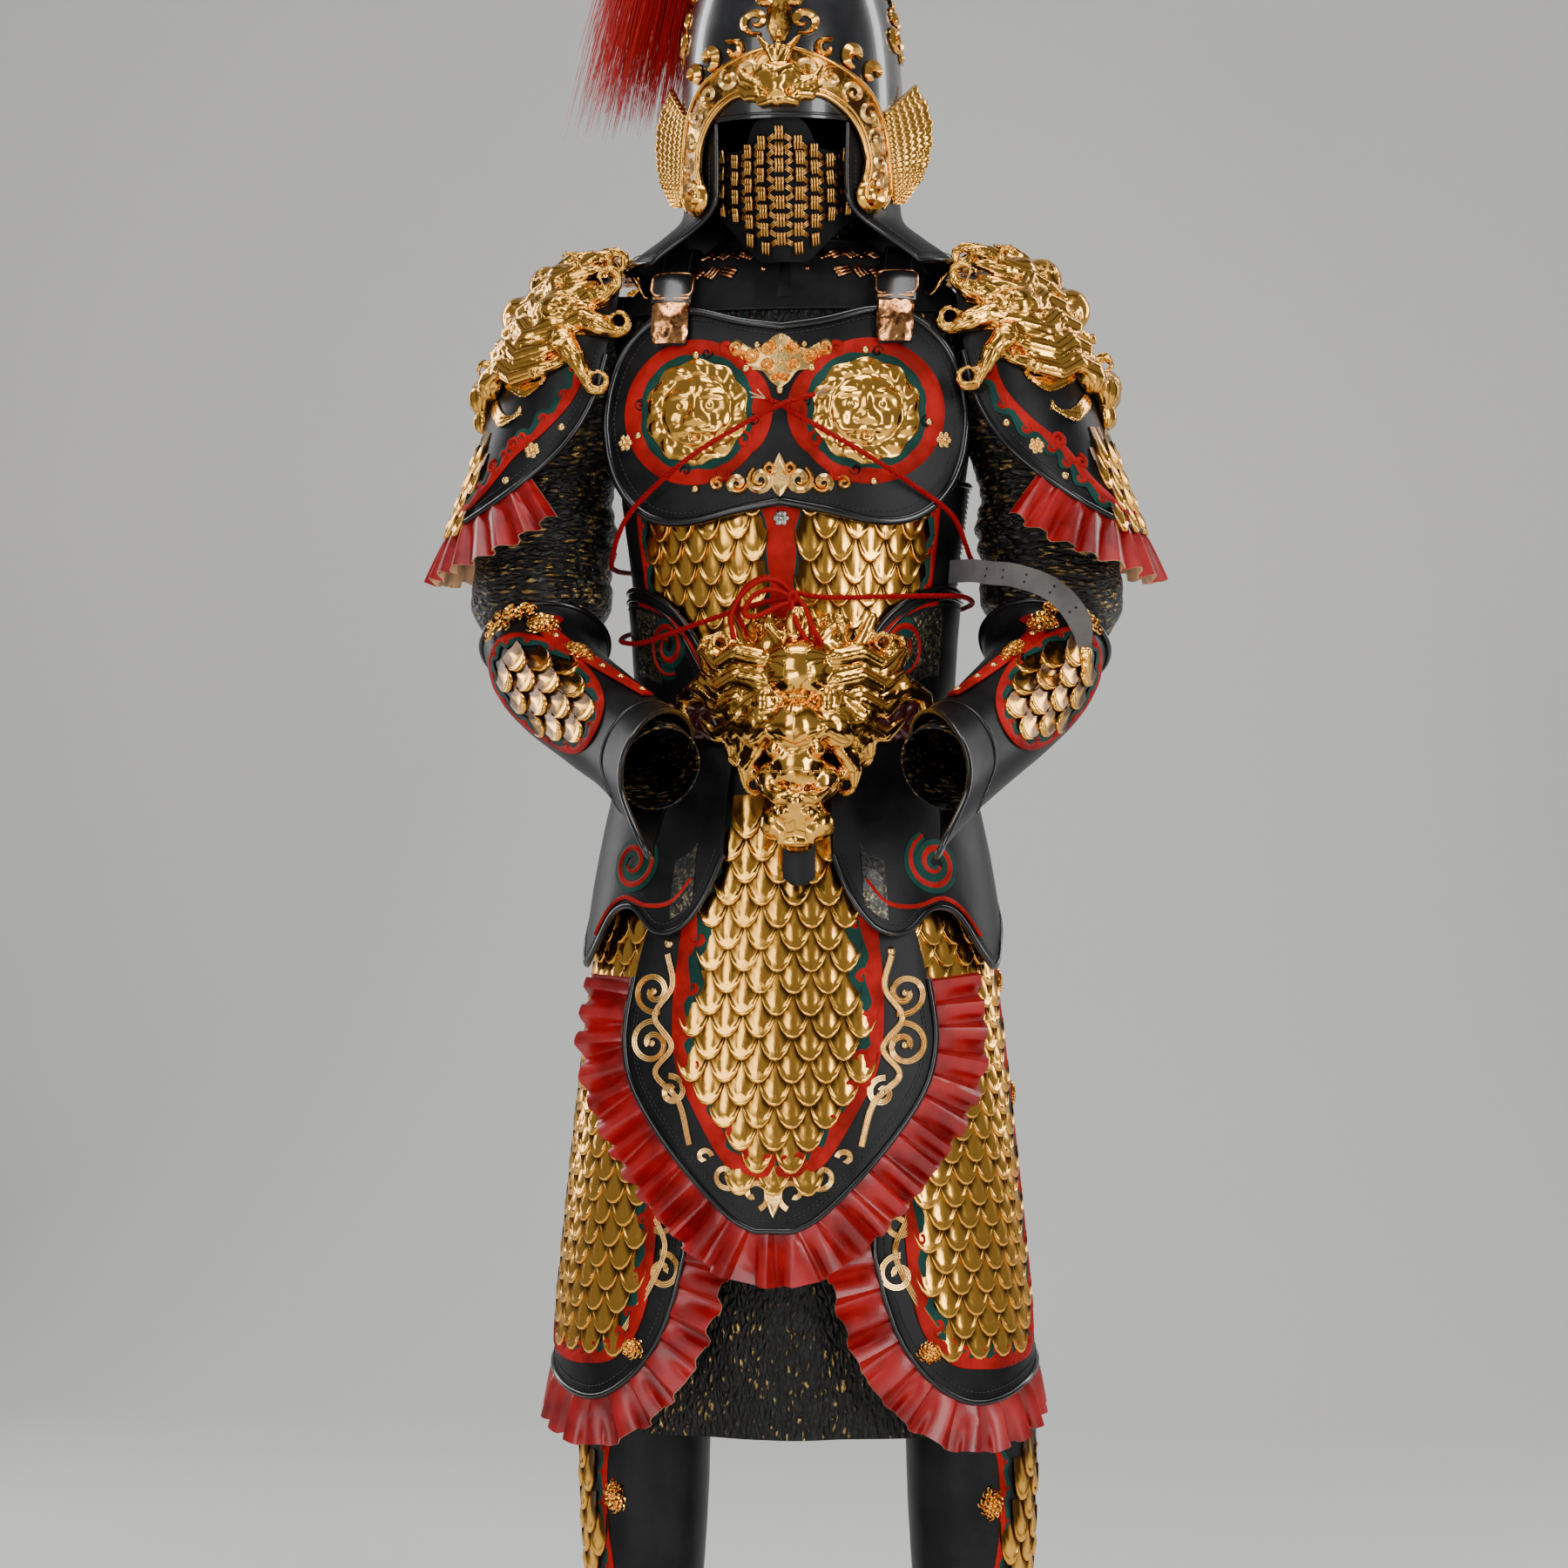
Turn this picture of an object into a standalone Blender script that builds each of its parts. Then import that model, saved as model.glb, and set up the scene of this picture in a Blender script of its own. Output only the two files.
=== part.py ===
"""A suit of Chinese scale armour as it is worn: helmet and face mask, shoulder, chest and
waist pieces, scale skirts, forearm and shin guards, over a thin crinkled robe.

Metres, +Z up. The wearer looks along -Y, and the wearer's left is +X. The origin lies
between the shoulders, at the height where the suit rests on them."""

import math
from bisect import bisect_right

import bmesh
import bpy
from mathutils import Matrix, Vector

MM = 0.001
GAP = 0.5 * MM  # between pieces that lie on each other
SEAM = 1.4 * MM  # between a panel's edge and its ruffle
CLOTH = 1.5 * MM  # robe
LEATHER = 3.0 * MM  # panels
RUFFLE = 1.2 * MM
CASTING_VOXEL = 5 * MM
GOLD_SHEET = 1.2 * MM  # pressed sheets
SCALE_RISE = 2.2 * MM
SCALE_GAP = 1.2 * MM  # between a panel's flat facets and the rounder sheet on it
CORD_RADIUS = 3.5 * MM
HANDS_SHIFT = 0.028  # both hands and the buckle sit a little to the wearer's left
BUCKLE_SHIFT = 0.022
SIDES = (("left", 1), ("right", -1))

COLOURS = {
    "black_leather": ((0.012, 0.012, 0.014), 0.45, 0.0),
    "piping": ((0.008, 0.008, 0.010), 0.25, 0.0),
    "red_leather": ((0.42, 0.015, 0.018), 0.35, 0.0),
    "gold": ((0.90, 0.62, 0.22), 0.16, 1.0),
    "copper": ((0.62, 0.36, 0.20), 0.25, 1.0),
    "robe_cloth": ((0.035, 0.028, 0.018), 0.40, 0.3),
    "black_cloth": ((0.010, 0.010, 0.012), 0.8, 0.0),
    "helmet_black": ((0.010, 0.010, 0.012), 0.25, 0.0),
    "horsehair": ((0.55, 0.02, 0.02), 0.5, 0.0),
    "red_cord": ((0.50, 0.01, 0.01), 0.6, 0.0),
    "braid": ((0.07, 0.008, 0.012), 0.35, 0.0),
    "grey_suede": ((0.10, 0.095, 0.09), 0.9, 0.0),
}


class Table:
    """Rows of numbers under named columns, read on a smooth curve at any value of the first."""

    def __init__(self, columns, *rows):
        rows = sorted(rows)
        self.at = [row[0] for row in rows]
        self.values, self.slopes = {}, {}
        last = len(rows) - 1
        for index, name in enumerate(columns.split()[1:], 1):
            values = [row[index] for row in rows]
            self.values[name] = values
            self.slopes[name] = [
                (values[min(i + 1, last)] - values[max(i - 1, 0)])
                / (self.at[min(i + 1, last)] - self.at[max(i - 1, 0)])
                for i in range(len(rows))
            ]

    def __call__(self, name, at):
        at = min(max(at, self.at[0]), self.at[-1])
        i = min(bisect_right(self.at, at), len(self.at) - 1) - 1
        span = self.at[i + 1] - self.at[i]
        t = (at - self.at[i]) / span
        values, slopes = self.values[name], self.slopes[name]
        return (
            values[i] * (1 + 2 * t) * (1 - t) ** 2
            + values[i + 1] * t * t * (3 - 2 * t)
            + span * t * (1 - t) * (slopes[i] * (1 - t) - slopes[i + 1] * t)
        )


class Form:
    """A surface that pieces are laid on: bare(a, b) is a place on it, and point() moves out from it."""

    turn = 1
    steps = (0.01, 0.002)

    def point(self, a, b, out=0.0):
        place = self.bare(a, b)
        if out:
            place = place + out * self.normal(a, b)
        return place

    def normal(self, a, b):
        da, db = self.steps
        along = self.bare(a + da, b) - self.bare(a - da, b)
        up = self.bare(a, b + db) - self.bare(a, b - db)
        return self.turn * along.cross(up).normalized()


class Tube(Form):
    """Round a vertical axis: a is an angle, 0 in front and a quarter turn on the wearer's left; b is z."""

    def __init__(self, table, x=0.0, y=0.0):
        self.table, self.x, self.y = table, x, y

    def bare(self, a, b):
        depth = self.table("front" if math.cos(a) > 0 else "back", b)
        return Vector(
            (self.x + self.table("wide", b) * math.sin(a), self.y - depth * math.cos(a), b)
        )


class Front(Form):
    """A plate in front of the body, bowed backwards to the sides: a is x, b is z."""

    def __init__(self, table):
        self.table = table

    def bare(self, a, b):
        return Vector((a, -self.table("deep", b) + self.table("bow", b) * a * a, b))


class Arm(Form):
    """A sleeve from armhole to wrist: b runs 0 to 1 along it, a turns from outward (0) to the
    front or top."""

    steps = (0.02, 0.004)

    def __init__(self, side):
        self.side = side
        self.turn = side

    def centre(self, b):
        settle = min(max((b - 0.7) / 0.3, 0.0), 1.0)
        return Vector(
            (
                self.side * ARM("x", b) + HANDS_SHIFT * settle * settle * (3 - 2 * settle),
                ARM("y", b),
                ARM("z", b),
            )
        )

    def bare(self, a, b):
        along = (self.centre(b + 0.01) - self.centre(b - 0.01)).normalized()
        outward = Vector((self.side, 0, 0))
        outward = (outward - along * outward.dot(along)).normalized()
        front = self.side * along.cross(outward)
        return self.centre(b) + ARM("r", b) * (outward * math.cos(a) + front * math.sin(a))


class Shoulder(Form):
    """The bell that a shoulder guard hangs in: a is 0 outward, positive to the front; b is z."""

    def __init__(self, side):
        self.side = side
        self.turn = -side

    def bare(self, a, b):
        return Vector(
            (
                self.side * (SHOULDER("x", b) + SHOULDER("r", b) * math.cos(a)),
                SHOULDER_Y - SHOULDER("deep", b) * math.sin(a),
                b,
            )
        )


# Driving forms, with a row for each height or station
TORSO = Table(
    "z wide front back",
    (0.078, 0.060, 0.064, 0.055),
    (0.048, 0.064, 0.062, 0.058),
    (0.036, 0.068, 0.063, 0.061),
    (0.020, 0.090, 0.072, 0.068),
    (0.004, 0.125, 0.082, 0.082),
    (-0.016, 0.155, 0.092, 0.098),
    (-0.045, 0.170, 0.100, 0.110),
    (-0.090, 0.175, 0.108, 0.118),
    (-0.150, 0.171, 0.114, 0.120),
    (-0.230, 0.161, 0.115, 0.116),
    (-0.320, 0.150, 0.108, 0.106),
    (-0.420, 0.146, 0.104, 0.100),
    (-0.500, 0.160, 0.108, 0.112),
    (-0.620, 0.172, 0.116, 0.128),
    (-0.800, 0.185, 0.125, 0.136),
    (-1.000, 0.198, 0.134, 0.142),
    (-1.105, 0.206, 0.140, 0.146),
)
SKIRT = Table(  # what the thigh skirts lie on
    "z wide front back",
    (-0.430, 0.150, 0.110, 0.106),
    (-0.500, 0.166, 0.120, 0.120),
    (-0.660, 0.190, 0.134, 0.140),
    (-0.800, 0.207, 0.144, 0.152),
    (-1.000, 0.228, 0.156, 0.164),
    (-1.080, 0.236, 0.162, 0.170),
)
WRAP = Table(  # the waist wrap, drawn in by the belt
    "z wide front back",
    (-0.290, 0.162, 0.131, 0.120),
    (-0.360, 0.156, 0.126, 0.114),
    (-0.430, 0.155, 0.123, 0.112),
    (-0.500, 0.175, 0.146, 0.130),
    (-0.570, 0.190, 0.160, 0.146),
    (-0.660, 0.204, 0.174, 0.160),
)
APRON = Table(
    "z deep bow",
    (-0.435, 0.1090, 1.6),
    (-0.500, 0.1270, 1.6),
    (-0.570, 0.1400, 1.6),
    (-0.640, 0.1500, 1.6),
    (-0.760, 0.1740, 1.6),
    (-0.980, 0.1960, 1.6),
)
CHEST = Table(
    "z deep bow",
    (-0.030, 0.112, 1.7),
    (-0.080, 0.124, 1.7),
    (-0.150, 0.132, 1.7),
    (-0.240, 0.129, 1.7),
)
ARM = Table(
    "s x y z r",
    (-0.10, 0.118, 0.000, -0.088, 0.050),
    (0.00, 0.150, 0.000, -0.092, 0.052),
    (0.12, 0.196, 0.002, -0.110, 0.054),
    (0.25, 0.228, 0.006, -0.158, 0.057),
    (0.40, 0.243, 0.010, -0.215, 0.063),
    (0.55, 0.250, 0.008, -0.285, 0.069),
    (0.62, 0.249, 0.004, -0.318, 0.066),
    (0.69, 0.245, -0.006, -0.348, 0.050),
    (0.78, 0.236, -0.050, -0.386, 0.046),
    (0.88, 0.191, -0.133, -0.427, 0.043),
    (1.00, 0.128, -0.238, -0.475, 0.039),
)
SHOULDER = Table(
    "z x r deep",
    (0.000, 0.172, 0.040, 0.052),
    (-0.030, 0.180, 0.061, 0.072),
    (-0.070, 0.192, 0.078, 0.088),
    (-0.120, 0.202, 0.089, 0.097),
    (-0.180, 0.214, 0.097, 0.104),
    (-0.260, 0.228, 0.113, 0.114),
)
SHOULDER_Y = -0.008
HEAD = Table(  # the helmet bowl
    "z wide front back",
    (0.385, 0.010, 0.012, 0.010),
    (0.365, 0.030, 0.036, 0.034),
    (0.335, 0.058, 0.068, 0.064),
    (0.300, 0.080, 0.096, 0.090),
    (0.250, 0.096, 0.116, 0.108),
    (0.200, 0.103, 0.124, 0.116),
    (0.130, 0.105, 0.126, 0.118),
    (0.040, 0.104, 0.126, 0.116),
)
HEAD_Y = -0.018
FACE = Table(
    "z wide front back",
    (0.145, 0.0993, 0.118, 0.080),
    (0.130, 0.0993, 0.116, 0.080),
    (0.108, 0.082, 0.108, 0.080),
    (0.070, 0.074, 0.104, 0.080),
    (0.035, 0.062, 0.098, 0.070),
    (0.005, 0.056, 0.084, 0.060),
)
AVENTAIL = Table(
    "z wide front back",
    (0.140, 0.1025, 0.1235, 0.1155),
    (0.070, 0.1020, 0.1230, 0.1150),
    (0.050, 0.108, 0.118, 0.118),
    (0.034, 0.128, 0.112, 0.124),
    (0.020, 0.148, 0.112, 0.140),
    (0.008, 0.160, 0.114, 0.157),
    (-0.030, 0.166, 0.118, 0.174),
    (-0.060, 0.168, 0.120, 0.180),
)
SHIN = Table(
    "z wide front back",
    (-1.110, 0.061, 0.062, 0.068),
    (-1.200, 0.058, 0.056, 0.070),
    (-1.320, 0.050, 0.048, 0.058),
    (-1.430, 0.046, 0.046, 0.050),
)
SHIN_X, SHIN_Y, SHIN_SHIFT = 0.160, 0.030, 0.010

TORSO_FORM, SKIRT_FORM, WRAP_FORM = Tube(TORSO), Tube(SKIRT), Tube(WRAP)
APRON_FORM, CHEST_FORM = Front(APRON), Front(CHEST)
HEAD_FORM, FACE_FORM = Tube(HEAD, y=HEAD_Y), Tube(FACE, y=HEAD_Y)
AVENTAIL_FORM = Tube(AVENTAIL, y=HEAD_Y)


def mix(start, end, t):
    return start + (end - start) * t


def material(name):
    """The material of that name, made the first time that it is asked for."""
    found = bpy.data.materials.get(name)
    if found:
        return found
    colour, roughness, metallic = COLOURS[name]
    made = bpy.data.materials.new(name)
    made.use_nodes = True
    shader = made.node_tree.nodes["Principled BSDF"]
    shader.inputs["Base Color"].default_value = (*colour, 1)
    shader.inputs["Roughness"].default_value = roughness
    shader.inputs["Metallic"].default_value = metallic
    return made


def placed(name, mesh, finish, collection="suit"):
    """An object of that mesh, with its material, in the suit's or the cutters' collection."""
    mesh.materials.append(material(finish))
    mesh.shade_smooth()
    mesh.set_sharp_from_angle(angle=math.radians(40))
    made = bpy.data.objects.new(name, mesh)
    bpy.data.collections[collection].objects.link(made)
    return made


def mesh_of(bm, name):
    bm.normal_update()
    bmesh.ops.recalc_face_normals(bm, faces=bm.faces)
    mesh = bpy.data.meshes.new(name)
    bm.to_mesh(mesh)
    bm.free()
    return mesh


def wall(name, spot, across, down, finish, ring=False, hub=False, collection="suit"):
    """A closed wall. spot(u, v, face) places each point of its inner (0) and outer (1) face.
    A ring's last column is its first. A hub also fills the hole at v = 1, which makes a disc."""
    bm = bmesh.new()
    bmesh.ops.create_grid(bm, x_segments=across, y_segments=down, size=0.5)
    if ring or hub:
        first = {round(v.co.y, 4): v for v in bm.verts if v.co.x < -0.4999}
        last = {v: first[round(v.co.y, 4)] for v in bm.verts if v.co.x > 0.4999}
        bmesh.ops.weld_verts(bm, targetmap=last)
    if hub:
        bmesh.ops.contextual_create(bm, geom=[v for v in bm.verts if v.co.y > 0.4999])
    extruded = bmesh.ops.extrude_face_region(bm, geom=bm.faces[:])["geom"]
    outer = {item for item in extruded if isinstance(item, bmesh.types.BMVert)}
    for vert in bm.verts:
        vert.co = spot(vert.co.x + 0.5, vert.co.y + 0.5, int(vert in outer))
    return placed(name, mesh_of(bm, name), finish, collection)


def rod(name, spot, around, along, finish, collection="suit"):
    """A closed rod. spot(u, v) places each point of its skin, u round it and v along it."""
    bm = bmesh.new()
    rings = []
    for j in range(along + 1):
        verts = bmesh.ops.create_circle(bm, segments=around, radius=1)["verts"]
        for i, vert in enumerate(verts):
            vert.co = spot(i / around, j / along)
        rings.append([edge for edge in bm.edges if all(v in verts for v in edge.verts)])
    for low, high in zip(rings, rings[1:]):
        bmesh.ops.bridge_loops(bm, edges=low + high)
    for ends in (rings[0], rings[-1]):
        bmesh.ops.contextual_create(bm, geom=ends)
    return placed(name, mesh_of(bm, name), finish, collection)


def ball(bm, place, radii, detail=2):
    sized = Matrix.LocRotScale(place, None, Vector(radii))
    bmesh.ops.create_icosphere(bm, subdivisions=detail, radius=1, matrix=sized)


def horn(bm, points, radii, between=5):
    """A tapering row of balls that a casting melts into one horn, lock or whisker."""
    for i in range((len(points) - 1) * between + 1):
        step, share = divmod(i / between, 1)
        step = int(step)
        after = min(step + 1, len(points) - 1)
        radius = mix(radii[step], radii[after], share)
        ball(bm, points[step].lerp(points[after], share), (radius,) * 3)


def casting(name, bm, share, backs):
    """Balls and horns melted into one skin, thinned to a share of its faces, cut to its seats."""
    made = placed(name, mesh_of(bm, name), "gold")
    skin = made.modifiers.new("skin", "REMESH")
    skin.mode = "VOXEL"
    skin.voxel_size = CASTING_VOXEL
    soft = made.modifiers.new("soft", "SMOOTH")
    soft.factor, soft.iterations = 0.6, 3
    thin = made.modifiers.new("thin", "DECIMATE")
    thin.ratio = share
    for back in backs:
        cut(made, back)
    return made


def ribbon(name, form, route, out, thick, steps, grip=1.0, across=1):
    """A gold strip laid on a form along a route of (a, b, half width), raised along its middle
    when it has more than one course. Grip is the length of one unit of a."""
    line = Table("s a b half", *((i, *row) for i, row in enumerate(route)))
    last = len(route) - 1

    def spot(u, v, face):
        s = u * last
        a, b = line("a", s), line("b", s)
        da = (line("a", s + 0.05) - line("a", s - 0.05)) * grip
        db = line("b", s + 0.05) - line("b", s - 0.05)
        aside = line("half", s) * (2 * v - 1) / math.hypot(da, db)
        swell = thick * (1 - 0.5 * abs(2 * v - 1)) if across > 1 else thick
        return form.point(a - db * aside / grip, b + da * aside, out + swell * face)

    return wall(name, spot, steps, across, "gold")


def plate(name, form, outline, out, thick, across):
    """A flat ornament, the same to both sides, laid on a form: its top and bottom at each x."""
    reach = outline.at[-1]

    def spot(u, v, face):
        x = reach * (2 * u - 1)
        rise = 1.5 * MM if face and round(u * across) % 2 == 0 else 0.0
        z = mix(outline("low", abs(x)), outline("high", abs(x)), v)
        return form.point(x, z, out + thick * face + rise)

    return wall(name, spot, across, 1, "gold")


def laid(form, place, out, thick):
    """The spot() of a wall laid on a form: place(u, v) gives where, and the wall starts at out."""
    return lambda u, v, face: form.point(*place(u, v), out + thick * face)


def band(low, high, bottom, top):
    """place() for a plain rectangle of a form."""
    return lambda u, v: (mix(low, high, u), mix(bottom, top, v))


def levels(*heights):
    """v to z through these heights, so that rows gather where a form turns."""
    last = len(heights) - 1

    def height(v):
        i = min(int(v * last), last - 1)
        return mix(heights[i], heights[i + 1], v * last - i)

    return height


def round_about(*heights):
    """place() all the way round a tube, with rows at these heights."""
    height = levels(*heights)
    return lambda u, v: (2 * math.pi * u, height(v))


def cut(target, cutter):
    """Takes the cutter out of the target."""
    cutter.hide_render = True
    cutter.display_type = "WIRE"
    modifier = target.modifiers.new("cut", "BOOLEAN")
    modifier.operation = "DIFFERENCE"
    modifier.object = cutter


class Edge:
    """A panel's edge as a walk in real lengths, with the way out of the panel and off the body."""

    def __init__(self, form, places, out, outward=1):
        points = [form.point(a, b, out) for a, b in places]
        self.rows = []
        length = 0.0
        for i, (a, b) in enumerate(places):
            if i:
                length += (points[i] - points[i - 1]).length
            way = points[min(i + 1, len(points) - 1)] - points[max(i - 1, 0)]
            lift = form.normal(a, b)
            aside = outward * way.cross(lift).normalized()
            self.rows.append((length, points[i], aside, lift))
        self.length = length

    def at(self, t, aside=0.0, lift=0.0, along=0.0):
        reach = min(max(t * self.length + along, 0.0), self.length)
        i = 0
        while i < len(self.rows) - 2 and self.rows[i + 1][0] < reach:
            i += 1
        low, high = self.rows[i], self.rows[i + 1]
        share = (reach - low[0]) / max(high[0] - low[0], 1e-9)
        place, side, up = (low[k].lerp(high[k], share) for k in (1, 2, 3))
        return place + side.normalized() * aside + up.normalized() * lift


def ruffle(name, edge, waves, wide, depth):
    """A gathered strip along an edge: nearly flat where it is sewn, fluted at its free edge."""

    def spot(u, v, face):
        wave = 1 if round(u * 2 * waves) % 2 else -1
        swing = mix(0.8 * MM, depth, v) * wave
        return edge.at(u, aside=SEAM + wide * v, lift=swing + RUFFLE * (face - 0.5))

    return wall(name, spot, waves * 2, 1, "red_leather")


def scale_sheet(name, form, sides, top, bottom, columns, rows, out):
    """A pressed gold sheet of overlapping scales. Every other point is a scale's tip: it stands
    out and hangs lower than its neighbours. sides(v) gives the sheet's two edges at a height."""

    def spot(u, v, face):
        column, row = round(u * 2 * columns), round((1 - v) * rows)
        tip = (column + row) % 2 == 1 and 0 < row < rows
        low, high = sides(1 - v)
        fall = (row + (0.35 if tip else 0.0)) / rows
        lift = GOLD_SHEET * face + (SCALE_RISE if tip and face else 0.0)
        return form.point(mix(low, high, u), mix(top, bottom, fall), out + lift)

    return wall(name, spot, 2 * columns, rows, "gold")


def tube(name, points, radius, finish, sides=2, cyclic=False):
    """A cord along points, as a curve with a round bevel and filled ends."""
    curve = bpy.data.curves.new(name, "CURVE")
    curve.dimensions = "3D"
    curve.bevel_depth = radius
    curve.bevel_resolution = sides
    curve.use_fill_caps = True
    spline = curve.splines.new("POLY")
    spline.points.add(len(points) - 1)
    for point, place in zip(spline.points, points):
        point.co = (*place, 1)
    spline.use_cyclic_u = cyclic
    curve.materials.append(material(finish))
    made = bpy.data.objects.new(name, curve)
    bpy.data.collections["suit"].objects.link(made)
    return made


def smooth_line(points, count):
    """That many points on a smooth curve through a hand-set route."""
    route = Table("s x y z", *((i, *p) for i, p in enumerate(points)))
    last = len(points) - 1
    return [
        Vector(route(k, last * i / (count - 1)) for k in ("x", "y", "z")) for i in range(count)
    ]


# Robe
HEM_Z = -1.105
ROBE_LEVELS = (HEM_Z, -0.82, -0.60, -0.42, -0.33, -0.24, -0.13, -0.04, -0.012, 0.010, 0.032, 0.078)
BODY_COLUMNS = 20  # shared by robe, cuirass and yoke, so that their facets nest
HEM_FOLD = 5 * MM
HEM_FOLDS = 9
ARMHOLE_START, ARMHOLE_EASE = -0.08, 0.9 * MM
SLEEVE_STATIONS = (0.03, 0.14, 0.27, 0.40, 0.50, 0.60, 0.70, 0.78, 0.88, 1.0)
SLEEVE_SIDES = 10


def robe():
    """A thin robe with a standing collar, armholes and two sleeves."""
    height = levels(*ROBE_LEVELS)

    def spot(u, v, face):
        angle, z = 2 * math.pi * u, height(v)
        drop = min(max((-0.6 - z) / 0.5, 0.0), 1.0)
        fold = HEM_FOLD * drop * (math.cos(HEM_FOLDS * angle) - 1)
        return TORSO_FORM.point(angle, z, CLOTH * face + fold)

    body = wall("robe", spot, BODY_COLUMNS, len(ROBE_LEVELS) - 1, "robe_cloth", ring=True)
    for side_name, side in SIDES:
        cut(body, armhole(side_name, side))
        wall(f"sleeve_{side_name}", sleeve_spot(side), SLEEVE_SIDES, 9, "robe_cloth", ring=True)


def sleeve_spot(side):
    """Sleeve cloth, bunched in soft rings above the forearm guard."""
    arm = Arm(side)
    stations = levels(*SLEEVE_STATIONS)

    def spot(u, v, face):
        angle, s = 2 * math.pi * u, stations(v)
        loose = math.exp(-(((s - 0.46) / 0.16) ** 2))
        bunch = 4 * MM * loose * math.sin(2 * math.pi * s / 0.20 + 1.2 * math.sin(angle))
        return arm.point(angle, s, CLOTH * face + bunch)

    return spot


def armhole(side_name, side):
    """A plug of the sleeve's own outer form, a little larger, that opens the robe for it."""
    arm = Arm(side)
    stations = levels(ARMHOLE_START, *SLEEVE_STATIONS[:4])

    def spot(u, v):
        return arm.point(2 * math.pi * u, stations(v), CLOTH + ARMHOLE_EASE)

    return rod(f"armhole_{side_name}", spot, SLEEVE_SIDES, 4, "black_cloth", collection="cutters")


# Cuirass, chest plate and gorget
CUIRASS_OUT = CLOTH + 1.5 * MM
CUIRASS_TOP, CUIRASS_LOW, CUIRASS_SEAM = -0.200, -0.415, 90
CHEST_OUTLINE = Table(  # top and bottom of the chest plate at each distance from its middle
    "x high low",
    (0.000, -0.0580, -0.2235),
    (0.040, -0.0520, -0.2310),
    (0.085, -0.0410, -0.2410),
    (0.115, -0.0440, -0.2400),
    (0.140, -0.0600, -0.2270),
    (0.158, -0.0840, -0.2040),
    (0.168, -0.1130, -0.1760),
    (0.1715, -0.1370, -0.1500),
)
CHEST_HALF = 0.1715
CHEST_THICK = 4 * MM
DISC_X, DISC_Z, DISC_RADIUS = 0.079, -0.138, 0.049
BELLY_TOP, BELLY_LOW, BELLY_FRONT, BELLY_SIDE = -0.205, -0.345, 10, 54


def cuirass():
    """One leather body that opens under the left arm, with scales over the belly."""
    seam = math.radians(CUIRASS_SEAM)
    place = band(seam, seam + math.radians(359.7), CUIRASS_LOW, CUIRASS_TOP)
    wall("cuirass", laid(TORSO_FORM, place, CUIRASS_OUT, LEATHER), BODY_COLUMNS, 3, "black_leather")
    for side_name, side in SIDES:

        def sides(fall, side=side):
            return side * math.radians(BELLY_FRONT), side * math.radians(BELLY_SIDE)

        scale_sheet(
            f"belly_scales_{side_name}",
            TORSO_FORM,
            sides,
            BELLY_TOP,
            BELLY_LOW,
            4,
            6,
            CUIRASS_OUT + LEATHER + SCALE_GAP,
        )


def chest_spot(out, thick, shrink=0.0, pad=0.0):
    """spot() over the chest plate's outline, drawn in by shrink; pad swells its middle."""

    def spot(u, v, face):
        x = (CHEST_HALF - shrink) * math.sin(math.pi * (u - 0.5))
        high = CHEST_OUTLINE("high", abs(x)) - shrink
        low = CHEST_OUTLINE("low", abs(x)) + shrink
        round_off = 4 * u * (1 - u) * 4 * v * (1 - v)
        return CHEST_FORM.point(x, mix(low, high, v), out + (thick + pad * round_off) * face)

    return spot


def chest():
    wall("chest_plate", chest_spot(0.0, CHEST_THICK), 16, 3, "black_leather")
    for side_name, side in SIDES:
        disc(f"chest_disc_{side_name}", side * DISC_X)


def disc(name, middle):
    """A round boss pressed as a beast's mask: brow, eyes, cheeks, nose and jaw as low mounds."""
    mounds = (  # across, up, radius and height, as shares of the disc
        (0.00, -0.12, 0.30, 1.0),
        (0.34, 0.22, 0.24, 0.8),
        (-0.34, 0.22, 0.24, 0.8),
        (0.40, -0.28, 0.26, 0.7),
        (-0.40, -0.28, 0.26, 0.7),
        (0.00, 0.46, 0.26, 0.6),
        (0.00, -0.56, 0.22, 0.6),
    )
    rings, spokes = 4, 14
    base, rise = 2 * MM, 8 * MM
    out = CHEST_THICK + GAP

    def spot(u, v, face):
        angle = 2 * math.pi * u
        share = mix(0.06, 1.0, 1 - v)
        across, up = share * math.sin(angle), share * math.cos(angle)
        rim = 1 + 0.04 * math.cos(10 * angle) * share
        lift = base + 4 * MM * (1 - share**2) if face else 0.0
        if face and share < 0.95:
            for mx, mz, radius, height in mounds:
                away = math.hypot(across - mx, up - mz) / radius
                lift += rise * 0.5 * height * math.exp(-2 * away * away)
        return CHEST_FORM.point(
            middle + DISC_RADIUS * rim * across, DISC_Z + DISC_RADIUS * rim * up, out + lift
        )

    wall(name, spot, spokes, rings, "gold", hub=True)


GORGET_OUT = CLOTH + 0.8 * MM
YOKE = 2 * MM
YOKE_LEVELS = (-0.040, -0.012, 0.010, 0.030)
STRAP_X = 0.107
STRAP_HALF = 0.016


def gorget():
    """A yoke of black cloth round the neck, over the robe's shoulders."""
    spot = laid(TORSO_FORM, round_about(*YOKE_LEVELS), GORGET_OUT, YOKE)
    wall("gorget", spot, BODY_COLUMNS, 3, "black_cloth", ring=True)


STRAP_ROUTE = (  # y and z of the strap's under side, from the chest plate over the shoulder
    (-0.1150, -0.074),
    (-0.1120, -0.050),
    (-0.0920, -0.022),
    (-0.0670, 0.006),
    (-0.0400, 0.0231),
    (0.000, 0.0301),
    (0.0400, 0.0236),
    (0.0700, 0.0071),
    (0.0930, -0.030),
    (0.1020, -0.080),
    (0.1045, -0.150),
    (0.1045, -0.225),
)


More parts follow.
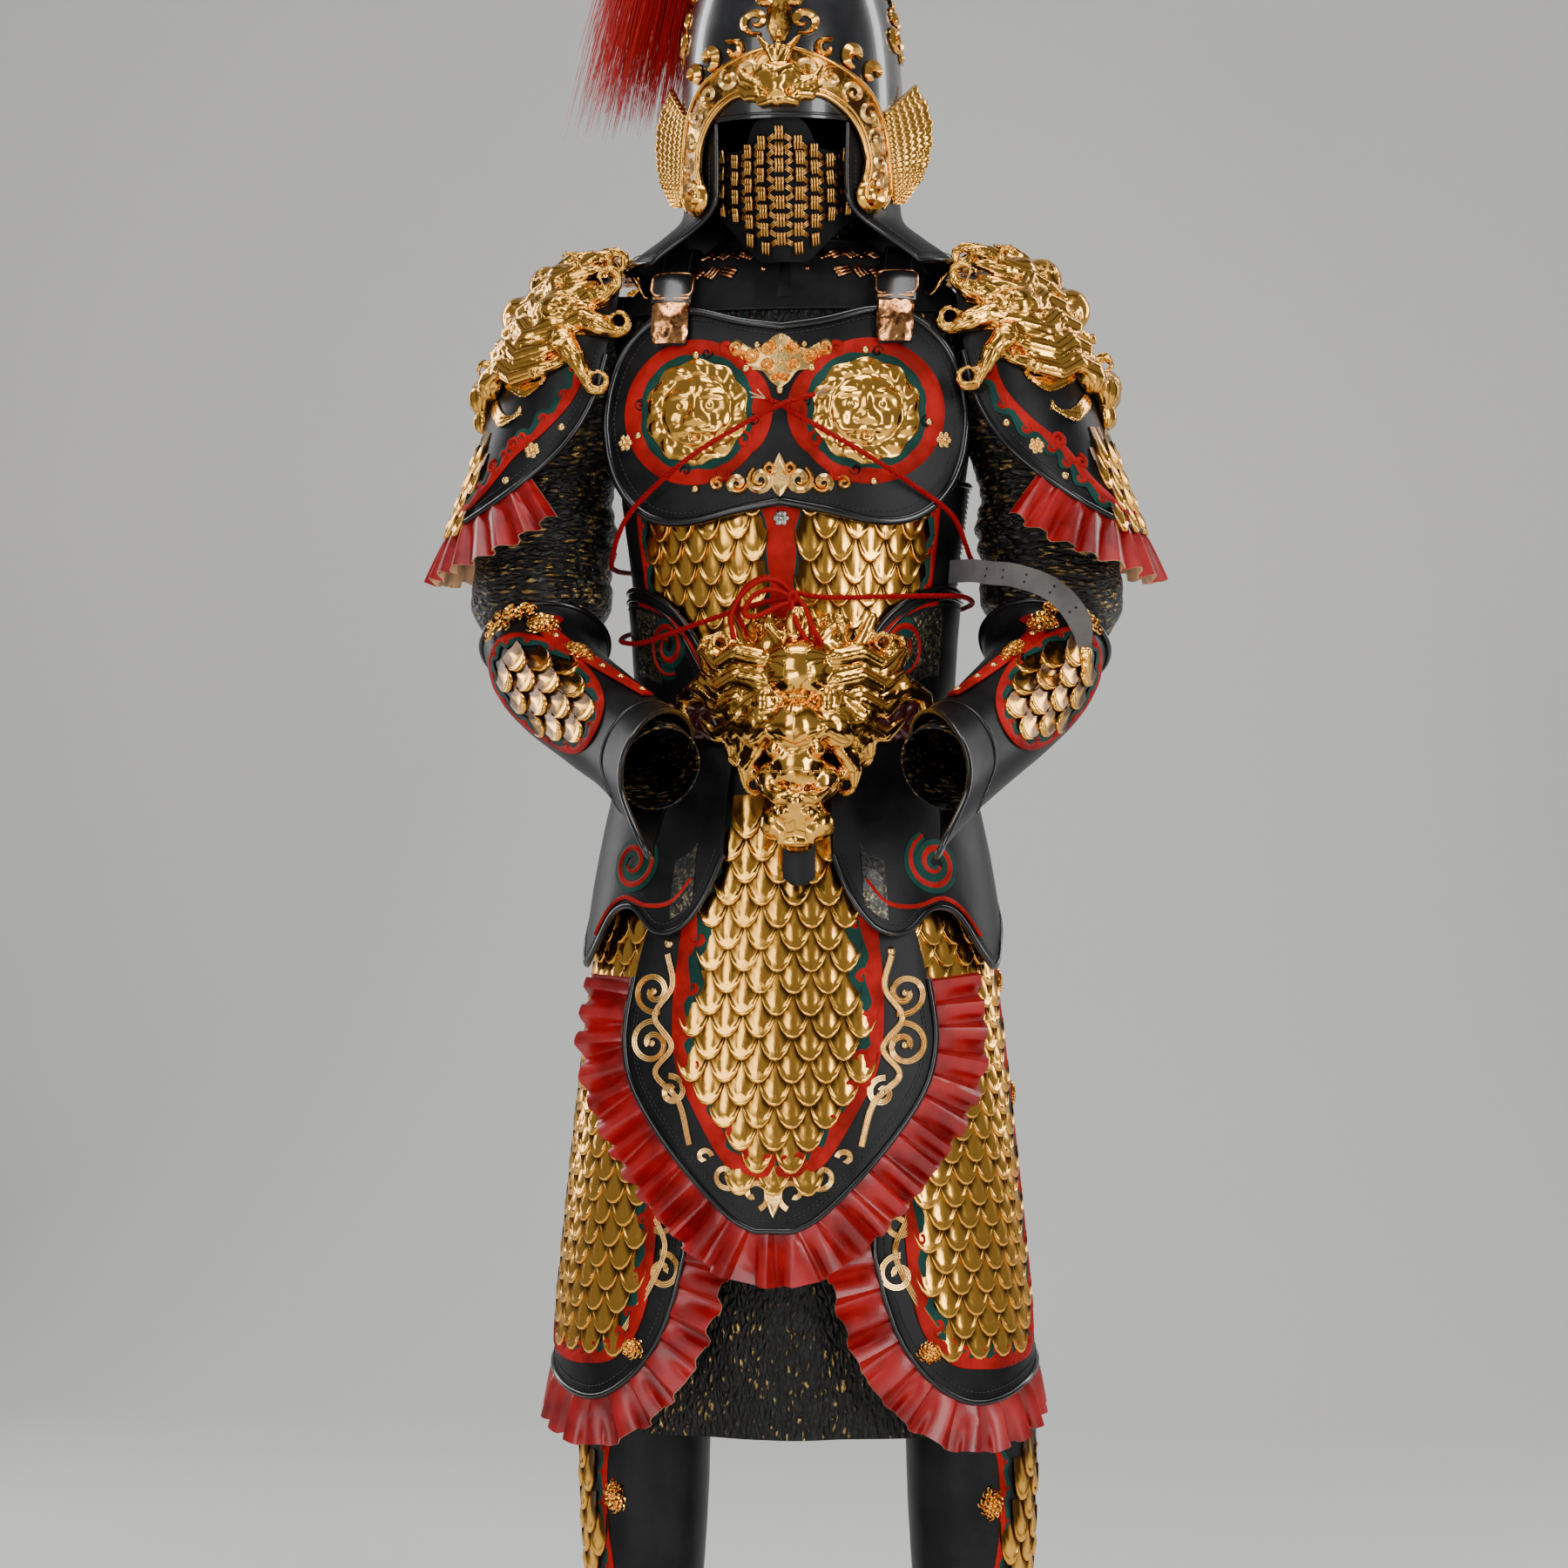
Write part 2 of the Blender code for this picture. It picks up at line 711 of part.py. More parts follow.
def straps():
    """Two straps from the back of the cuirass over the shoulders to the chest plate's buckles."""
    route = Table("s y z", *((i, y, z) for i, (y, z) in enumerate(STRAP_ROUTE)))
    last = len(STRAP_ROUTE) - 1
    thick = 2.5 * MM
    for side_name, side in SIDES:

        def spot(u, v, face, side=side):
            s = v * last
            y, z = route("y", s), route("z", s)
            dy = route("y", s + 0.05) - route("y", s - 0.05)
            dz = route("z", s + 0.05) - route("z", s - 0.05)
            lift = Vector((0, -dz, dy)).normalized() * thick * face
            return Vector((side * STRAP_X + mix(-STRAP_HALF, STRAP_HALF, u), y, z)) + lift

        wall(f"shoulder_strap_{side_name}", spot, 1, 11, "black_leather")


# Waist
WRAP_EDGE = Table(  # top and lower edge of the waist wrap, by degrees from the front
    "degrees high low",
    (16, -0.440, -0.555),
    (20, -0.415, -0.590),
    (27, -0.375, -0.622),
    (36, -0.338, -0.628),
    (46, -0.316, -0.606),
    (56, -0.306, -0.612),
    (66, -0.302, -0.648),
    (74, -0.302, -0.664),
    (84, -0.304, -0.640),
    (100, -0.304, -0.612),
    (120, -0.300, -0.640),
    (150, -0.296, -0.610),
    (180, -0.294, -0.640),
)
WRAP_START = 16
BELT_Z, BELT_HALF = -0.430, 0.020
BELT_WIDE, BELT_FRONT, BELT_BACK = 0.1671, 0.1356, 0.1251


def waist_wrap():
    """One leather wrap round the back, open in front, cinched by the belt and flared below."""

    def place(u, v):
        degrees = mix(WRAP_START, 360 - WRAP_START, u)
        near = degrees if degrees <= 180 else 360 - degrees
        return math.radians(degrees), mix(WRAP_EDGE("low", near), WRAP_EDGE("high", near), v)

    wall("waist_wrap", laid(WRAP_FORM, place, -0.3 * MM, LEATHER), 24, 5, "black_leather")


def belt():
    """A plaited belt over the wrap: two rounded courses round a flat band."""
    rows = 4

    def spot(u, v, face):
        angle = 2 * math.pi * u
        course = abs(math.sin(2 * math.pi * v))
        depth = BELT_FRONT if math.cos(angle) > 0 else BELT_BACK
        grow = (2.5 * MM + 4.5 * MM * course) * face
        return Vector(
            (
                (BELT_WIDE + grow) * math.sin(angle),
                -(depth + grow) * math.cos(angle),
                BELT_Z + mix(-BELT_HALF, BELT_HALF, v),
            )
        )

    wall("belt", spot, 20, rows, "braid", ring=True)


# Skirts
APRON_OUTLINE = Table(
    "z half",
    (-0.440, 0.060),
    (-0.500, 0.082),
    (-0.570, 0.108),
    (-0.640, 0.130),
    (-0.700, 0.1425),
    (-0.735, 0.1450),
    (-0.775, 0.1350),
    (-0.825, 0.1020),
    (-0.870, 0.0620),
    (-0.893, 0.0360),
    (-0.902, 0.0180),
)
APRON_TOP, APRON_LOW = -0.440, -0.902
APRON_FIELD = Table(  # the scale sheet within the apron
    "z half",
    (-0.470, 0.050),
    (-0.560, 0.066),
    (-0.640, 0.078),
    (-0.700, 0.084),
    (-0.750, 0.080),
    (-0.790, 0.062),
    (-0.830, 0.036),
)
APRON_FIELD_TOP, APRON_FIELD_LOW = -0.535, -0.835
APRON_RUFFLE_TOP = -0.672
APRON_WAVES = 28
APRON_ROWS = 10
RUFFLE_WIDE = 0.050
RUFFLE_DEPTH = 9 * MM


def apron_row(v):
    """Height of the apron's rows, which gather at its tip."""
    return mix(APRON_LOW, APRON_TOP, 1 - math.cos(0.5 * math.pi * v))


def apron_edge():
    """The apron's edge below the waist wrap: down its right side, round the tip and up its left."""
    rows = [apron_row(i / APRON_ROWS) for i in range(APRON_ROWS + 1)]
    rows = [z for z in rows if z < APRON_RUFFLE_TOP] + [APRON_RUFFLE_TOP]
    half = [(APRON_OUTLINE("half", z), z) for z in reversed(rows)]
    return [(-x, z) for x, z in half] + [(x, z) for x, z in reversed(half)]


def apron():
    def place(u, v):
        z = apron_row(v)
        return APRON_OUTLINE("half", z) * (2 * u - 1), z

    wall("apron", laid(APRON_FORM, place, 0.0, LEATHER), 6, APRON_ROWS, "black_leather")

    def sides(fall):
        half = APRON_FIELD("half", mix(APRON_FIELD_TOP, APRON_FIELD_LOW, fall))
        return -half, half

    scale_sheet(
        "apron_scales",
        APRON_FORM,
        sides,
        APRON_FIELD_TOP,
        APRON_FIELD_LOW,
        5,
        12,
        LEATHER + SCALE_GAP,
    )
    edge = Edge(APRON_FORM, apron_edge(), LEATHER / 2)
    ruffle("apron_ruffle", edge, APRON_WAVES, RUFFLE_WIDE, RUFFLE_DEPTH)


SKIRT_EDGE = Table(  # lower edge of a thigh skirt, by degrees from the front
    "degrees low",
    (24, -0.930),
    (27, -0.982),
    (31, -1.018),
    (38, -1.050),
    (48, -1.070),
    (60, -1.070),
    (75, -1.058),
    (90, -1.046),
    (105, -1.036),
    (120, -1.014),
    (130, -0.982),
    (135, -0.950),
    (138, -0.910),
)
SKIRT_TOP = -0.445
SKIRT_START, SKIRT_END = 24, 138
SKIRT_RUFFLE_TOP, SKIRT_RUFFLE_BACK = -0.835, -0.860
SKIRT_COLUMNS = 13
SKIRT_WAVES = 26
SKIRT_FIELD_TOP, SKIRT_FIELD_LOW = -0.620, -1.010
SKIRT_FIELD = Table(  # the scale sheet's front and back edge, by height
    "z front rear",
    (-0.470, 38, 84),
    (-0.700, 38, 84),
    (-0.850, 37, 84),
    (-0.960, 38, 83),
    (-1.010, 44, 78),
)


def skirt_place(side):
    def place(u, v):
        degrees = mix(SKIRT_START, SKIRT_END, u)
        low = SKIRT_EDGE("low", degrees)
        return side * math.radians(degrees), mix(low, SKIRT_TOP, v)

    return place


def skirt_edge(side):
    """Down the front edge, round the bottom and a little way up the back edge."""
    places = [(side * math.radians(SKIRT_START), SKIRT_RUFFLE_TOP)]
    for i in range(SKIRT_COLUMNS + 1):
        degrees = mix(SKIRT_START, SKIRT_END, i / SKIRT_COLUMNS)
        places.append((side * math.radians(degrees), SKIRT_EDGE("low", degrees)))
    places.append((side * math.radians(SKIRT_END), SKIRT_RUFFLE_BACK))
    return places


def thigh_skirts():
    for side_name, side in SIDES:
        wall(
            f"thigh_skirt_{side_name}",
            laid(SKIRT_FORM, skirt_place(side), 0.0, LEATHER),
            SKIRT_COLUMNS,
            5,
            "black_leather",
        )

        def sides(fall, side=side):
            z = mix(SKIRT_FIELD_TOP, SKIRT_FIELD_LOW, fall)
            return (
                side * math.radians(SKIRT_FIELD("front", z)),
                side * math.radians(SKIRT_FIELD("rear", z)),
            )

        scale_sheet(
            f"thigh_scales_{side_name}",
            SKIRT_FORM,
            sides,
            SKIRT_FIELD_TOP,
            SKIRT_FIELD_LOW,
            4,
            15,
            LEATHER + SCALE_GAP,
        )
        edge = Edge(SKIRT_FORM, skirt_edge(side), LEATHER / 2, outward=side)
        ruffle(f"thigh_ruffle_{side_name}", edge, SKIRT_WAVES, 0.046, 9 * MM)


# Shoulder guards
PAULDRON_EDGE = Table(  # lower edge by degrees from straight out, the same to front and back
    "degrees low",
    (0, -0.2480),
    (20, -0.2460),
    (45, -0.2330),
    (65, -0.2120),
    (85, -0.1800),
    (97, -0.1480),
    (104, -0.1100),
    (106, -0.0800),
)
PAULDRON_REACH = 106
PAULDRON_TOP = -0.006
PAULDRON_COLUMNS, PAULDRON_WAVES = 14, 16


def pauldrons():
    for side_name, side in SIDES:
        form = Shoulder(side)

        def place(u, v):
            degrees = mix(-PAULDRON_REACH, PAULDRON_REACH, u)
            low = PAULDRON_EDGE("low", abs(degrees))
            return math.radians(degrees), mix(low, PAULDRON_TOP, v)

        bell = laid(form, place, 0.0, LEATHER)
        wall(f"pauldron_{side_name}", bell, PAULDRON_COLUMNS, 4, "black_leather")

        def sides(fall):
            return math.radians(-38), math.radians(38)

        scale_sheet(
            f"pauldron_scales_{side_name}", form, sides, -0.155, -0.222, 4, 3, LEATHER + SCALE_GAP
        )
        places = []
        for i in range(2, PAULDRON_COLUMNS - 1):
            degrees = mix(-PAULDRON_REACH, PAULDRON_REACH, i / PAULDRON_COLUMNS)
            places.append((math.radians(degrees), PAULDRON_EDGE("low", abs(degrees))))
        edge = Edge(form, places, LEATHER / 2, outward=-side)
        ruffle(f"pauldron_ruffle_{side_name}", edge, PAULDRON_WAVES, 0.048, 8 * MM)


# Forearm and shin guards
BRACER_START, BRACER_END = 0.70, 0.965
BRACER_EASE = 3 * MM
BRACER_FIELD, BRACER_FIELD_HALF = 33, 44  # degrees, middle and reach of its scales
BRACER_FIELD_OUT = 2.2 * MM
BRACER_FLAP = Table(  # how far the hand end reaches past the wrist, by degrees from outward
    "degrees reach",
    (-180, 0.00),
    (-110, 0.01),
    (-60, 0.075),
    (-25, 0.130),
    (10, 0.075),
    (60, 0.045),
    (110, 0.02),
    (180, 0.00),
)


def bracer_out(s):
    """How far the guard stands off the sleeve: it flares to the elbow and over the hand."""
    elbow = max(0.0, (0.80 - s) / 0.10)
    hand = max(0.0, (s - 0.93) / 0.10)
    return CLOTH + BRACER_EASE + 6 * MM * elbow**2 + 9 * MM * hand**1.5


def bracers():
    for side_name, side in SIDES:
        arm = ForeArm(side)

        def spot(u, v, face, arm=arm):
            degrees = mix(-180, 180, u)
            end = BRACER_END + BRACER_FLAP("reach", degrees)
            s = levels(BRACER_START, 0.78, 0.88, 0.94, end)(v)
            return arm.point(math.radians(degrees), s, bracer_out(s) + LEATHER * face)

        wall(f"bracer_{side_name}", spot, 15, 4, "black_leather", ring=True)

        def sheet_spot(u, v, face, arm=arm):
            column, row = round(u * 6), round(v * 5)
            tip = (column + row) % 2 == 1 and 0 < row < 5
            s = mix(0.765, 0.935, (row + (0.35 if tip else 0)) / 5)
            half = math.radians(BRACER_FIELD_HALF) * math.sqrt(1 - (1.5 * (v - 0.5)) ** 2)
            angle = math.radians(BRACER_FIELD) + half * (2 * u - 1)
            lift = GOLD_SHEET * face + (SCALE_RISE if tip and face else 0)
            return arm.point(angle, s, bracer_out(s) + LEATHER + BRACER_FIELD_OUT + lift)

        wall(f"bracer_scales_{side_name}", sheet_spot, 6, 5, "gold")


class ForeArm(Arm):
    """The arm's form, carried straight on past the wrist for the flap over the hand."""

    def centre(self, b):
        if b <= 0.99:
            return super().centre(b)
        step = super().centre(0.99) - super().centre(0.97)
        return super().centre(0.99) + step * (b - 0.99) / 0.02


SHIN_FIELD = 66
SHIN_LOW, SHIN_TOP = -1.430, HEM_Z - 1.05 * MM  # just under the robe's lowest folds


def shin_guards():
    for side_name, side in SIDES:
        form = Tube(SHIN, x=side * SHIN_X + SHIN_SHIFT, y=SHIN_Y)
        spot = laid(form, round_about(SHIN_LOW, -1.32, -1.22, SHIN_TOP), 0.0, LEATHER)
        wall(f"shin_guard_{side_name}", spot, 14, 3, "black_leather", ring=True)

        def sides(fall, middle=side * SHIN_FIELD):
            half = 24 * math.sqrt(max(0.02, 1 - (2 * fall - 1) ** 2 * 0.8))
            return math.radians(middle - half), math.radians(middle + half)

        scale_sheet(
            f"shin_scales_{side_name}", form, sides, -1.135, -1.27, 2, 6, LEATHER + SCALE_GAP
        )


# Helmet
BOWL = 2.5 * MM
SEAT = 0.3 * MM  # between the bowl and what is riveted on it, at the bowl's own corners
RIM_Z = 0.135
BROW_HALF = (  # one half of the gold brow arch: degrees from the front, height, half width
    (0, 0.176, 0.027),
    (12, 0.176, 0.022),
    (26, 0.170, 0.017),
    (41, 0.153, 0.018),
    (50, 0.129, 0.017),
    (54, 0.101, 0.016),
    (54, 0.078, 0.019),
    (51, 0.060, 0.012),
)
BROW_THICK = 5 * MM
BROW_GAP, CREST_GAP = 1.1 * MM, 1.1 * MM
CREST = Table(  # half width of the upright crests on the bowl
    "z half",
    (0.205, 0.014),
    (0.222, 0.032),
    (0.236, 0.030),
    (0.250, 0.012),
    (0.268, 0.024),
    (0.290, 0.026),
    (0.310, 0.012),
    (0.330, 0.018),
    (0.355, 0.006),
)


def helmet():
    spot = laid(HEAD_FORM, round_about(RIM_Z, 0.20, 0.26, 0.31, 0.347, 0.376), 0.0, BOWL)
    wall("helmet_bowl", spot, 18, 5, "helmet_black", ring=True)
    brow()
    for name, middle in (("front", 0), ("left", 90), ("right", -90)):

        def crest_place(u, v, middle=middle):
            z = mix(0.206, 0.352, v)
            half = CREST("half", z) / HEAD("wide", z)
            return math.radians(middle) + half * (2 * u - 1), z

        wall(
            f"helmet_crest_{name}",
            laid(HEAD_FORM, crest_place, BOWL + CREST_GAP, 3 * MM),
            2,
            7,
            "gold",
        )
    for side_name, side in SIDES:
        wing(side_name, side)
    finial()


def brow():
    """The gold arch over the face, run down to a scroll beside each cheek."""
    right = [(math.radians(-degrees), z, half) for degrees, z, half in reversed(BROW_HALF)]
    left = [(math.radians(degrees), z, half) for degrees, z, half in BROW_HALF[1:]]
    grip = HEAD("wide", BROW_HALF[0][1])
    out = BOWL + BROW_GAP
    ribbon("helmet_brow", HEAD_FORM, right + left, out, BROW_THICK, 26, grip=grip, across=2)


WING_ROOT = Table(  # on the bowl and below its rim
    "u degrees z",
    (0.0, 68, 0.064),
    (0.4, 67, 0.094),
    (1.0, 61, 0.150),
)
WING_TIP = Table(
    "u x y z",
    (0.0, 0.1140, -0.056, 0.066),
    (0.3, 0.1290, -0.024, 0.096),
    (0.6, 0.1350, 0.000, 0.138),
    (0.8, 0.1310, 0.006, 0.168),
    (1.0, 0.1180, -0.006, 0.190),
)
WING_FEATHERS = 6


def wing(side_name, side):
    """A fan of feathers that sweeps back from the brow's cheek scroll."""

    def spot(u, v, face):
        ridge = round(u * 2 * WING_FEATHERS) % 2
        reach = v * (1.0 if ridge else 0.90)
        root = HEAD_FORM.point(math.radians(WING_ROOT("degrees", u)), WING_ROOT("z", u), BOWL + SEAT)
        tip = Vector([WING_TIP(k, u) for k in "xyz"])
        lift = (2 * MM + 2 * MM * ridge) * face
        place = root.lerp(tip, reach) + Vector((0.92, -0.38, 0)) * lift
        return Vector((side * place.x, place.y, place.z))

    wall(f"helmet_wing_{side_name}", spot, 2 * WING_FEATHERS, 2, "gold")


FINIAL = Table(
    "z r",
    (0.3789, 0.0285),
    (0.3900, 0.0250),
    (0.3990, 0.0130),
    (0.4100, 0.0210),
    (0.4220, 0.0110),
    (0.4450, 0.0085),
    (0.4700, 0.0100),
)
PLUME_ROOT = Vector((0, HEAD_Y, 0.4884))
PLUME_HEAD = 0.018
PLUME_LEAN = Vector((-0.45, 0.25, 0.85)).normalized()  # the way that its locks leave the head
PLUME_SIDE = (Vector((1, 0, 0)) - PLUME_LEAN.x * PLUME_LEAN).normalized()
PLUME_CROWN = PLUME_ROOT + 0.16 * PLUME_LEAN
PLUME_END = Vector((-0.175, 0.070, 0.150))
PLUME_STEPS = (  # share of the way, and thickness
    (0.10, 0.5),
    (0.30, 1.4),
    (0.50, 1.8),
    (0.75, 2.1),
    (1.00, 0.9),
)
PLUME_SPREAD = 0.090  # how far the locks, side by side, spread as they fall
PLUME_RISE = 2.6  # how much higher the outer locks arch over the inner ones


def finial():
    """A turned knob and socket on top of the bowl."""

    def spot(u, v):
        z = mix(FINIAL.at[0], FINIAL.at[-1], v)
        turn = 2 * math.pi * u
        radius = FINIAL("r", z)
        return Vector((radius * math.sin(turn), HEAD_Y - radius * math.cos(turn), z))

    rod("helmet_finial", spot, 10, 8, "gold")


def plume():
    """Locks of horsehair from a bound head, falling to the wearer's right and back."""
    bm = bmesh.new()
    ball(bm, PLUME_ROOT, (PLUME_HEAD,) * 3)
    bm.normal_update()
    roots = [face for face in bm.faces if face.normal.dot(PLUME_LEAN) > 0.7]
    for index, root in enumerate(roots):
        start, lift = root.calc_center_median(), root.normal.copy()
        corners = [vert.co - start for vert in root.verts]
        outer = PLUME_SPREAD * lift.dot(PLUME_SIDE)
        back = PLUME_SPREAD * lift.dot(PLUME_LEAN.cross(PLUME_SIDE))
        crown = PLUME_CROWN + Vector((0, back, PLUME_RISE * outer))
        end = PLUME_END + Vector((-outer, back, 0.04 * ((index * 0.618) % 1)))
        tip = root
        for t, size in PLUME_STEPS:
            place = start * (1 - t) ** 2 + 2 * t * (1 - t) * crown + end * t * t
            way = (crown - start) * (1 - t) + (end - crown) * t
            turned = lift.rotation_difference(way)
            slim = size * lift.dot(PLUME_LEAN) ** 2
            tip = bmesh.ops.extrude_discrete_faces(bm, faces=[tip])["faces"][0]
            for vert, corner in zip(tip.verts, corners):
                vert.co = place + turned @ corner * slim
    placed("plume", mesh_of(bm, "plume"), "horsehair")


AVENTAIL_TOP, AVENTAIL_NECK = RIM_Z - 0.8 * MM, 0.062
AVENTAIL_OPEN, AVENTAIL_OPEN_LOW = 37, 52
AVENTAIL_EDGE = Table(
    "degrees low",
    (37, 0.010),
    (52, 0.008),
    (70, 0.010),
    (95, 0.010),
    (120, -0.006),
    (150, -0.034),
    (180, -0.045),
)


def aventail():
    """The leather neck guard: round the back of the neck and out over the shoulders."""
    rise = levels(0.0, 0.25, 0.5, 0.7, 1.0)

    def place(u, v):
        share = rise(v)
        start = mix(AVENTAIL_OPEN_LOW, AVENTAIL_OPEN, min(share / 0.7, 1.0))
        degrees = mix(start, 360 - start, u)
        near = degrees if degrees <= 180 else 360 - degrees
        if share < 0.7:
            z = mix(AVENTAIL_EDGE("low", near), AVENTAIL_NECK, share / 0.7)
        else:
            z = mix(AVENTAIL_NECK, AVENTAIL_TOP, (share - 0.7) / 0.3)
        return math.radians(degrees), z

    wall("aventail", laid(AVENTAIL_FORM, place, 0.0, 2.5 * MM), 16, 4, "black_leather")


def mask():
    """A cloth face mask, plated in front with brick-like gold links."""
    upper = Table(
        "degrees high low",
        (0, 0.142, 0.006),
        (12, 0.134, 0.006),
        (24, 0.112, 0.008),
        (45, 0.112, 0.030),
        (70, 0.128, 0.058),
        (90, 0.132, 0.080),
    )

    def spot(u, v, face):
        degrees = mix(-90, 90, u)
        z = mix(upper("low", abs(degrees)), upper("high", abs(degrees)), v)
        angle = math.radians(degrees)
        nose = 12 * MM * math.exp(-((degrees / 14) ** 2)) * math.exp(-(((z - 0.095) / 0.04) ** 2))
        return FACE_FORM.point(angle, z, CLOTH * face + nose)

    wall("mask", spot, 14, 4, "black_cloth")


# Cast beasts
BEAST_BEADS = (  # on the shoulder guard: degrees from outward, height, distance off it, radius
    (0, -0.015, 0.016, 0.023),
    (0, -0.044, 0.018, 0.022),
    (14, -0.052, 0.014, 0.013),
    (34, -0.010, 0.010, 0.019),
    (36, -0.032, 0.010, 0.013),
    (58, -0.042, 0.008, 0.020),
    (50, -0.070, 0.006, 0.017),
    (38, -0.090, 0.006, 0.015),
    (24, -0.106, 0.012, 0.016),
    (0, -0.112, 0.014, 0.018),
    (10, -0.118, 0.014, 0.016),
    (8, -0.138, 0.006, 0.012),
)
BEAST_SKULL = (  # x, y, z and radius; the neck guard's edge rests on the last pair
    (0.205, 0.000, -0.006, 0.026),
    (0.190, 0.022, 0.000, 0.020),
    (0.183, 0.000, 0.008, 0.018),
    (0.158, 0.020, -0.010, 0.0197),
)
BEAST_LOCKS = (  # horns and locks, each as x, y, z and a radius at both ends
    (((0.215, 0.026, 0.000), (0.190, 0.034, 0.018), (0.168, 0.036, 0.027)), (0.012, 0.010, 0.005)),
    (((0.200, 0.062, -0.024), (0.176, 0.078, -0.022), (0.160, 0.082, -0.012)), (0.015, 0.011, 0.005)),
    (((0.200, 0.080, -0.044), (0.176, 0.094, -0.052), (0.158, 0.094, -0.060)), (0.015, 0.011, 0.005)),
    (((0.212, 0.094, -0.066), (0.196, 0.106, -0.086), (0.184, 0.108, -0.114)), (0.013, 0.010, 0.005)),
    (((0.286, 0.020, -0.098), (0.292, 0.020, -0.088), (0.294, 0.019, -0.080)), (0.007, 0.006, 0.004)),
)
BUCKLE_BEADS = (  # x from its middle, y, z, radius
    (0.000, -0.150, -0.352, 0.022),
    (0.012, -0.150, -0.344, 0.012),
    (0.028, -0.150, -0.362, 0.018),
    (0.000, -0.168, -0.385, 0.034),
    (0.034, -0.170, -0.400, 0.016),
    (0.052, -0.160, -0.388, 0.014),
    (0.030, -0.182, -0.412, 0.012),
    (0.048, -0.165, -0.436, 0.020),
    (0.030, -0.176, -0.436, 0.024),
    (0.000, -0.192, -0.436, 0.026),
    (0.000, -0.186, -0.474, 0.027),
    (0.022, -0.184, -0.486, 0.018),
    (0.000, -0.188, -0.514, 0.025),
    (0.020, -0.192, -0.526, 0.015),
    (0.000, -0.186, -0.536, 0.018),
)
BUCKLE_LOCKS = (
    (((0.050, -0.152, -0.392), (0.054, -0.146, -0.362), (0.066, -0.144, -0.334)), (0.010, 0.009, 0.006)),
    (((0.052, -0.158, -0.396), (0.080, -0.148, -0.384), (0.096, -0.138, -0.366)), (0.018, 0.013, 0.006)),
    (((0.056, -0.158, -0.412), (0.092, -0.142, -0.398), (0.114, -0.126, -0.408)), (0.016, 0.013, 0.008)),
    (((0.114, -0.126, -0.408), (0.116, -0.124, -0.420), (0.110, -0.126, -0.430)), (0.008, 0.007, 0.005)),
    (((0.052, -0.164, -0.446), (0.050, -0.164, -0.462), (0.042, -0.170, -0.478)), (0.015, 0.012, 0.008)),
    (((0.030, -0.152, -0.350), (0.040, -0.152, -0.340), (0.034, -0.152, -0.332)), (0.008, 0.007, 0.004)),
)
BUCKLE_SEAT = Table(  # what the buckle lies on: belly, cord, wrap and belt
    "z wide front back",
    (-0.300, 0.175, 0.1350, 0.10),
    (-0.400, 0.172, 0.1340, 0.10),
    (-0.405, 0.1755, 0.1427, 0.10),
    (-0.455, 0.1760, 0.1434, 0.10),
    (-0.500, 0.182, 0.1530, 0.10),
    (-0.580, 0.198, 0.1700, 0.10),
)


def mirrored(rows, side, shift=0.0):
    """Rows of (x, y, z, radius) on one side of a beast's middle, and again on the other."""
    for x, y, z, radius in rows:
        for hand in (1, -1) if x else (1,):
            yield Vector((shift + side * hand * x, y, z)), radius


def shoulder_beasts():
    """A beast's head cast over each shoulder: snout outward, jaw open below it, locks behind.
    The right one is the left one's finished mesh, mirrored."""
    form = Shoulder(1)

    def bell(u, v):
        return form.point(2 * math.pi * u, mix(-0.22, 0.001, v), BEAST_OUT)

    height = levels(-0.160, *YOKE_LEVELS)

    def body(u, v):
        return TORSO_FORM.point(2 * math.pi * u, height(v), GORGET_OUT + YOKE + GAP)

    seats = (
        rod("beast_seat", bell, 24, 6, "gold", collection="cutters"),
        rod("shoulder_seat", body, BODY_COLUMNS, len(YOKE_LEVELS), "gold", collection="cutters"),
    )
    bm = bmesh.new()
    for degrees, z, out, radius in BEAST_BEADS:
        for turn in (1, -1) if degrees else (1,):
            ball(bm, form.point(math.radians(turn * degrees), z, out), (radius,) * 3)
    for x, y, z, radius in BEAST_SKULL:
        for turn in (1, -1) if y else (1,):
            ball(bm, Vector((x, SHOULDER_Y + turn * y, z)), (radius,) * 3)
    for points, radii in BEAST_LOCKS:
        for turn in (1, -1):
            horn(bm, [Vector((x, SHOULDER_Y + turn * y, z)) for x, y, z in points], radii)
    left = casting("pauldron_beast_left", bm, BEAST_SHARE, seats)
    bpy.context.view_layer.update()
    cast = bpy.data.meshes.new_from_object(left.evaluated_get(bpy.context.evaluated_depsgraph_get()))
    other = bmesh.new()
    other.from_mesh(cast)
    bmesh.ops.scale(other, vec=(-1, 1, 1), verts=other.verts)
    placed("pauldron_beast_right", mesh_of(other, "pauldron_beast_right"), "gold")
    bpy.data.meshes.remove(cast)


BEAST_OUT = LEATHER + 2 * MM
BEAST_SHARE, BUCKLE_SHARE = 0.024, 0.06


def buckle():
    """The belt's buckle: a beast's head with two horns and a curling mane, snout down."""
    seat_form = Tube(BUCKLE_SEAT)

    def front(u, v):
        return seat_form.point(2 * math.pi * u, mix(-0.58, -0.31, v))

    seat = rod("buckle_seat", front, 40, 10, "gold", collection="cutters")
    bm = bmesh.new()
    for place, radius in mirrored(BUCKLE_BEADS, 1, BUCKLE_SHIFT):
        ball(bm, place, (radius,) * 3)
    for points, radii in BUCKLE_LOCKS:
        for hand in (1, -1):
            horn(bm, [Vector((BUCKLE_SHIFT + hand * x, y, z)) for x, y, z in points], radii)
    casting("belt_beast", bm, BUCKLE_SHARE, (seat,))


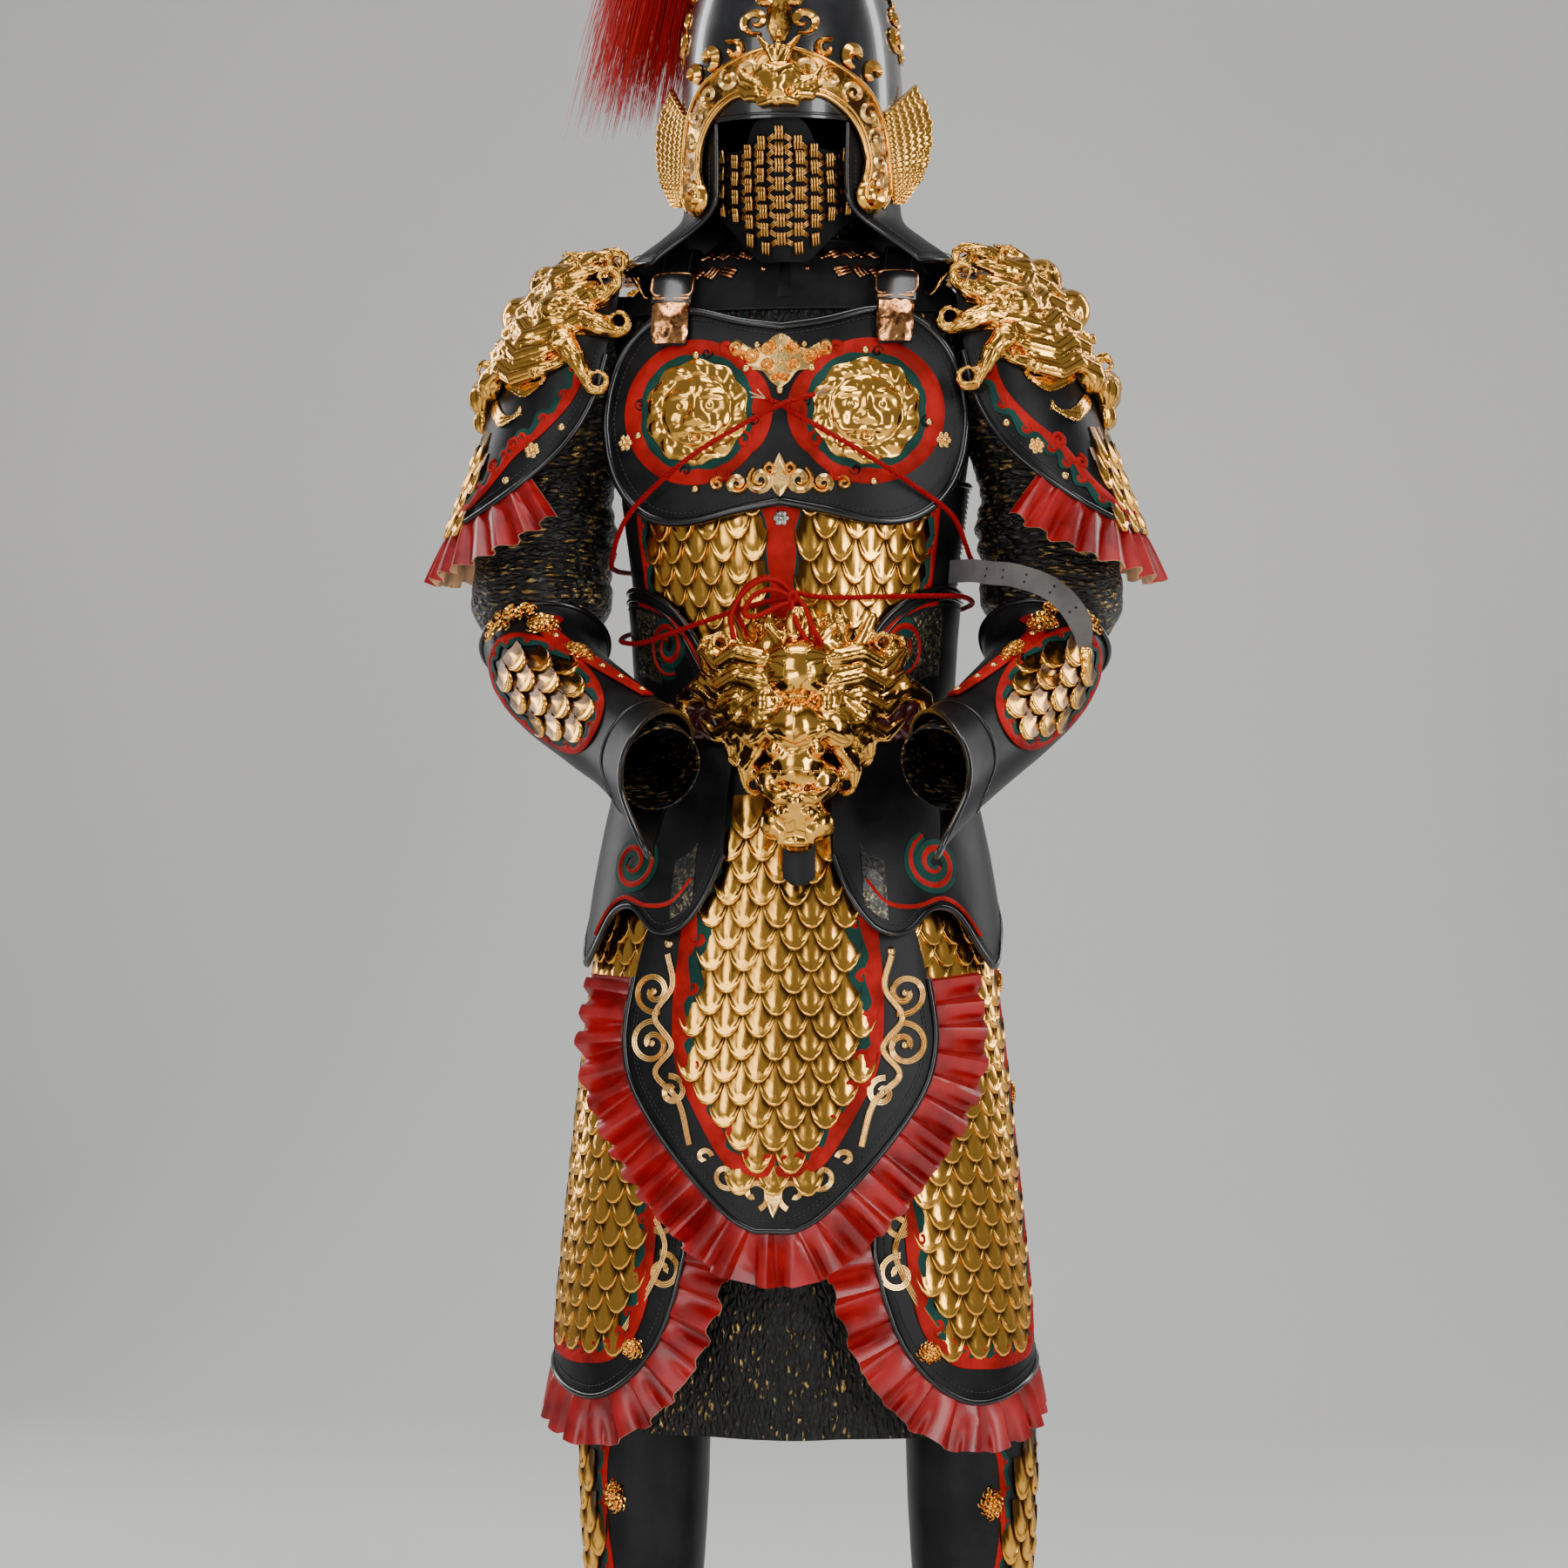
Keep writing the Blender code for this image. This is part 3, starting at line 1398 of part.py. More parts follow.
# Ornaments
CHEST_CREST = Table(
    "x high low",
    (0.000, -0.0660, -0.1180),
    (0.008, -0.0700, -0.1120),
    (0.016, -0.0780, -0.1020),
    (0.026, -0.0800, -0.1000),
    (0.038, -0.0740, -0.0940),
    (0.045, -0.0760, -0.0880),
    (0.049, -0.0790, -0.0840),
)
CHEST_SCROLL = Table(
    "x high low",
    (0.000, -0.1780, -0.2190),
    (0.008, -0.1840, -0.2150),
    (0.017, -0.1960, -0.2120),
    (0.035, -0.1960, -0.2150),
    (0.050, -0.1950, -0.2110),
    (0.060, -0.2000, -0.2090),
    (0.065, -0.2040, -0.2070),
)
APRON_PALMETTE = Table(
    "x high low",
    (0.000, -0.8390, -0.8860),
    (0.010, -0.8430, -0.8780),
    (0.022, -0.8430, -0.8600),
    (0.036, -0.8390, -0.8500),
    (0.050, -0.8390, -0.8450),
)
APRON_SCROLL = (  # x, z and half width, down one side of the scales
    (0.106, -0.655, 0.004),
    (0.116, -0.675, 0.009),
    (0.112, -0.705, 0.013),
    (0.122, -0.732, 0.011),
    (0.112, -0.765, 0.010),
    (0.094, -0.795, 0.007),
    (0.078, -0.822, 0.003),
)


def ornaments():
    out = CHEST_THICK + GAP
    plate("chest_crest", CHEST_FORM, CHEST_CREST, out, 2 * MM, 12)
    plate("chest_scroll", CHEST_FORM, CHEST_SCROLL, out, 2 * MM, 12)
    plate("apron_palmette", APRON_FORM, APRON_PALMETTE, LEATHER + GAP, 2 * MM, 8)
    for side_name, side in SIDES:
        route = [(side * x, z, half) for x, z, half in APRON_SCROLL]
        ribbon(f"apron_scroll_{side_name}", APRON_FORM, route, LEATHER + GAP, 2 * MM, 8)


# Cords and the side strap
CHEST_CORD = (  # from the knot's free end, across, down one side, round the back and home again
    (0.034, -0.1500, -0.1250),
    (0.012, -0.1530, -0.1310),
    (0.000, -0.1540, -0.1360),
    (-0.020, -0.1500, -0.1450),
    (-0.080, -0.1480, -0.1800),
    (-0.130, -0.1180, -0.2160),
    (-0.156, -0.0900, -0.2420),
    (-0.173, -0.0450, -0.2720),
    (-0.176, 0.0000, -0.2800),
    (-0.160, 0.0640, -0.2800),
    (-0.100, 0.1120, -0.2800),
    (0.000, 0.1310, -0.2800),
    (0.100, 0.1120, -0.2800),
    (0.160, 0.0640, -0.2800),
    (0.176, 0.0000, -0.2800),
    (0.173, -0.0450, -0.2700),
    (0.160, -0.0880, -0.2360),
    (0.130, -0.1180, -0.2120),
    (0.080, -0.1480, -0.1800),
    (0.020, -0.1490, -0.1450),
    (0.004, -0.1455, -0.1350),
    (-0.012, -0.1440, -0.1280),
)
WAIST_CORD = (  # from one hanging end, through the bow, round the back and home to the other end
    (0.036, -0.1760, -0.3500),
    (0.028, -0.1660, -0.3340),
    (0.012, -0.1520, -0.3170),
    (-0.010, -0.1440, -0.3180),
    (-0.050, -0.1370, -0.3290),
    (-0.100, -0.1140, -0.3440),
    (-0.140, -0.0780, -0.3540),
    (-0.167, -0.0240, -0.3500),
    (-0.163, 0.0460, -0.3400),
    (-0.110, 0.1000, -0.3350),
    (0.000, 0.1268, -0.3300),
    (0.110, 0.0990, -0.3250),
    (0.166, 0.0460, -0.3150),
    (0.170, -0.0240, -0.3100),
    (0.150, -0.0740, -0.3100),
    (0.090, -0.1180, -0.3130),
    (0.040, -0.1400, -0.3140),
    (0.014, -0.1560, -0.3090),
    (-0.010, -0.1590, -0.2960),
    (-0.032, -0.1560, -0.3080),
    (-0.038, -0.1520, -0.3280),
    (-0.032, -0.1560, -0.3420),
)
STRAP_FREE = (  # x, y, z of the side strap's free end
    (0.1533, -0.0362, -0.2850),
    (0.178, -0.076, -0.2865),
    (0.196, -0.098, -0.2900),
    (0.222, -0.114, -0.2940),
    (0.256, -0.122, -0.3080),
    (0.280, -0.120, -0.3360),
    (0.286, -0.114, -0.3700),
)
STRAP_FREE_HALF = 0.011


def cords():
    tube("cord_chest", smooth_line(CHEST_CORD, 27), CORD_RADIUS, "red_cord", sides=1)
    tube("cord_waist", smooth_line(WAIST_CORD, 30), CORD_RADIUS, "red_cord", sides=1)


def side_strap():
    """A suede strap whose free end stands out in front of the left sleeve."""
    route = Table("s x y z", *((i, *row) for i, row in enumerate(STRAP_FREE)))
    last = len(STRAP_FREE) - 1

    def spot(u, v, face):
        s = v * last
        dx, dz = (route(k, s + 0.05) - route(k, s - 0.05) for k in "xz")
        aside = STRAP_FREE_HALF * (2 * u - 1) * (1 - 0.6 * max(0.0, v - 0.85) / 0.15)
        length = math.hypot(dx, dz)
        return Vector(
            (
                route("x", s) - dz / length * aside,
                route("y", s) - 2 * MM * face,
                route("z", s) + dx / length * aside,
            )
        )

    wall("side_strap", spot, 1, 10, "grey_suede")


def collections():
    for thing in list(bpy.data.objects):
        bpy.data.objects.remove(thing)
    for name in ("suit", "cutters"):
        made = bpy.data.collections.new(name)
        bpy.context.scene.collection.children.link(made)


def main():
    collections()
    robe()
    cuirass()
    chest()
    gorget()
    straps()
    waist_wrap()
    belt()
    apron()
    thigh_skirts()
    pauldrons()
    bracers()
    shin_guards()
    helmet()
    plume()
    aventail()
    mask()
    shoulder_beasts()
    buckle()
    ornaments()
    cords()
    side_strap()
    bpy.context.view_layer.update()


main()
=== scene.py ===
# %% [markdown]
# A suit of Chinese scale armour, dressed over its solid model. The solids fix where every piece
# lies. This script gives each one its finish, its carving, its stitches and its folds. It is
# written in small steps, so that each can be read and run by itself.

# %% The frame: the solids and the box round them
import math
from bisect import bisect_right

import bmesh
import bpy
from mathutils import Matrix, Vector, noise
from mathutils.kdtree import KDTree


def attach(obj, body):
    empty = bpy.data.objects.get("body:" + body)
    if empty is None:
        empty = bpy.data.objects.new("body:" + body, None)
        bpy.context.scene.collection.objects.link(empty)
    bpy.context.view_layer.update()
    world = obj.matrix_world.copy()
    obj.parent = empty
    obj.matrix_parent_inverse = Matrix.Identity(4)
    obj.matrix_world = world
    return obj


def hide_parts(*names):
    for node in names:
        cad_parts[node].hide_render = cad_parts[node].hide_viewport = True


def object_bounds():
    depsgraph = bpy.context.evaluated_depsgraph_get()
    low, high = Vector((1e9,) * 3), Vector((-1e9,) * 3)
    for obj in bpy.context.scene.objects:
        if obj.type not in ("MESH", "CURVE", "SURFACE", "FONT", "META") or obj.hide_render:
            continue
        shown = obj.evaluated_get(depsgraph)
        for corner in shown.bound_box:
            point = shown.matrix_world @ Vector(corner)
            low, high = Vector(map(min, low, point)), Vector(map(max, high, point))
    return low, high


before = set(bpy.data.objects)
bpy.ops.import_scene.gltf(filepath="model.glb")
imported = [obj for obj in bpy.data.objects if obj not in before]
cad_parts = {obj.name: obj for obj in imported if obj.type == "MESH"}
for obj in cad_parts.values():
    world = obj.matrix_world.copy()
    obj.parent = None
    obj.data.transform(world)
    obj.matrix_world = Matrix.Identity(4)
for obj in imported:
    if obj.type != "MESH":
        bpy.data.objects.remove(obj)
CAD_BOX = [list(corner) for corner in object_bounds()]
MM = 0.001
SIDES = (("left", 1), ("right", -1))
print("nodes", len(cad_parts), "box", [[round(x, 3) for x in c] for c in CAD_BOX])


def placed(name, data):
    """A new object in the scene."""
    made = bpy.data.objects.new(name, data)
    bpy.context.scene.collection.objects.link(made)
    return made


# %% [markdown]
# The photograph was taken from a little to the wearer's right, level with the waist, with a
# long lens. Its picture cuts off the top of the plume and the foot of the shin guards, so the
# camera here stands at the same place and looks straight ahead, without any shift.

# %% Camera
TURN = math.radians(6)
DISTANCE, EYE_HEIGHT, OFF_AXIS = 3.61, -0.489, 0.0102


def camera():
    seen = bpy.data.cameras.new("camera")
    seen.lens, seen.sensor_width = 85, 36
    made = placed("camera", seen)
    ahead = Vector((-math.sin(TURN), math.cos(TURN), 0))
    aside = Vector((math.cos(TURN), math.sin(TURN), 0))
    made.location = -ahead * DISTANCE - aside * OFF_AXIS + Vector((0, 0, EYE_HEIGHT))
    made.rotation_euler = (math.radians(90), 0, TURN)
    bpy.context.scene.camera = made
    print("camera", [round(x, 3) for x in made.location])


camera()

# %% [markdown]
# Gold has no colour of its own to speak of: it shows what stands round it. A few large soft
# lights with dimmer air between them give it bright bands and dark ones. The floor is pale and
# plain.

# %% Floor and lights
FLOOR_Z = CAD_BOX[0][2] - 0.07
FLOOR_BACK, FLOOR_BEND = 2.2, 1.6  # where the floor starts to rise behind, and its bend
LIGHTS = (  # name, place, width, height, watts
    ("key", (-1.8, -3.5, 1.3), 1.8, 2.4, 50),
    ("fill", (2.4, -2.8, 0.2), 0.9, 2.6, 72),
    ("low", (-0.8, -3.6, -1.1), 2.0, 0.6, 26),
    ("top", (0.0, -0.8, 2.6), 2.0, 1.2, 50),
    ("left_rim", (2.2, 1.4, 0.6), 0.5, 2.4, 30),
    ("right_rim", (-2.2, 1.2, 0.4), 0.5, 2.4, 30),
)


def studio():
    """A pale sheet of paper that curves up behind the suit."""
    profile = [(-6.0, 0.0), (FLOOR_BACK, 0.0)]
    for k in range(1, 25):
        t = math.pi * k / 48
        profile.append((FLOOR_BACK + FLOOR_BEND * math.sin(t), FLOOR_BEND - FLOOR_BEND * math.cos(t)))
    profile.append((FLOOR_BACK + FLOOR_BEND, 7.0))
    points = [(x, y, FLOOR_Z + z) for x in (-9, 9) for y, z in profile]
    count = len(profile)
    mesh = bpy.data.meshes.new("floor")
    mesh.from_pydata(points, [], [(i, i + count, i + count + 1, i + 1) for i in range(count - 1)])
    mesh.shade_smooth()
    floor = placed("floor", mesh)
    pale = bpy.data.materials.new("floor_pale")
    pale.use_nodes = True
    shader = pale.node_tree.nodes["Principled BSDF"]
    shader.inputs["Base Color"].default_value = (0.8, 0.79, 0.77, 1)
    shader.inputs["Roughness"].default_value = 0.85
    floor.data.materials.append(pale)
    for name, place, wide, high, watts in LIGHTS:
        light = bpy.data.lights.new(name, "AREA")
        light.shape, light.size, light.size_y, light.energy = "RECTANGLE", wide, high, watts
        made = placed(name, light)
        made.location = place
        aim = Vector((0, 0, -0.3)) - Vector(place)
        made.rotation_euler = aim.to_track_quat("-Z", "Y").to_euler()
    world = bpy.data.worlds.new("studio_air")
    bpy.context.scene.world = world
    world.use_nodes = True
    air = world.node_tree.nodes["Background"].inputs
    air["Color"].default_value = (0.5, 0.51, 0.53, 1)
    air["Strength"].default_value = 0.42
    print("lights", len(LIGHTS))


studio()

# %% [markdown]
# Nodes are easier to read as sums than as boxes and wires. Graph adds any node of a tree, with
# its settings first and its sockets after. What it hands back is a Term, and Python's own
# signs on Terms add the Math nodes, so that a mask can be written 1 - mask.


# %% Node trees written as sums
class Term:
    """One socket of a node tree, ready to be used in arithmetic."""

    def __init__(self, graph, socket):
        self.graph, self.socket = graph, socket

    def _sum(self, operation, *terms):
        return self.graph.node("ShaderNodeMath", {"operation": operation}, *terms)

    def __add__(self, other):
        return self._sum("ADD", self, other)

    def __sub__(self, other):
        return self._sum("SUBTRACT", self, other)

    def __rsub__(self, other):
        return self._sum("SUBTRACT", other, self)

    def __mul__(self, other):
        return self._sum("MULTIPLY", self, other)

    def __pow__(self, other):
        return self._sum("POWER", self, other)

    __radd__, __rmul__ = __add__, __mul__


class Graph:
    """A node tree in the making."""

    def __init__(self, tree):
        self.tree, self.nodes, self.links = tree, tree.nodes, tree.links

    def node(self, kind, settings=None, *values, out=0, **named):
        made = self.nodes.new(kind)
        for key, value in (settings or {}).items():
            setattr(made, key, value)
        for key, value in [*enumerate(values), *named.items()]:
            self.feed(made.inputs[key if isinstance(key, int) else key.replace("_", " ")], value)
        return Term(self, made.outputs[out])

    def feed(self, socket, value):
        if isinstance(value, Term):
            self.links.new(value.socket, socket)
        else:
            socket.default_value = value


# %% [markdown]
# A finish is a Principled shader with a few patterns on it. Fixed values go straight on the
# shader's sockets. What varies, such as grain and wear, is worked out from the place on the
# object in metres, so that a grain of one millimetre is one millimetre on every piece.


# %% The finish class and its patterns
class Finish(Graph):
    def __init__(self, name, colour, roughness, metallic=0.0, **fixed):
        self.material = bpy.data.materials.new(name)
        self.material.use_nodes = True
        super().__init__(self.material.node_tree)
        self.shader = self.nodes["Principled BSDF"]
        self.place = self.node("ShaderNodeTexCoord", out="Object")
        self.give(Base_Color=(*colour, 1), Roughness=roughness, Metallic=metallic, **fixed)
        FINISHES[name] = self.material

    def give(self, **sockets):
        for key, value in sockets.items():
            self.feed(self.shader.inputs[key.replace("_", " ")], value)

    def stretched(self, across, deep, high):
        """The object's place, longer or shorter along X, Y and Z."""
        return self.node("ShaderNodeMapping", None, self.place, Scale=(across, deep, high))

    def cloud(self, size, detail=3.0, place=None, twist=0.0):
        """Soft noise with lumps of that size in metres."""
        where = place or self.place
        return self.node("ShaderNodeTexNoise", None, where, Scale=1 / size, Detail=detail, Distortion=twist)

    def cells(self, size, place=None, feature="F1"):
        """Distance within cells of that size in metres."""
        settings = {"feature": feature}
        where = place or self.place
        return self.node("ShaderNodeTexVoronoi", settings, where, Scale=1 / size)

    def stored(self, name):
        """A number that the mesh keeps at each point."""
        return self.node("ShaderNodeAttribute", {"attribute_name": name}, out="Fac")

    def step(self, value, low, high):
        """0 below low, 1 above high, and a smooth slope between them."""
        settings = {"interpolation_type": "SMOOTHSTEP"}
        return self.node("ShaderNodeMapRange", settings, value, low, high, 0.0, 1.0)

    def blend(self, mask, first, second):
        """A colour between two, by a mask."""
        ends = [(*c, 1) if isinstance(c, tuple) else c for c in (first, second)]
        mixed = self.node("ShaderNodeMix", {"data_type": "RGBA"}, mask, out=2)
        socket = mixed.socket.node.inputs
        self.feed(socket[6], ends[0])
        self.feed(socket[7], ends[1])
        return mixed

    def emboss(self, height, depth, strength=1.0):
        """A bump of that depth in metres."""
        bump = self.node("ShaderNodeBump", None, Strength=strength, Distance=depth, Height=height)
        self.give(Normal=bump)


FINISHES = {}

# %% [markdown]
# The black panels are satin leather. Its grain is a net of small cells with soft creases over
# it, and fingers and folding have polished some places more than others. Piping is the same
# hide, stretched tight over a cord until it shines.


# %% Leathers
def leather(name, colour, roughness, grain=0.9 * MM, depth=0.12 * MM, **fixed):
    made = Finish(name, colour, roughness, **fixed)
    pores = made.cells(grain)
    creases = made.cloud(9 * MM, 4)
    worn = made.cloud(45 * MM, 2)
    made.give(Roughness=roughness - 0.09 + 0.18 * worn)
    light = tuple(min(1.0, 1.5 * c + 0.004) for c in colour)
    dark = tuple(0.7 * c for c in colour)
    made.give(Base_Color=made.blend(made.step(worn + 0.3 * creases, 0.45, 0.85), dark, light))
    made.emboss(pores * 0.6 + creases, depth)
    return made


leather("satin_black_leather", (0.0035, 0.0035, 0.004), 0.42, Specular_IOR_Level=0.22)
leather("glossy_piping", (0.003, 0.003, 0.0035), 0.2, depth=0.05 * MM, Coat_Weight=0.2, Coat_Roughness=0.1)
leather("red_applique", (0.3, 0.004, 0.003), 0.6, grain=0.6 * MM, Specular_IOR_Level=0.12)
leather("green_applique", (0.003, 0.036, 0.027), 0.6, grain=0.6 * MM, Specular_IOR_Level=0.15)
leather(
    "glossy_red_leather", (0.27, 0.002, 0.003), 0.3, depth=0.15 * MM, Coat_Weight=0.12,
    Coat_Roughness=0.12,
)
leather("cream_flesh_side", (0.52, 0.3, 0.16), 0.75, grain=0.5 * MM)
leather("plaited_dark_red", (0.05, 0.002, 0.003), 0.3, depth=0.1 * MM, Coat_Weight=0.2, Coat_Roughness=0.2)
leather("suede_grey", (0.075, 0.07, 0.066), 0.92, grain=0.4 * MM, depth=0.3 * MM, Sheen_Weight=0.4)
leather(
    "helmet_lacquer", (0.008, 0.008, 0.009), 0.26, grain=0.5 * MM, depth=0.02 * MM, Coat_Weight=0.6,
    Coat_Roughness=0.08,
)
leather(
    "matt_black_cloth", (0.004, 0.004, 0.0045), 0.8, grain=0.5 * MM, depth=0.2 * MM,
    Specular_IOR_Level=0.2,
)
leather("black_thread", (0.016, 0.016, 0.017), 0.55, grain=0.3 * MM)
print("leathers", len(FINISHES))

# %% [markdown]
# The castings are polished, so their shader is nearly a mirror, broken by faint dents and a
# few cloudy patches. The scale sheets are brushed and aged: a value stored on each scale says
# how far its rim and rib are worn bright, and it also holds painted shade, dark just below the
# scales that overlap it and on its side walls.


# %% Metals
def metal(name, colour, roughness, dent, tarnish, dark):
    made = Finish(name, colour, roughness, 1.0)
    clouds = made.cloud(20 * MM, 4)
    made.give(Roughness=roughness - 0.05 + 0.14 * clouds)
    fine = made.cloud(dent, 3)
    spots = made.step(fine * 0.5 + clouds, 1.0 - tarnish, 1.25 - tarnish)
    made.give(Base_Color=made.blend(spots, colour, dark))
    made.emboss(fine, 0.25 * MM, 0.6)
    return made


def aged_shaded_metal(name, colour, roughness, dark):
    made = Finish(name, colour, roughness, 1.0)
    rubbed = made.stored("rubbed")
    brushed = made.cloud(2.5 * MM, 3, made.stretched(1.6, 1.6, 0.12))
    clouds = made.cloud(30 * MM, 3)
    # Painted shade: the stored value is dark under overlapping scales and between link stripes, mixed with
    # real tarnish from the clouds.
    shade = made.step(rubbed + 0.45 * clouds - 0.2, 0.12, 0.75)
    made.give(Base_Color=made.blend(shade, dark, colour))
    made.give(Roughness=roughness + 0.22 * brushed - 0.1 * rubbed)
    made.emboss(brushed, 0.12 * MM, 0.5)
    return made


def carved(name, colour, roughness, dark):
    """Polished metal with fine strands along each lock: the casting stores where they run.
    The grooves between the strands are painted dark as shade.
    """
    made = metal(name, colour, roughness, 6 * MM, 0.15, dark)
    strand = made.stored("strand")
    grooves = made.node("ShaderNodeMath", {"operation": "SINE"}, strand + 2.5 * made.cloud(12 * MM, 1))
    # Painted shade: the base colour darkens in the grooves between the strands.
    made.give(Base_Color=made.blend(made.step(grooves, -1.15, -0.35), dark, colour))
    made.emboss(grooves, 0.22 * MM, 0.5)


metal("polished_gold", (1.0, 0.51, 0.09), 0.13, 6 * MM, 0.15, (0.5, 0.22, 0.04))
metal("bright_gold_trim", (1.0, 0.62, 0.2), 0.24, 3 * MM, 0.2, (0.45, 0.23, 0.05))
metal("gold_ground", (0.95, 0.5, 0.1), 0.24, 3 * MM, 0.4, (0.15, 0.06, 0.01))
metal("pale_silver", (0.72, 0.7, 0.66), 0.25, 3 * MM, 0.3, (0.2, 0.19, 0.17))
metal("hammered_copper", (0.8, 0.36, 0.13), 0.18, 4 * MM, 0.35, (0.14, 0.05, 0.02))
aged_shaded_metal("aged_gold_scale", (1.0, 0.5, 0.08), 0.15, (0.09, 0.036, 0.006))
aged_shaded_metal("bronze_link", (0.62, 0.32, 0.08), 0.18, (0.02, 0.008, 0.003))
carved("carved_gold", (1.0, 0.51, 0.09), 0.12, (0.25, 0.1, 0.012))


# %% [markdown]
# The robe's cloth is black, printed with thin gold that only stays on the ridges of its fine
# pleats. So one pattern, stretched along the cloth's fall, both lifts the surface and decides
# where the gold shows. The dark patches on the waist wrap use the same idea with bigger cells.


# %% Crinkled cloths, hair and cord
def crinkled(name, gold, share, size, stretch, depth, roughness, **fixed):
    made = Finish(name, (0.004, 0.0035, 0.003), roughness, **fixed)
    where = made.stretched(*stretch)
    folds = made.cloud(size, 5, where, 1.2)
    net = made.cells(size * 0.8, where, "DISTANCE_TO_EDGE")
    ridge = made.step(folds + 0.6 * net, 1 - share, 1.15 - share)
    glint = ridge * made.step(made.cloud(60 * MM, 2), 0.35, 0.6)
    made.give(Base_Color=made.blend(glint, (0.004, 0.0035, 0.003), gold))
    made.give(Metallic=glint * 0.9, Roughness=roughness + 0.15 - 0.3 * glint)
    made.emboss(folds + net, depth)
    return made


CLOTH_GOLD = (0.6, 0.38, 0.12)
crinkled(
    "crinkled_robe_cloth", CLOTH_GOLD, 0.3, 7 * MM, (1.0, 1.0, 0.45), 4 * MM, 0.3,
    Specular_IOR_Level=0.3,
)
crinkled(
    "crinkled_sleeve_cloth", CLOTH_GOLD, 0.36, 8 * MM, (0.35, 0.6, 1.3), 6 * MM, 0.2,
    Specular_IOR_Level=0.45,
)
crinkled("dark_gilt_hide", (0.22, 0.18, 0.1), 0.45, 7 * MM, (1, 1, 1), 1.5 * MM, 0.25, Coat_Weight=0.15)


def hair(name, colour, dark):
    made = Finish(name, colour, 0.38, Specular_IOR_Level=0.25)
    tone = made.stored("tone")
    made.give(Base_Color=made.blend(tone, dark, colour))
    made.give(Roughness=0.3 + 0.25 * tone)


def twisted(name, colour):
    made = Finish(name, colour, 0.6, Specular_IOR_Level=0.15)
    fibres = made.cloud(1.2 * MM, 3)
    made.give(Base_Color=made.blend(fibres, tuple(0.45 * c for c in colour), colour))
    made.emboss(fibres, 0.4 * MM)


hair("red_horsehair", (0.66, 0.008, 0.006), (0.26, 0.002, 0.003))
twisted("red_cord_twist", (0.4, 0.002, 0.003))
print("finishes", len(FINISHES))

# %% [markdown]
# Every piece is cut to the same few forms as its solid: tables of widths and depths down the
# body, the arm, the shoulder and the head. A form turns two numbers, such as an angle and a
# height, into a place, and moves it out from the surface by a thickness.


# %% Tables and forms
def mix(start, end, t):
    return start + (end - start) * t


def bump(x, middle, wide):
    """1 at the middle, and next to nothing twice that width from it."""
    return math.exp(-(((x - middle) / wide) ** 2))


def near(degrees):
    """The same place on the left half, for a piece that is alike on both."""
    return min(degrees, 360 - degrees)


def mirrored(start, side):
    """A spiral's first direction in degrees, as it is or as a mirror shows it."""
    return start if side > 0 else 180 - start


def on_side(side, rows):
    """Rows that start with degrees on the left side, as rows of angles on one side or the other."""
    return [(side * math.radians(degrees), *rest) for degrees, *rest in rows]


def hoop(form, b, out, count=100):
    """A closed line round a form."""
    return [form.point(2 * math.pi * k / count, b, out) for k in range(count)]


class Table:
    """Rows of numbers under named columns, read on a smooth curve at any value of the first."""

    def __init__(self, columns, *rows):
        rows = sorted(rows)
        self.at = [row[0] for row in rows]
        self.values, self.slopes = {}, {}
        last = len(rows) - 1
        for index, name in enumerate(columns.split()[1:], 1):
            values = [row[index] for row in rows]
            self.values[name] = values
            self.slopes[name] = [
                (values[min(i + 1, last)] - values[max(i - 1, 0)])
                / (self.at[min(i + 1, last)] - self.at[max(i - 1, 0)])
                for i in range(len(rows))
            ]

    def __call__(self, name, at):
        at = min(max(at, self.at[0]), self.at[-1])
        i = min(bisect_right(self.at, at), len(self.at) - 1) - 1
        span = self.at[i + 1] - self.at[i]
        t = (at - self.at[i]) / span
        values, slopes = self.values[name], self.slopes[name]
        return (
            values[i] * (1 + 2 * t) * (1 - t) ** 2
            + values[i + 1] * t * t * (3 - 2 * t)
            + span * t * (1 - t) * (slopes[i] * (1 - t) - slopes[i + 1] * t)
        )


class Form:
    """A surface that pieces are laid on: bare(a, b) is a place on it, and point() moves out."""

    turn = 1
    steps = (0.01, 0.002)

    def point(self, a, b, out=0.0):
        place = self.bare(a, b)
        return place + out * self.normal(a, b) if out else place

    def normal(self, a, b):
        da, db = self.steps
        along = self.bare(a + da, b) - self.bare(a - da, b)
        up = self.bare(a, b + db) - self.bare(a, b - db)
        return self.turn * along.cross(up).normalized()

    def up(self, a, b):
        return (self.bare(a, b + self.steps[1]) - self.bare(a, b - self.steps[1])).normalized()


class Tube(Form):
    """Round a vertical axis: a is an angle, 0 in front and growing to the wearer's left."""

    def __init__(self, table, x=0.0, y=0.0):
        self.table, self.x, self.y = table, x, y

    def bare(self, a, b):
        depth = self.table("front" if math.cos(a) > 0 else "back", b)
        wide = self.table("wide", b)
        return Vector((self.x + wide * math.sin(a), self.y - depth * math.cos(a), b))


class Front(Form):
    """A plate in front of the body, bowed backwards to the sides: a is x, b is z."""

    steps = (0.002, 0.002)

    def __init__(self, table):
        self.table = table

    def bare(self, a, b):
        return Vector((a, -self.table("deep", b) + self.table("bow", b) * a * a, b))


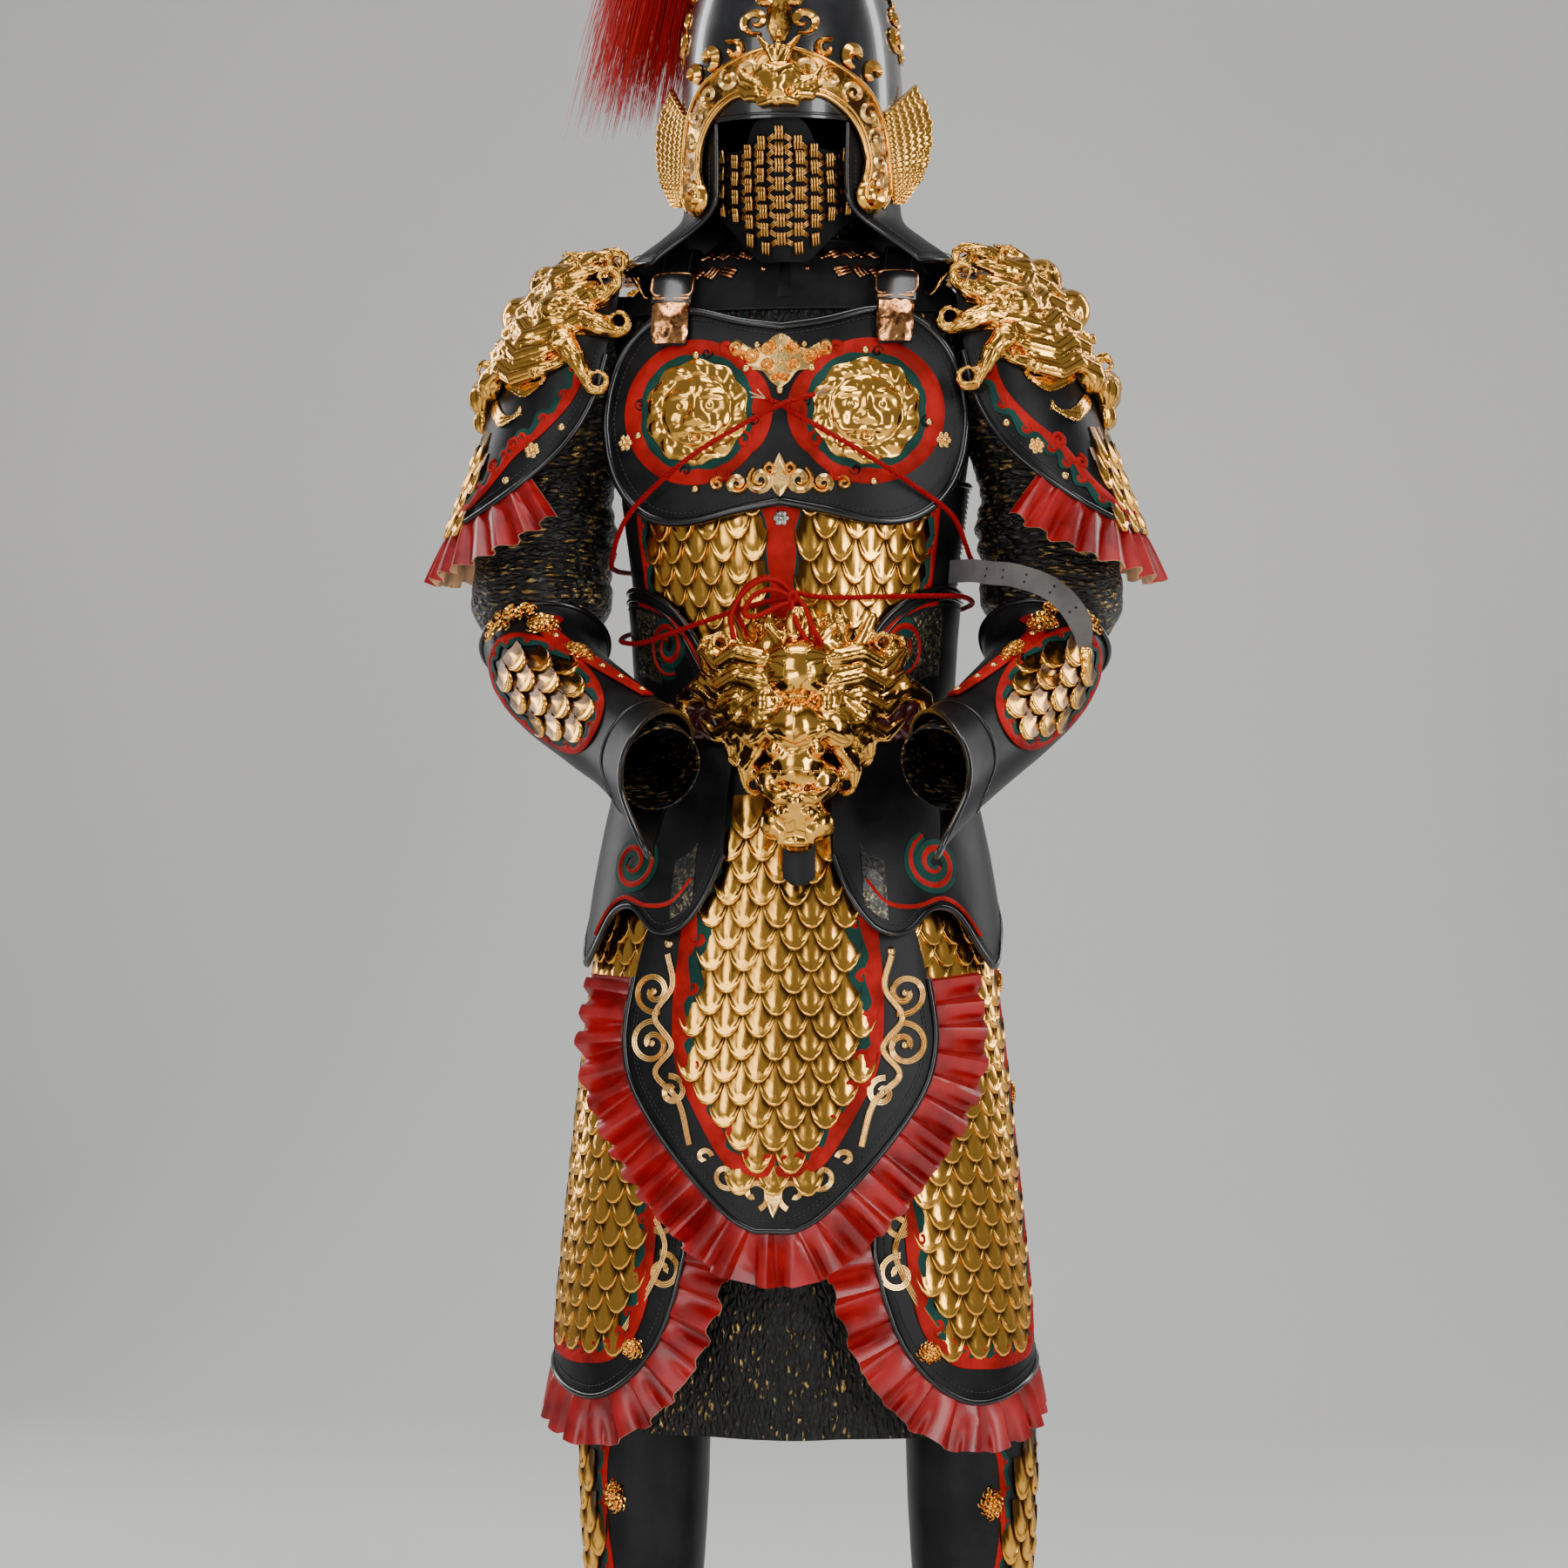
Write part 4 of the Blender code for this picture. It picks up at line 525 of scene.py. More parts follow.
class Arm(Form):
    """A sleeve: b runs 0 to 1 from armhole to wrist, a turns from outward (0) to the front."""

    steps = (0.02, 0.004)

    def __init__(self, side):
        self.side = self.turn = side

    def centre(self, b):
        if b > 0.99:
            step = self.centre(0.99) - self.centre(0.97)
            return self.centre(0.99) + step * (b - 0.99) / 0.02
        settle = min(max((b - 0.7) / 0.3, 0.0), 1.0)
        shift = HANDS_SHIFT * settle * settle * (3 - 2 * settle)
        return Vector((self.side * ARM("x", b) + shift, ARM("y", b), ARM("z", b)))

    def bare(self, a, b):
        along = (self.centre(b + 0.01) - self.centre(b - 0.01)).normalized()
        outward = Vector((self.side, 0, 0))
        outward = (outward - along * outward.dot(along)).normalized()
        front = self.side * along.cross(outward)
        return self.centre(b) + ARM("r", b) * (outward * math.cos(a) + front * math.sin(a))


class Shoulder(Form):
    """The bell of a shoulder guard: a is 0 outward, positive to the front; b is z."""

    def __init__(self, side):
        self.side, self.turn = side, -side

    def bare(self, a, b):
        out = SHOULDER("x", b) + SHOULDER("r", b) * math.cos(a)
        return Vector((self.side * out, SHOULDER_Y - SHOULDER("deep", b) * math.sin(a), b))


# %% Driving tables: one row for each height or station, in metres
TORSO = Table(
    "z wide front back",
    (0.078, 0.06, 0.064, 0.055),
    (0.048, 0.064, 0.062, 0.058),
    (0.036, 0.068, 0.063, 0.061),
    (0.02, 0.09, 0.072, 0.068),
    (0.004, 0.125, 0.082, 0.082),
    (-0.016, 0.155, 0.092, 0.098),
    (-0.045, 0.17, 0.1, 0.11),
    (-0.09, 0.175, 0.108, 0.118),
    (-0.15, 0.171, 0.114, 0.12),
    (-0.23, 0.161, 0.115, 0.116),
    (-0.32, 0.15, 0.108, 0.106),
    (-0.42, 0.146, 0.104, 0.1),
    (-0.5, 0.16, 0.108, 0.112),
    (-0.62, 0.172, 0.116, 0.128),
    (-0.8, 0.185, 0.125, 0.136),
    (-1.0, 0.198, 0.134, 0.142),
    (-1.105, 0.206, 0.14, 0.146),
)
SKIRT = Table(
    "z wide front back",
    (-0.43, 0.15, 0.11, 0.106),
    (-0.5, 0.166, 0.12, 0.12),
    (-0.66, 0.19, 0.134, 0.14),
    (-0.8, 0.207, 0.144, 0.152),
    (-1.0, 0.228, 0.156, 0.164),
    (-1.08, 0.236, 0.162, 0.17),
)
WRAP = Table(
    "z wide front back",
    (-0.29, 0.162, 0.131, 0.12),
    (-0.36, 0.156, 0.126, 0.114),
    (-0.43, 0.155, 0.123, 0.112),
    (-0.5, 0.175, 0.146, 0.13),
    (-0.57, 0.19, 0.16, 0.146),
    (-0.66, 0.204, 0.174, 0.16),
)
APRON = Table(
    "z deep bow",
    (-0.435, 0.109, 1.6),
    (-0.5, 0.127, 1.6),
    (-0.57, 0.14, 1.6),
    (-0.64, 0.15, 1.6),
    (-0.76, 0.174, 1.6),
    (-0.98, 0.196, 1.6),
)
CHEST = Table(
    "z deep bow",
    (-0.03, 0.112, 1.7),
    (-0.08, 0.124, 1.7),
    (-0.15, 0.132, 1.7),
    (-0.24, 0.129, 1.7),
)
ARM = Table(
    "s x y z r",
    (-0.1, 0.118, 0.0, -0.088, 0.05),
    (0.0, 0.15, 0.0, -0.092, 0.052),
    (0.12, 0.196, 0.002, -0.11, 0.054),
    (0.25, 0.228, 0.006, -0.158, 0.057),
    (0.4, 0.243, 0.01, -0.215, 0.063),
    (0.55, 0.25, 0.008, -0.285, 0.069),
    (0.62, 0.249, 0.004, -0.318, 0.066),
    (0.69, 0.245, -0.006, -0.348, 0.05),
    (0.78, 0.236, -0.05, -0.386, 0.046),
    (0.88, 0.191, -0.133, -0.427, 0.043),
    (1.0, 0.128, -0.238, -0.475, 0.039),
)
SHOULDER = Table(
    "z x r deep",
    (0.0, 0.172, 0.04, 0.052),
    (-0.03, 0.18, 0.061, 0.072),
    (-0.07, 0.192, 0.078, 0.088),
    (-0.12, 0.202, 0.089, 0.097),
    (-0.18, 0.214, 0.097, 0.104),
    (-0.26, 0.228, 0.113, 0.114),
)
HEAD = Table(
    "z wide front back",
    (0.385, 0.01, 0.012, 0.01),
    (0.365, 0.03, 0.036, 0.034),
    (0.335, 0.058, 0.068, 0.064),
    (0.3, 0.08, 0.096, 0.09),
    (0.25, 0.096, 0.116, 0.108),
    (0.2, 0.103, 0.124, 0.116),
    (0.13, 0.105, 0.126, 0.118),
    (0.04, 0.104, 0.126, 0.116),
)
FACE = Table(
    "z wide front back",
    (0.145, 0.0993, 0.118, 0.08),
    (0.13, 0.0993, 0.116, 0.08),
    (0.108, 0.082, 0.108, 0.08),
    (0.07, 0.074, 0.104, 0.08),
    (0.035, 0.062, 0.098, 0.07),
    (0.005, 0.056, 0.084, 0.06),
)
AVENTAIL = Table(
    "z wide front back",
    (0.14, 0.1025, 0.1235, 0.1155),
    (0.07, 0.102, 0.123, 0.115),
    (0.05, 0.108, 0.118, 0.118),
    (0.034, 0.128, 0.112, 0.124),
    (0.02, 0.148, 0.112, 0.14),
    (0.008, 0.16, 0.114, 0.157),
    (-0.03, 0.166, 0.118, 0.174),
    (-0.06, 0.168, 0.12, 0.18),
)
SHIN = Table(
    "z wide front back",
    (-1.11, 0.061, 0.062, 0.068),
    (-1.2, 0.058, 0.056, 0.07),
    (-1.32, 0.05, 0.048, 0.058),
    (-1.43, 0.046, 0.046, 0.05),
)
HANDS_SHIFT, BUCKLE_SHIFT, SHOULDER_Y, HEAD_Y = 0.028, 0.022, -0.008, -0.018
SHIN_X, SHIN_Y, SHIN_SHIFT = 0.16, 0.03, 0.01
CLOTH, LEATHER, GAP = 1.5 * MM, 3 * MM, 0.5 * MM
TORSO_FORM, SKIRT_FORM, WRAP_FORM = Tube(TORSO), Tube(SKIRT), Tube(WRAP)
APRON_FORM, CHEST_FORM = Front(APRON), Front(CHEST)
HEAD_FORM, FACE_FORM = Tube(HEAD, y=HEAD_Y), Tube(FACE, y=HEAD_Y)
AVENTAIL_FORM = Tube(AVENTAIL, y=HEAD_Y)
ARMS = {side: Arm(side) for _, side in SIDES}
BELLS = {side: Shoulder(side) for _, side in SIDES}
SHINS = {side: Tube(SHIN, x=side * SHIN_X + SHIN_SHIFT, y=SHIN_Y) for _, side in SIDES}

# %% [markdown]
# A panel is a closed wall: a fine grid for its outer face, the same grid for its inner face,
# and a rim that joins them. The function is told where each point goes. Building the lists of
# points and faces directly is much faster than editing a mesh, and these walls are fine.


# %% Walls and other meshes
def add_object(name, mesh, *finishes):
    for finish in finishes:
        mesh.materials.append(FINISHES[finish])
    mesh.shade_smooth()
    return placed(name, mesh)


def wall(name, spot, across, down, finish, ring=False, inner=None, sharp=50, thin=False):
    """A closed wall placed by spot(u, v, face): face 0 is its inner side and 1 its outer one.
    A thin one lies on a panel, so that its hidden back needs only one face across."""
    columns = across if ring else across + 1
    half = (down + 1) * columns
    points = [
        spot(i / across, j / down, face)
        for face in (0, 1)
        for j in range(down + 1)
        for i in range(columns)
    ]
    faces, slots = [], []

    def at(i, j, face):
        return face * half + j * columns + i % columns

    backs = [(0, down)] if thin else [(j, j + 1) for j in range(down)]
    for i in range(across):
        for j in range(down):
            faces.append((at(i, j, 1), at(i + 1, j, 1), at(i + 1, j + 1, 1), at(i, j + 1, 1)))
        faces += [(at(i, j, 0), at(i, k, 0), at(i + 1, k, 0), at(i + 1, j, 0)) for j, k in backs]
        faces += [(at(i, j, 0), at(i + 1, j, 0), at(i + 1, j, 1), at(i, j, 1)) for j in (0, down)]
        slots += [0] * down + [1] * (len(backs) + 2)
    if not ring:
        for i in (0, across):
            if thin:
                ends = [(at(i, down, 0), at(i, 0, 0), *(at(i, j, 1) for j in range(down + 1)))]
            else:
                ends = [(at(i, j, 0), at(i, j + 1, 0), at(i, j + 1, 1), at(i, j, 1)) for j in range(down)]
            faces += ends
            slots += [1] * len(ends)
    mesh = bpy.data.meshes.new(name)
    mesh.from_pydata(points, [], faces)
    if inner:
        mesh.polygons.foreach_set("material_index", slots)
    made = add_object(name, outward(mesh), finish, *([inner] if inner else []))
    mesh.set_sharp_from_angle(angle=math.radians(sharp))
    return made


def outward(mesh):
    """The same mesh without loose points and with all its faces turned out."""
    bm = bmesh.new()
    bm.from_mesh(mesh)
    bmesh.ops.delete(bm, geom=[vert for vert in bm.verts if not vert.link_faces], context="VERTS")
    bmesh.ops.recalc_face_normals(bm, faces=bm.faces)
    bm.to_mesh(mesh)
    bm.free()
    return mesh


def joined(name, parts):
    """Several objects as one, with all their materials."""
    with bpy.context.temp_override(active_object=parts[0], selected_editable_objects=parts):
        bpy.ops.object.join()
    parts[0].name = parts[0].data.name = name
    return parts[0]


TALLY = []


def piece(made, slot, *nodes, name=None):
    """Hands a finished piece to the frame: it rides on the body and stands for its solids."""
    name = name or (nodes[0] if nodes else None)
    if name and made.name.split(".")[0] != name:
        made.name = made.data.name = name
    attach(made, "root")
    if nodes:
        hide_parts(*nodes)
    count = sum(len(p.vertices) - 2 for p in made.data.polygons)
    TALLY.append((count, made.name))
    return made


# %% [markdown]
# Piping, stitches, rivets and scales repeat along edges and over fields, and that is what
# Geometry Nodes is for. Four small trees do it. One turns a line into a tube. One lays a
# stitch at every step of a line. One sows copies of a shape on points that know which way is
# out and which way is up. The last one grows hair round guide lines. Each tree makes its
# instances real, because the exported model keeps only real faces.


# %% Helpers for Geometry Nodes trees
def new_tree(name, **inputs):
    """A geometry tree with these inputs, and the Terms that read them."""
    tree = bpy.data.node_groups.new(name, "GeometryNodeTree")
    tree.interface.new_socket("Geometry", in_out="INPUT", socket_type="NodeSocketGeometry")
    tree.interface.new_socket("Geometry", in_out="OUTPUT", socket_type="NodeSocketGeometry")
    for key, kind in inputs.items():
        tree.interface.new_socket(key, in_out="INPUT", socket_type="NodeSocket" + kind)
    graph = Graph(tree)
    group = graph.nodes.new("NodeGroupInput")
    terms = {socket.name: Term(graph, socket) for socket in group.outputs if socket.name}
    return graph, terms


def close_tree(graph, geometry, finish):
    real = graph.node("GeometryNodeRealizeInstances", None, geometry)
    dressed = graph.node("GeometryNodeSetMaterial", None, real, Material=finish)
    end = graph.nodes.new("NodeGroupOutput")
    graph.links.new(dressed.socket, end.inputs["Geometry"])
    return graph.tree


def grown(name, base, tree, finish, **values):
    """The base object after a tree, as a plain mesh object. The base goes."""
    modifier = base.modifiers.new("grown", "NODES")
    modifier.node_group = tree
    values["Finish"] = FINISHES[finish]
    for item in tree.interface.items_tree:
        if item.in_out == "INPUT" and item.name in values:
            modifier[item.identifier] = values[item.name]
    graph = bpy.context.evaluated_depsgraph_get()
    mesh = bpy.data.meshes.new_from_object(
        base.evaluated_get(graph), preserve_all_data_layers=True, depsgraph=graph
    )
    bpy.data.objects.remove(base)
    mesh.name = name
    mesh.shade_smooth()
    return placed(name, mesh)


def lines(name, paths, cyclic=False):
    """A curve object with one straight-sided spline for each list of points."""
    curve = bpy.data.curves.new(name, "CURVE")
    curve.dimensions = "3D"
    for path in paths:
        spline = curve.splines.new("POLY")
        spline.points.add(len(path) - 1)
        for point, place in zip(spline.points, path):
            point.co = (*place, 1)
        spline.use_cyclic_u = cyclic
    return placed(name, curve)


# %% Tree: piping, a round cord along a line
def pipe_tree():
    graph, given = new_tree("pipe", Radius="Float", Sides="Int", Finish="Material")
    circle = graph.node(
        "GeometryNodeCurvePrimitiveCircle", None, Resolution=given["Sides"], Radius=given["Radius"]
    )
    tube = graph.node("GeometryNodeCurveToMesh", None, given["Geometry"], circle, Fill_Caps=True)
    return close_tree(graph, tube, given["Finish"])


PIPE = pipe_tree()


def pipe(name, paths, radius, finish, sides=8, cyclic=False):
    base = lines(name, paths, cyclic)
    made = grown(name, base, PIPE, finish, Radius=radius, Sides=sides)
    made.data.set_sharp_from_angle(angle=math.radians(60))
    return made


# %% Tree: stitches, one at every step of a line
def stitch_tree():
    graph, given = new_tree("stitches", Pitch="Float", Length="Float", Thick="Float", Finish="Material")
    stepped = graph.node(
        "GeometryNodeResampleCurve", {"mode": "LENGTH"}, given["Geometry"], Length=given["Pitch"]
    )
    thread = graph.node("GeometryNodeMeshCube", None, (0.9, 0.9, 0.9))
    size = graph.node("ShaderNodeCombineXYZ", None, given["Thick"], given["Thick"], given["Length"])
    tangent = graph.node("GeometryNodeInputTangent")
    turn = graph.node("FunctionNodeAlignRotationToVector", {"axis": "Z"}, Vector=tangent)
    laid = graph.node(
        "GeometryNodeInstanceOnPoints", None, stepped, Instance=thread, Rotation=turn, Scale=size
    )
    return close_tree(graph, laid, given["Finish"])


STITCHES = stitch_tree()


def stitches(name, paths):
    pitch = 5 * MM
    settings = {"Pitch": pitch, "Length": pitch * 0.72, "Thick": 0.9 * MM}
    return grown(name, lines(name, paths), STITCHES, "black_thread", **settings)


# %% Tree: shapes sown on points that carry their own axes
def sow_tree():
    graph, given = new_tree("sown", Shape="Object", Finish="Material")
    shape = graph.node(
        "GeometryNodeObjectInfo", {"transform_space": "ORIGINAL"}, given["Shape"], out="Geometry"
    )
    axes = [
        graph.node("GeometryNodeInputNamedAttribute", {"data_type": "FLOAT_VECTOR"}, key)
        for key in ("out", "up", "size")
    ]
    turn = graph.node(
        "FunctionNodeAxesToRotation", {"primary_axis": "Z", "secondary_axis": "Y"}, *axes[:2]
    )
    sown = graph.node(
        "GeometryNodeInstanceOnPoints",
        None,
        given["Geometry"],
        Instance=shape,
        Rotation=turn,
        Scale=axes[2],
    )
    return close_tree(graph, sown, given["Finish"])


SOWN = sow_tree()


def sow(name, places, shape, finish):
    """Copies of a shape at (place, out, up, size) rows. Size is a number or three of them."""
    mesh = bpy.data.meshes.new(name)
    mesh.from_pydata([row[0] for row in places], [], [])
    for column, key in ((1, "out"), (2, "up"), (3, "size")):
        layer = mesh.attributes.new(key, "FLOAT_VECTOR", "POINT")
        for item, row in zip(layer.data, places):
            value = row[column]
            item.vector = (value,) * 3 if isinstance(value, (int, float)) else value
    return grown(name, placed(name, mesh), SOWN, finish, Shape=shape)


# %% [markdown]
# The shapes that get sown are small meshes: a scale, a domed stud, a six-leaved rosette, a
# filigree curl and a striped link. Each has only a few dozen faces, because hundreds of
# copies are made of some. They are kept out of the picture and removed at the end.


# %% Shapes for sowing
SHAPES = {}


def keep_shape(name, bm, rubbed=None, angle=55):
    bmesh.ops.recalc_face_normals(bm, faces=bm.faces)
    mesh = bpy.data.meshes.new(name)
    bm.to_mesh(mesh)
    bm.free()
    mesh.shade_smooth()
    mesh.set_sharp_from_angle(angle=math.radians(angle))
    if rubbed:
        layer = mesh.attributes.new("rubbed", "FLOAT", "POINT")
        for vert, item in zip(mesh.vertices, layer.data):
            item.value = rubbed(vert.co) if callable(rubbed) else rubbed[vert.index]
    SHAPES[name] = bpy.data.objects.new("shape_" + name, mesh)


RIMS = {0.92: 1.0, 0.97: 0.85, 1.0: 0.2}  # share of a scale's length to how far its rim stands out
RIBS = {0.35: 0.3, 0.55: 0.8, 0.72: 1.0, 0.84: 0.45}  # the same for the rib


def scale_shape(name, point, dome, rib, tilt=0.03, root=0.34):
    """A scale one unit wide and long, its root at y = 0 and its tip at y = -1, with a rim along
    its curved edge and a teardrop rib. It stores painted shade: it is dark just below the scales
    that overlap it and on its side walls, and lighter where its rim, rib and dome are worn."""
    across = (-1, -0.88, -0.62, -0.3, 0, 0.3, 0.62, 0.88, 1)
    down = (0, 0.35, 0.55, 0.72, 0.84, 0.92, 0.97, 1.0)

    def reach(c):
        return root + (1 - root) * (1 - abs(c) ** point) ** 0.62

    bm = bmesh.new()
    bmesh.ops.create_grid(bm, x_segments=len(across) - 1, y_segments=len(down) - 1, size=0.5)
    rubbed = []
    for vert in bm.verts:
        c = across[round((vert.co.x + 0.5) * (len(across) - 1))]
        r = down[round((vert.co.y + 0.5) * (len(down) - 1))]
        rim, drop = RIMS.get(r, 0.0), RIBS.get(r, 0.0) * (c == 0)
        swell = (1 - c * c) * math.sin(0.5 * math.pi * min(1.0, r * 1.3))
        vert.co = Vector((0.5 * c, -r * reach(c), tilt * r + dome * swell + 0.03 * rim + rib * drop))
        # Painted shade: clear is how far this point lies below the tips of the scales above it, and the
        # stored value is dark there.
        clear = -vert.co.y - reach(1 - abs(c)) + 0.5
        rubbed.append(
            min(1.0, max(0.0, 3.2 * clear)) * min(1.0, 0.5 + 0.4 * rim + 0.5 * drop + 0.25 * swell),
        )
    # The side walls store 0, painted shade under the scale's edge.
    sides = bmesh.ops.extrude_edge_only(bm, edges=[e for e in bm.edges if e.is_boundary])["geom"]
    for item in sides:
        if isinstance(item, bmesh.types.BMVert):
            item.co.z = -0.02
            rubbed.append(0.0)
    bmesh.ops.contextual_create(bm, geom=[e for e in bm.edges if e.is_boundary])
    keep_shape(name, bm, rubbed, 70)


def stud_shape():
    bm = bmesh.new()
    bmesh.ops.create_uvsphere(bm, u_segments=14, v_segments=8, radius=1)
    for vert in bm.verts:
        vert.co.z = max(vert.co.z, -0.05) * 0.72
    keep_shape("stud", bm)


def rosette_shape():
    bm = bmesh.new()
    for k in range(6):
        angle = math.pi * k / 3
        spin = Matrix.Rotation(angle, 4, "Z") @ Matrix.Translation((0.62, 0, 0.06))
        for radius, height in ((0.36, 0.16), (0.2, 0.3)):
            flat = Matrix.Diagonal((radius, radius, height, 1))
            bmesh.ops.create_uvsphere(bm, u_segments=12, v_segments=6, radius=1, matrix=spin @ flat)
    middle = Matrix.Translation((0, 0, 0.08)) @ Matrix.Diagonal((0.34, 0.34, 0.42, 1))
    bmesh.ops.create_uvsphere(bm, u_segments=14, v_segments=8, radius=1, matrix=middle)
    keep_shape("rosette", bm)


def curl_shape():
    """A bead inside three quarters of a ring, which filigree is soldered from."""
    bm = bmesh.new()
    turns, sides = 8, 4
    rings = []
    for k in range(turns):
        angle = 1.7 * math.pi * k / (turns - 1)
        reach = 1 - 0.28 * k / (turns - 1)
        place = Matrix.Rotation(angle, 4, "Z") @ Matrix.Translation((reach, 0, 0.15))
        ring = bmesh.ops.create_circle(bm, segments=sides, radius=0.22)["verts"]
        bmesh.ops.transform(bm, matrix=place @ Matrix.Rotation(math.pi / 2, 4, "X"), verts=ring)
        rings.append([e for e in bm.edges if all(v in ring for v in e.verts)])
    for first, second in zip(rings, rings[1:]):
        bmesh.ops.bridge_loops(bm, edges=first + second)
    for end in (rings[0], rings[-1]):
        bmesh.ops.contextual_create(bm, geom=end)
    bead = Matrix.Translation((0, 0, 0.2)) @ Matrix.Scale(0.38, 4)
    bmesh.ops.create_icosphere(bm, subdivisions=1, radius=1, matrix=bead)
    keep_shape("curl", bm)


def link_shape():
    """A plate of three raised stripes, one unit wide and long."""
    bm = bmesh.new()
    for k in (-1, 0, 1):
        bar = Matrix.Translation((0.31 * k, 0, 0.16)) @ Matrix.Diagonal((0.26, 1.0, 0.34, 1))
        bmesh.ops.create_cube(bm, size=1, matrix=bar)
    bmesh.ops.bevel(bm, geom=bm.edges[:], offset=0.07, segments=1, affect="EDGES")
    # The stripes store 1 and the plate between them 0.1: the gaps are painted dark as shade.
    keep_shape("link", bm, lambda co: 1.0 if co.z > 0.2 else 0.1, 80)


scale_shape("scale", 2.0, 0.03, 0.045)
scale_shape("broad_scale", 2.2, 0.035, 0.06)
scale_shape("flat_scale", 2.8, 0.03, 0.02, 0.045, 0.5)
stud_shape()
rosette_shape()
curl_shape()
link_shape()
print("shapes", {name: len(shape.data.polygons) for name, shape in SHAPES.items()})


# %% [markdown]
# Most trimming follows an edge at a fixed distance: piping sits on it, a row of stitches runs
# inside it, a ruffle hangs from it. Edge walks along a form in real millimetres and knows, at
# each step, which way leads off the panel and which way leads off the body.


# %% Edges and what follows them
class Edge:
    def __init__(self, form, places, out, outward=1):
        points = [form.point(a, b, out) for a, b in places]
        self.rows = []
        self.length = 0.0
        for i, (a, b) in enumerate(places):
            if i:
                self.length += (points[i] - points[i - 1]).length
            way = points[min(i + 1, len(points) - 1)] - points[max(i - 1, 0)]
            lift = form.normal(a, b)
            self.rows.append((self.length, points[i], outward * way.cross(lift).normalized(), lift))

    def row_at(self, t):
        """The row before that share of the length, and how far on from it the place lies."""
        reach = min(max(t, 0.0), 1.0) * self.length
        i = min(max(bisect_right(self.rows, reach, key=lambda r: r[0]) - 1, 0), len(self.rows) - 2)
        low, high = self.rows[i][0], self.rows[i + 1][0]
        return i, (reach - low) / max(high - low, 1e-9)

    def at(self, t, aside=0.0, lift=0.0):
        i, share = self.row_at(t)
        place, side, up = (self.rows[i][k].lerp(self.rows[i + 1][k], share) for k in (1, 2, 3))
        return place + side.normalized() * aside + up.normalized() * lift

    def lift_at(self, t):
        return self.rows[self.row_at(t)[0]][3]

    def line(self, aside=0.0, lift=0.0, start=0.0, end=1.0, step=6 * MM):
        count = max(2, round((end - start) * self.length / step))
        return [self.at(mix(start, end, k / count), aside, lift) for k in range(count + 1)]


def soft(v):
    return min(1.0, 0.35 + 2.6 * min(v, 1 - v))


def follow(route, grip=1.0):
    """A smooth line through (a, b, low, high) rows. at(u, aside) is a place beside it, to its left,
    and its heading in degrees; reach(u) is (low, high) there."""
    line = Table("s a b low high", *((i, *row, *(0.0,) * (4 - len(row))) for i, row in enumerate(route)))
    last = len(route) - 1

    def at(u, aside=0.0):
        s = u * last
        da = (line("a", s + 0.05) - line("a", s - 0.05)) * grip
        db = line("b", s + 0.05) - line("b", s - 0.05)
        share = aside / max(math.hypot(da, db), 1e-9)
        a, b = line("a", s) - db * share / grip, line("b", s) + da * share
        return a, b, math.degrees(math.atan2(db, da))

    return at, lambda u: (line("low", u * last), line("high", u * last))


def strip(name, form, route, out, thick, finish, steps=60, across=3, wave=None, grip=1.0, profile=soft):
    """A strip laid along a route from low to high beside it. wave(u) moves its high edge and
    profile(v) is its height across. grip is the length of one unit of a."""
    at, reach = follow(route, grip)

    def spot(u, v, face):
        low, high = reach(u)
        a, b, _ = at(u, mix(low, high + (wave(u) if wave else 0.0), v))
        return form.point(a, b, out + thick * profile(v) * face)

    return wall(name, spot, steps, across, finish, thin=True)


def lobed(repeats, depth):
    """The cut edge of the trimming: lobes that lean like waves."""
    return lambda u: depth * math.sin(math.pi * (repeats * u % 1) ** 1.7) ** 0.8


def trimming(name, form, route, out, grip=1.0, lobes=8, half=5 * MM, steps=90):
    """Red trimming with a hook at each lobe, over a green lining that shows on its left."""
    green = [(a, b, 0.0, 1.2 * half) for a, b in route]
    red = [(a, b, -half, 0.2 * half) for a, b in route]
    parts = []
    for band, rise, finish, depth in ((green, 1.4, "green_applique", 1.2), (red, 2.2, "red_applique", 0.9)):
        wave = lobed(lobes, depth * half)
        parts.append(strip(name, form, band, out, rise * MM, finish, steps, wave=wave, grip=grip))
    at, _ = follow(route, grip)
    for k in range(lobes):
        a, b, heading = at((k + 0.62) / lobes, 0.95 * half)
        hook = curl(a, b, 0.95 * half, 0.8, heading - 100, 1, 0.3 * half, grip, 8)
        parts.append(strip(name, form, hook, out, 2.6 * MM, "red_applique", 12, 2, grip=grip))
    return parts


def curl(a, b, radius, turns=1.1, start=0.0, hand=1, half=3 * MM, grip=1.0, rows=14):
    """Rows for strip(): a spiral that winds in round (a, b), thin at both ends."""
    made = []
    for k in range(rows):
        t = k / (rows - 1)
        angle = math.radians(start) + hand * 2 * math.pi * turns * t
        reach = radius * (1 - 0.78 * t**0.85)
        width = half * (0.35 + 1.1 * math.sin(math.pi * min(1, 0.12 + 0.8 * t)))
        made.append((a + reach * math.cos(angle) / grip, b + reach * math.sin(angle), -width, width))
    return made


def scrollwork(name, form, rows, out, rise, finish, grip=1.0, middle=0.0, steps=30):
    """Spirals on both sides of a middle: (metres from it, b, radius, turns, start, hand, half width)."""
    parts = []
    for aside, b, radius, turns, start, hand, half in rows:
        for side in (1, -1):
            place = middle + side * aside / grip
            line = curl(place, b, radius, turns, mirrored(start, side), hand * side, half, grip)
            parts.append(strip(name, form, line, out, rise, finish, steps, 2, grip=grip))
    return parts


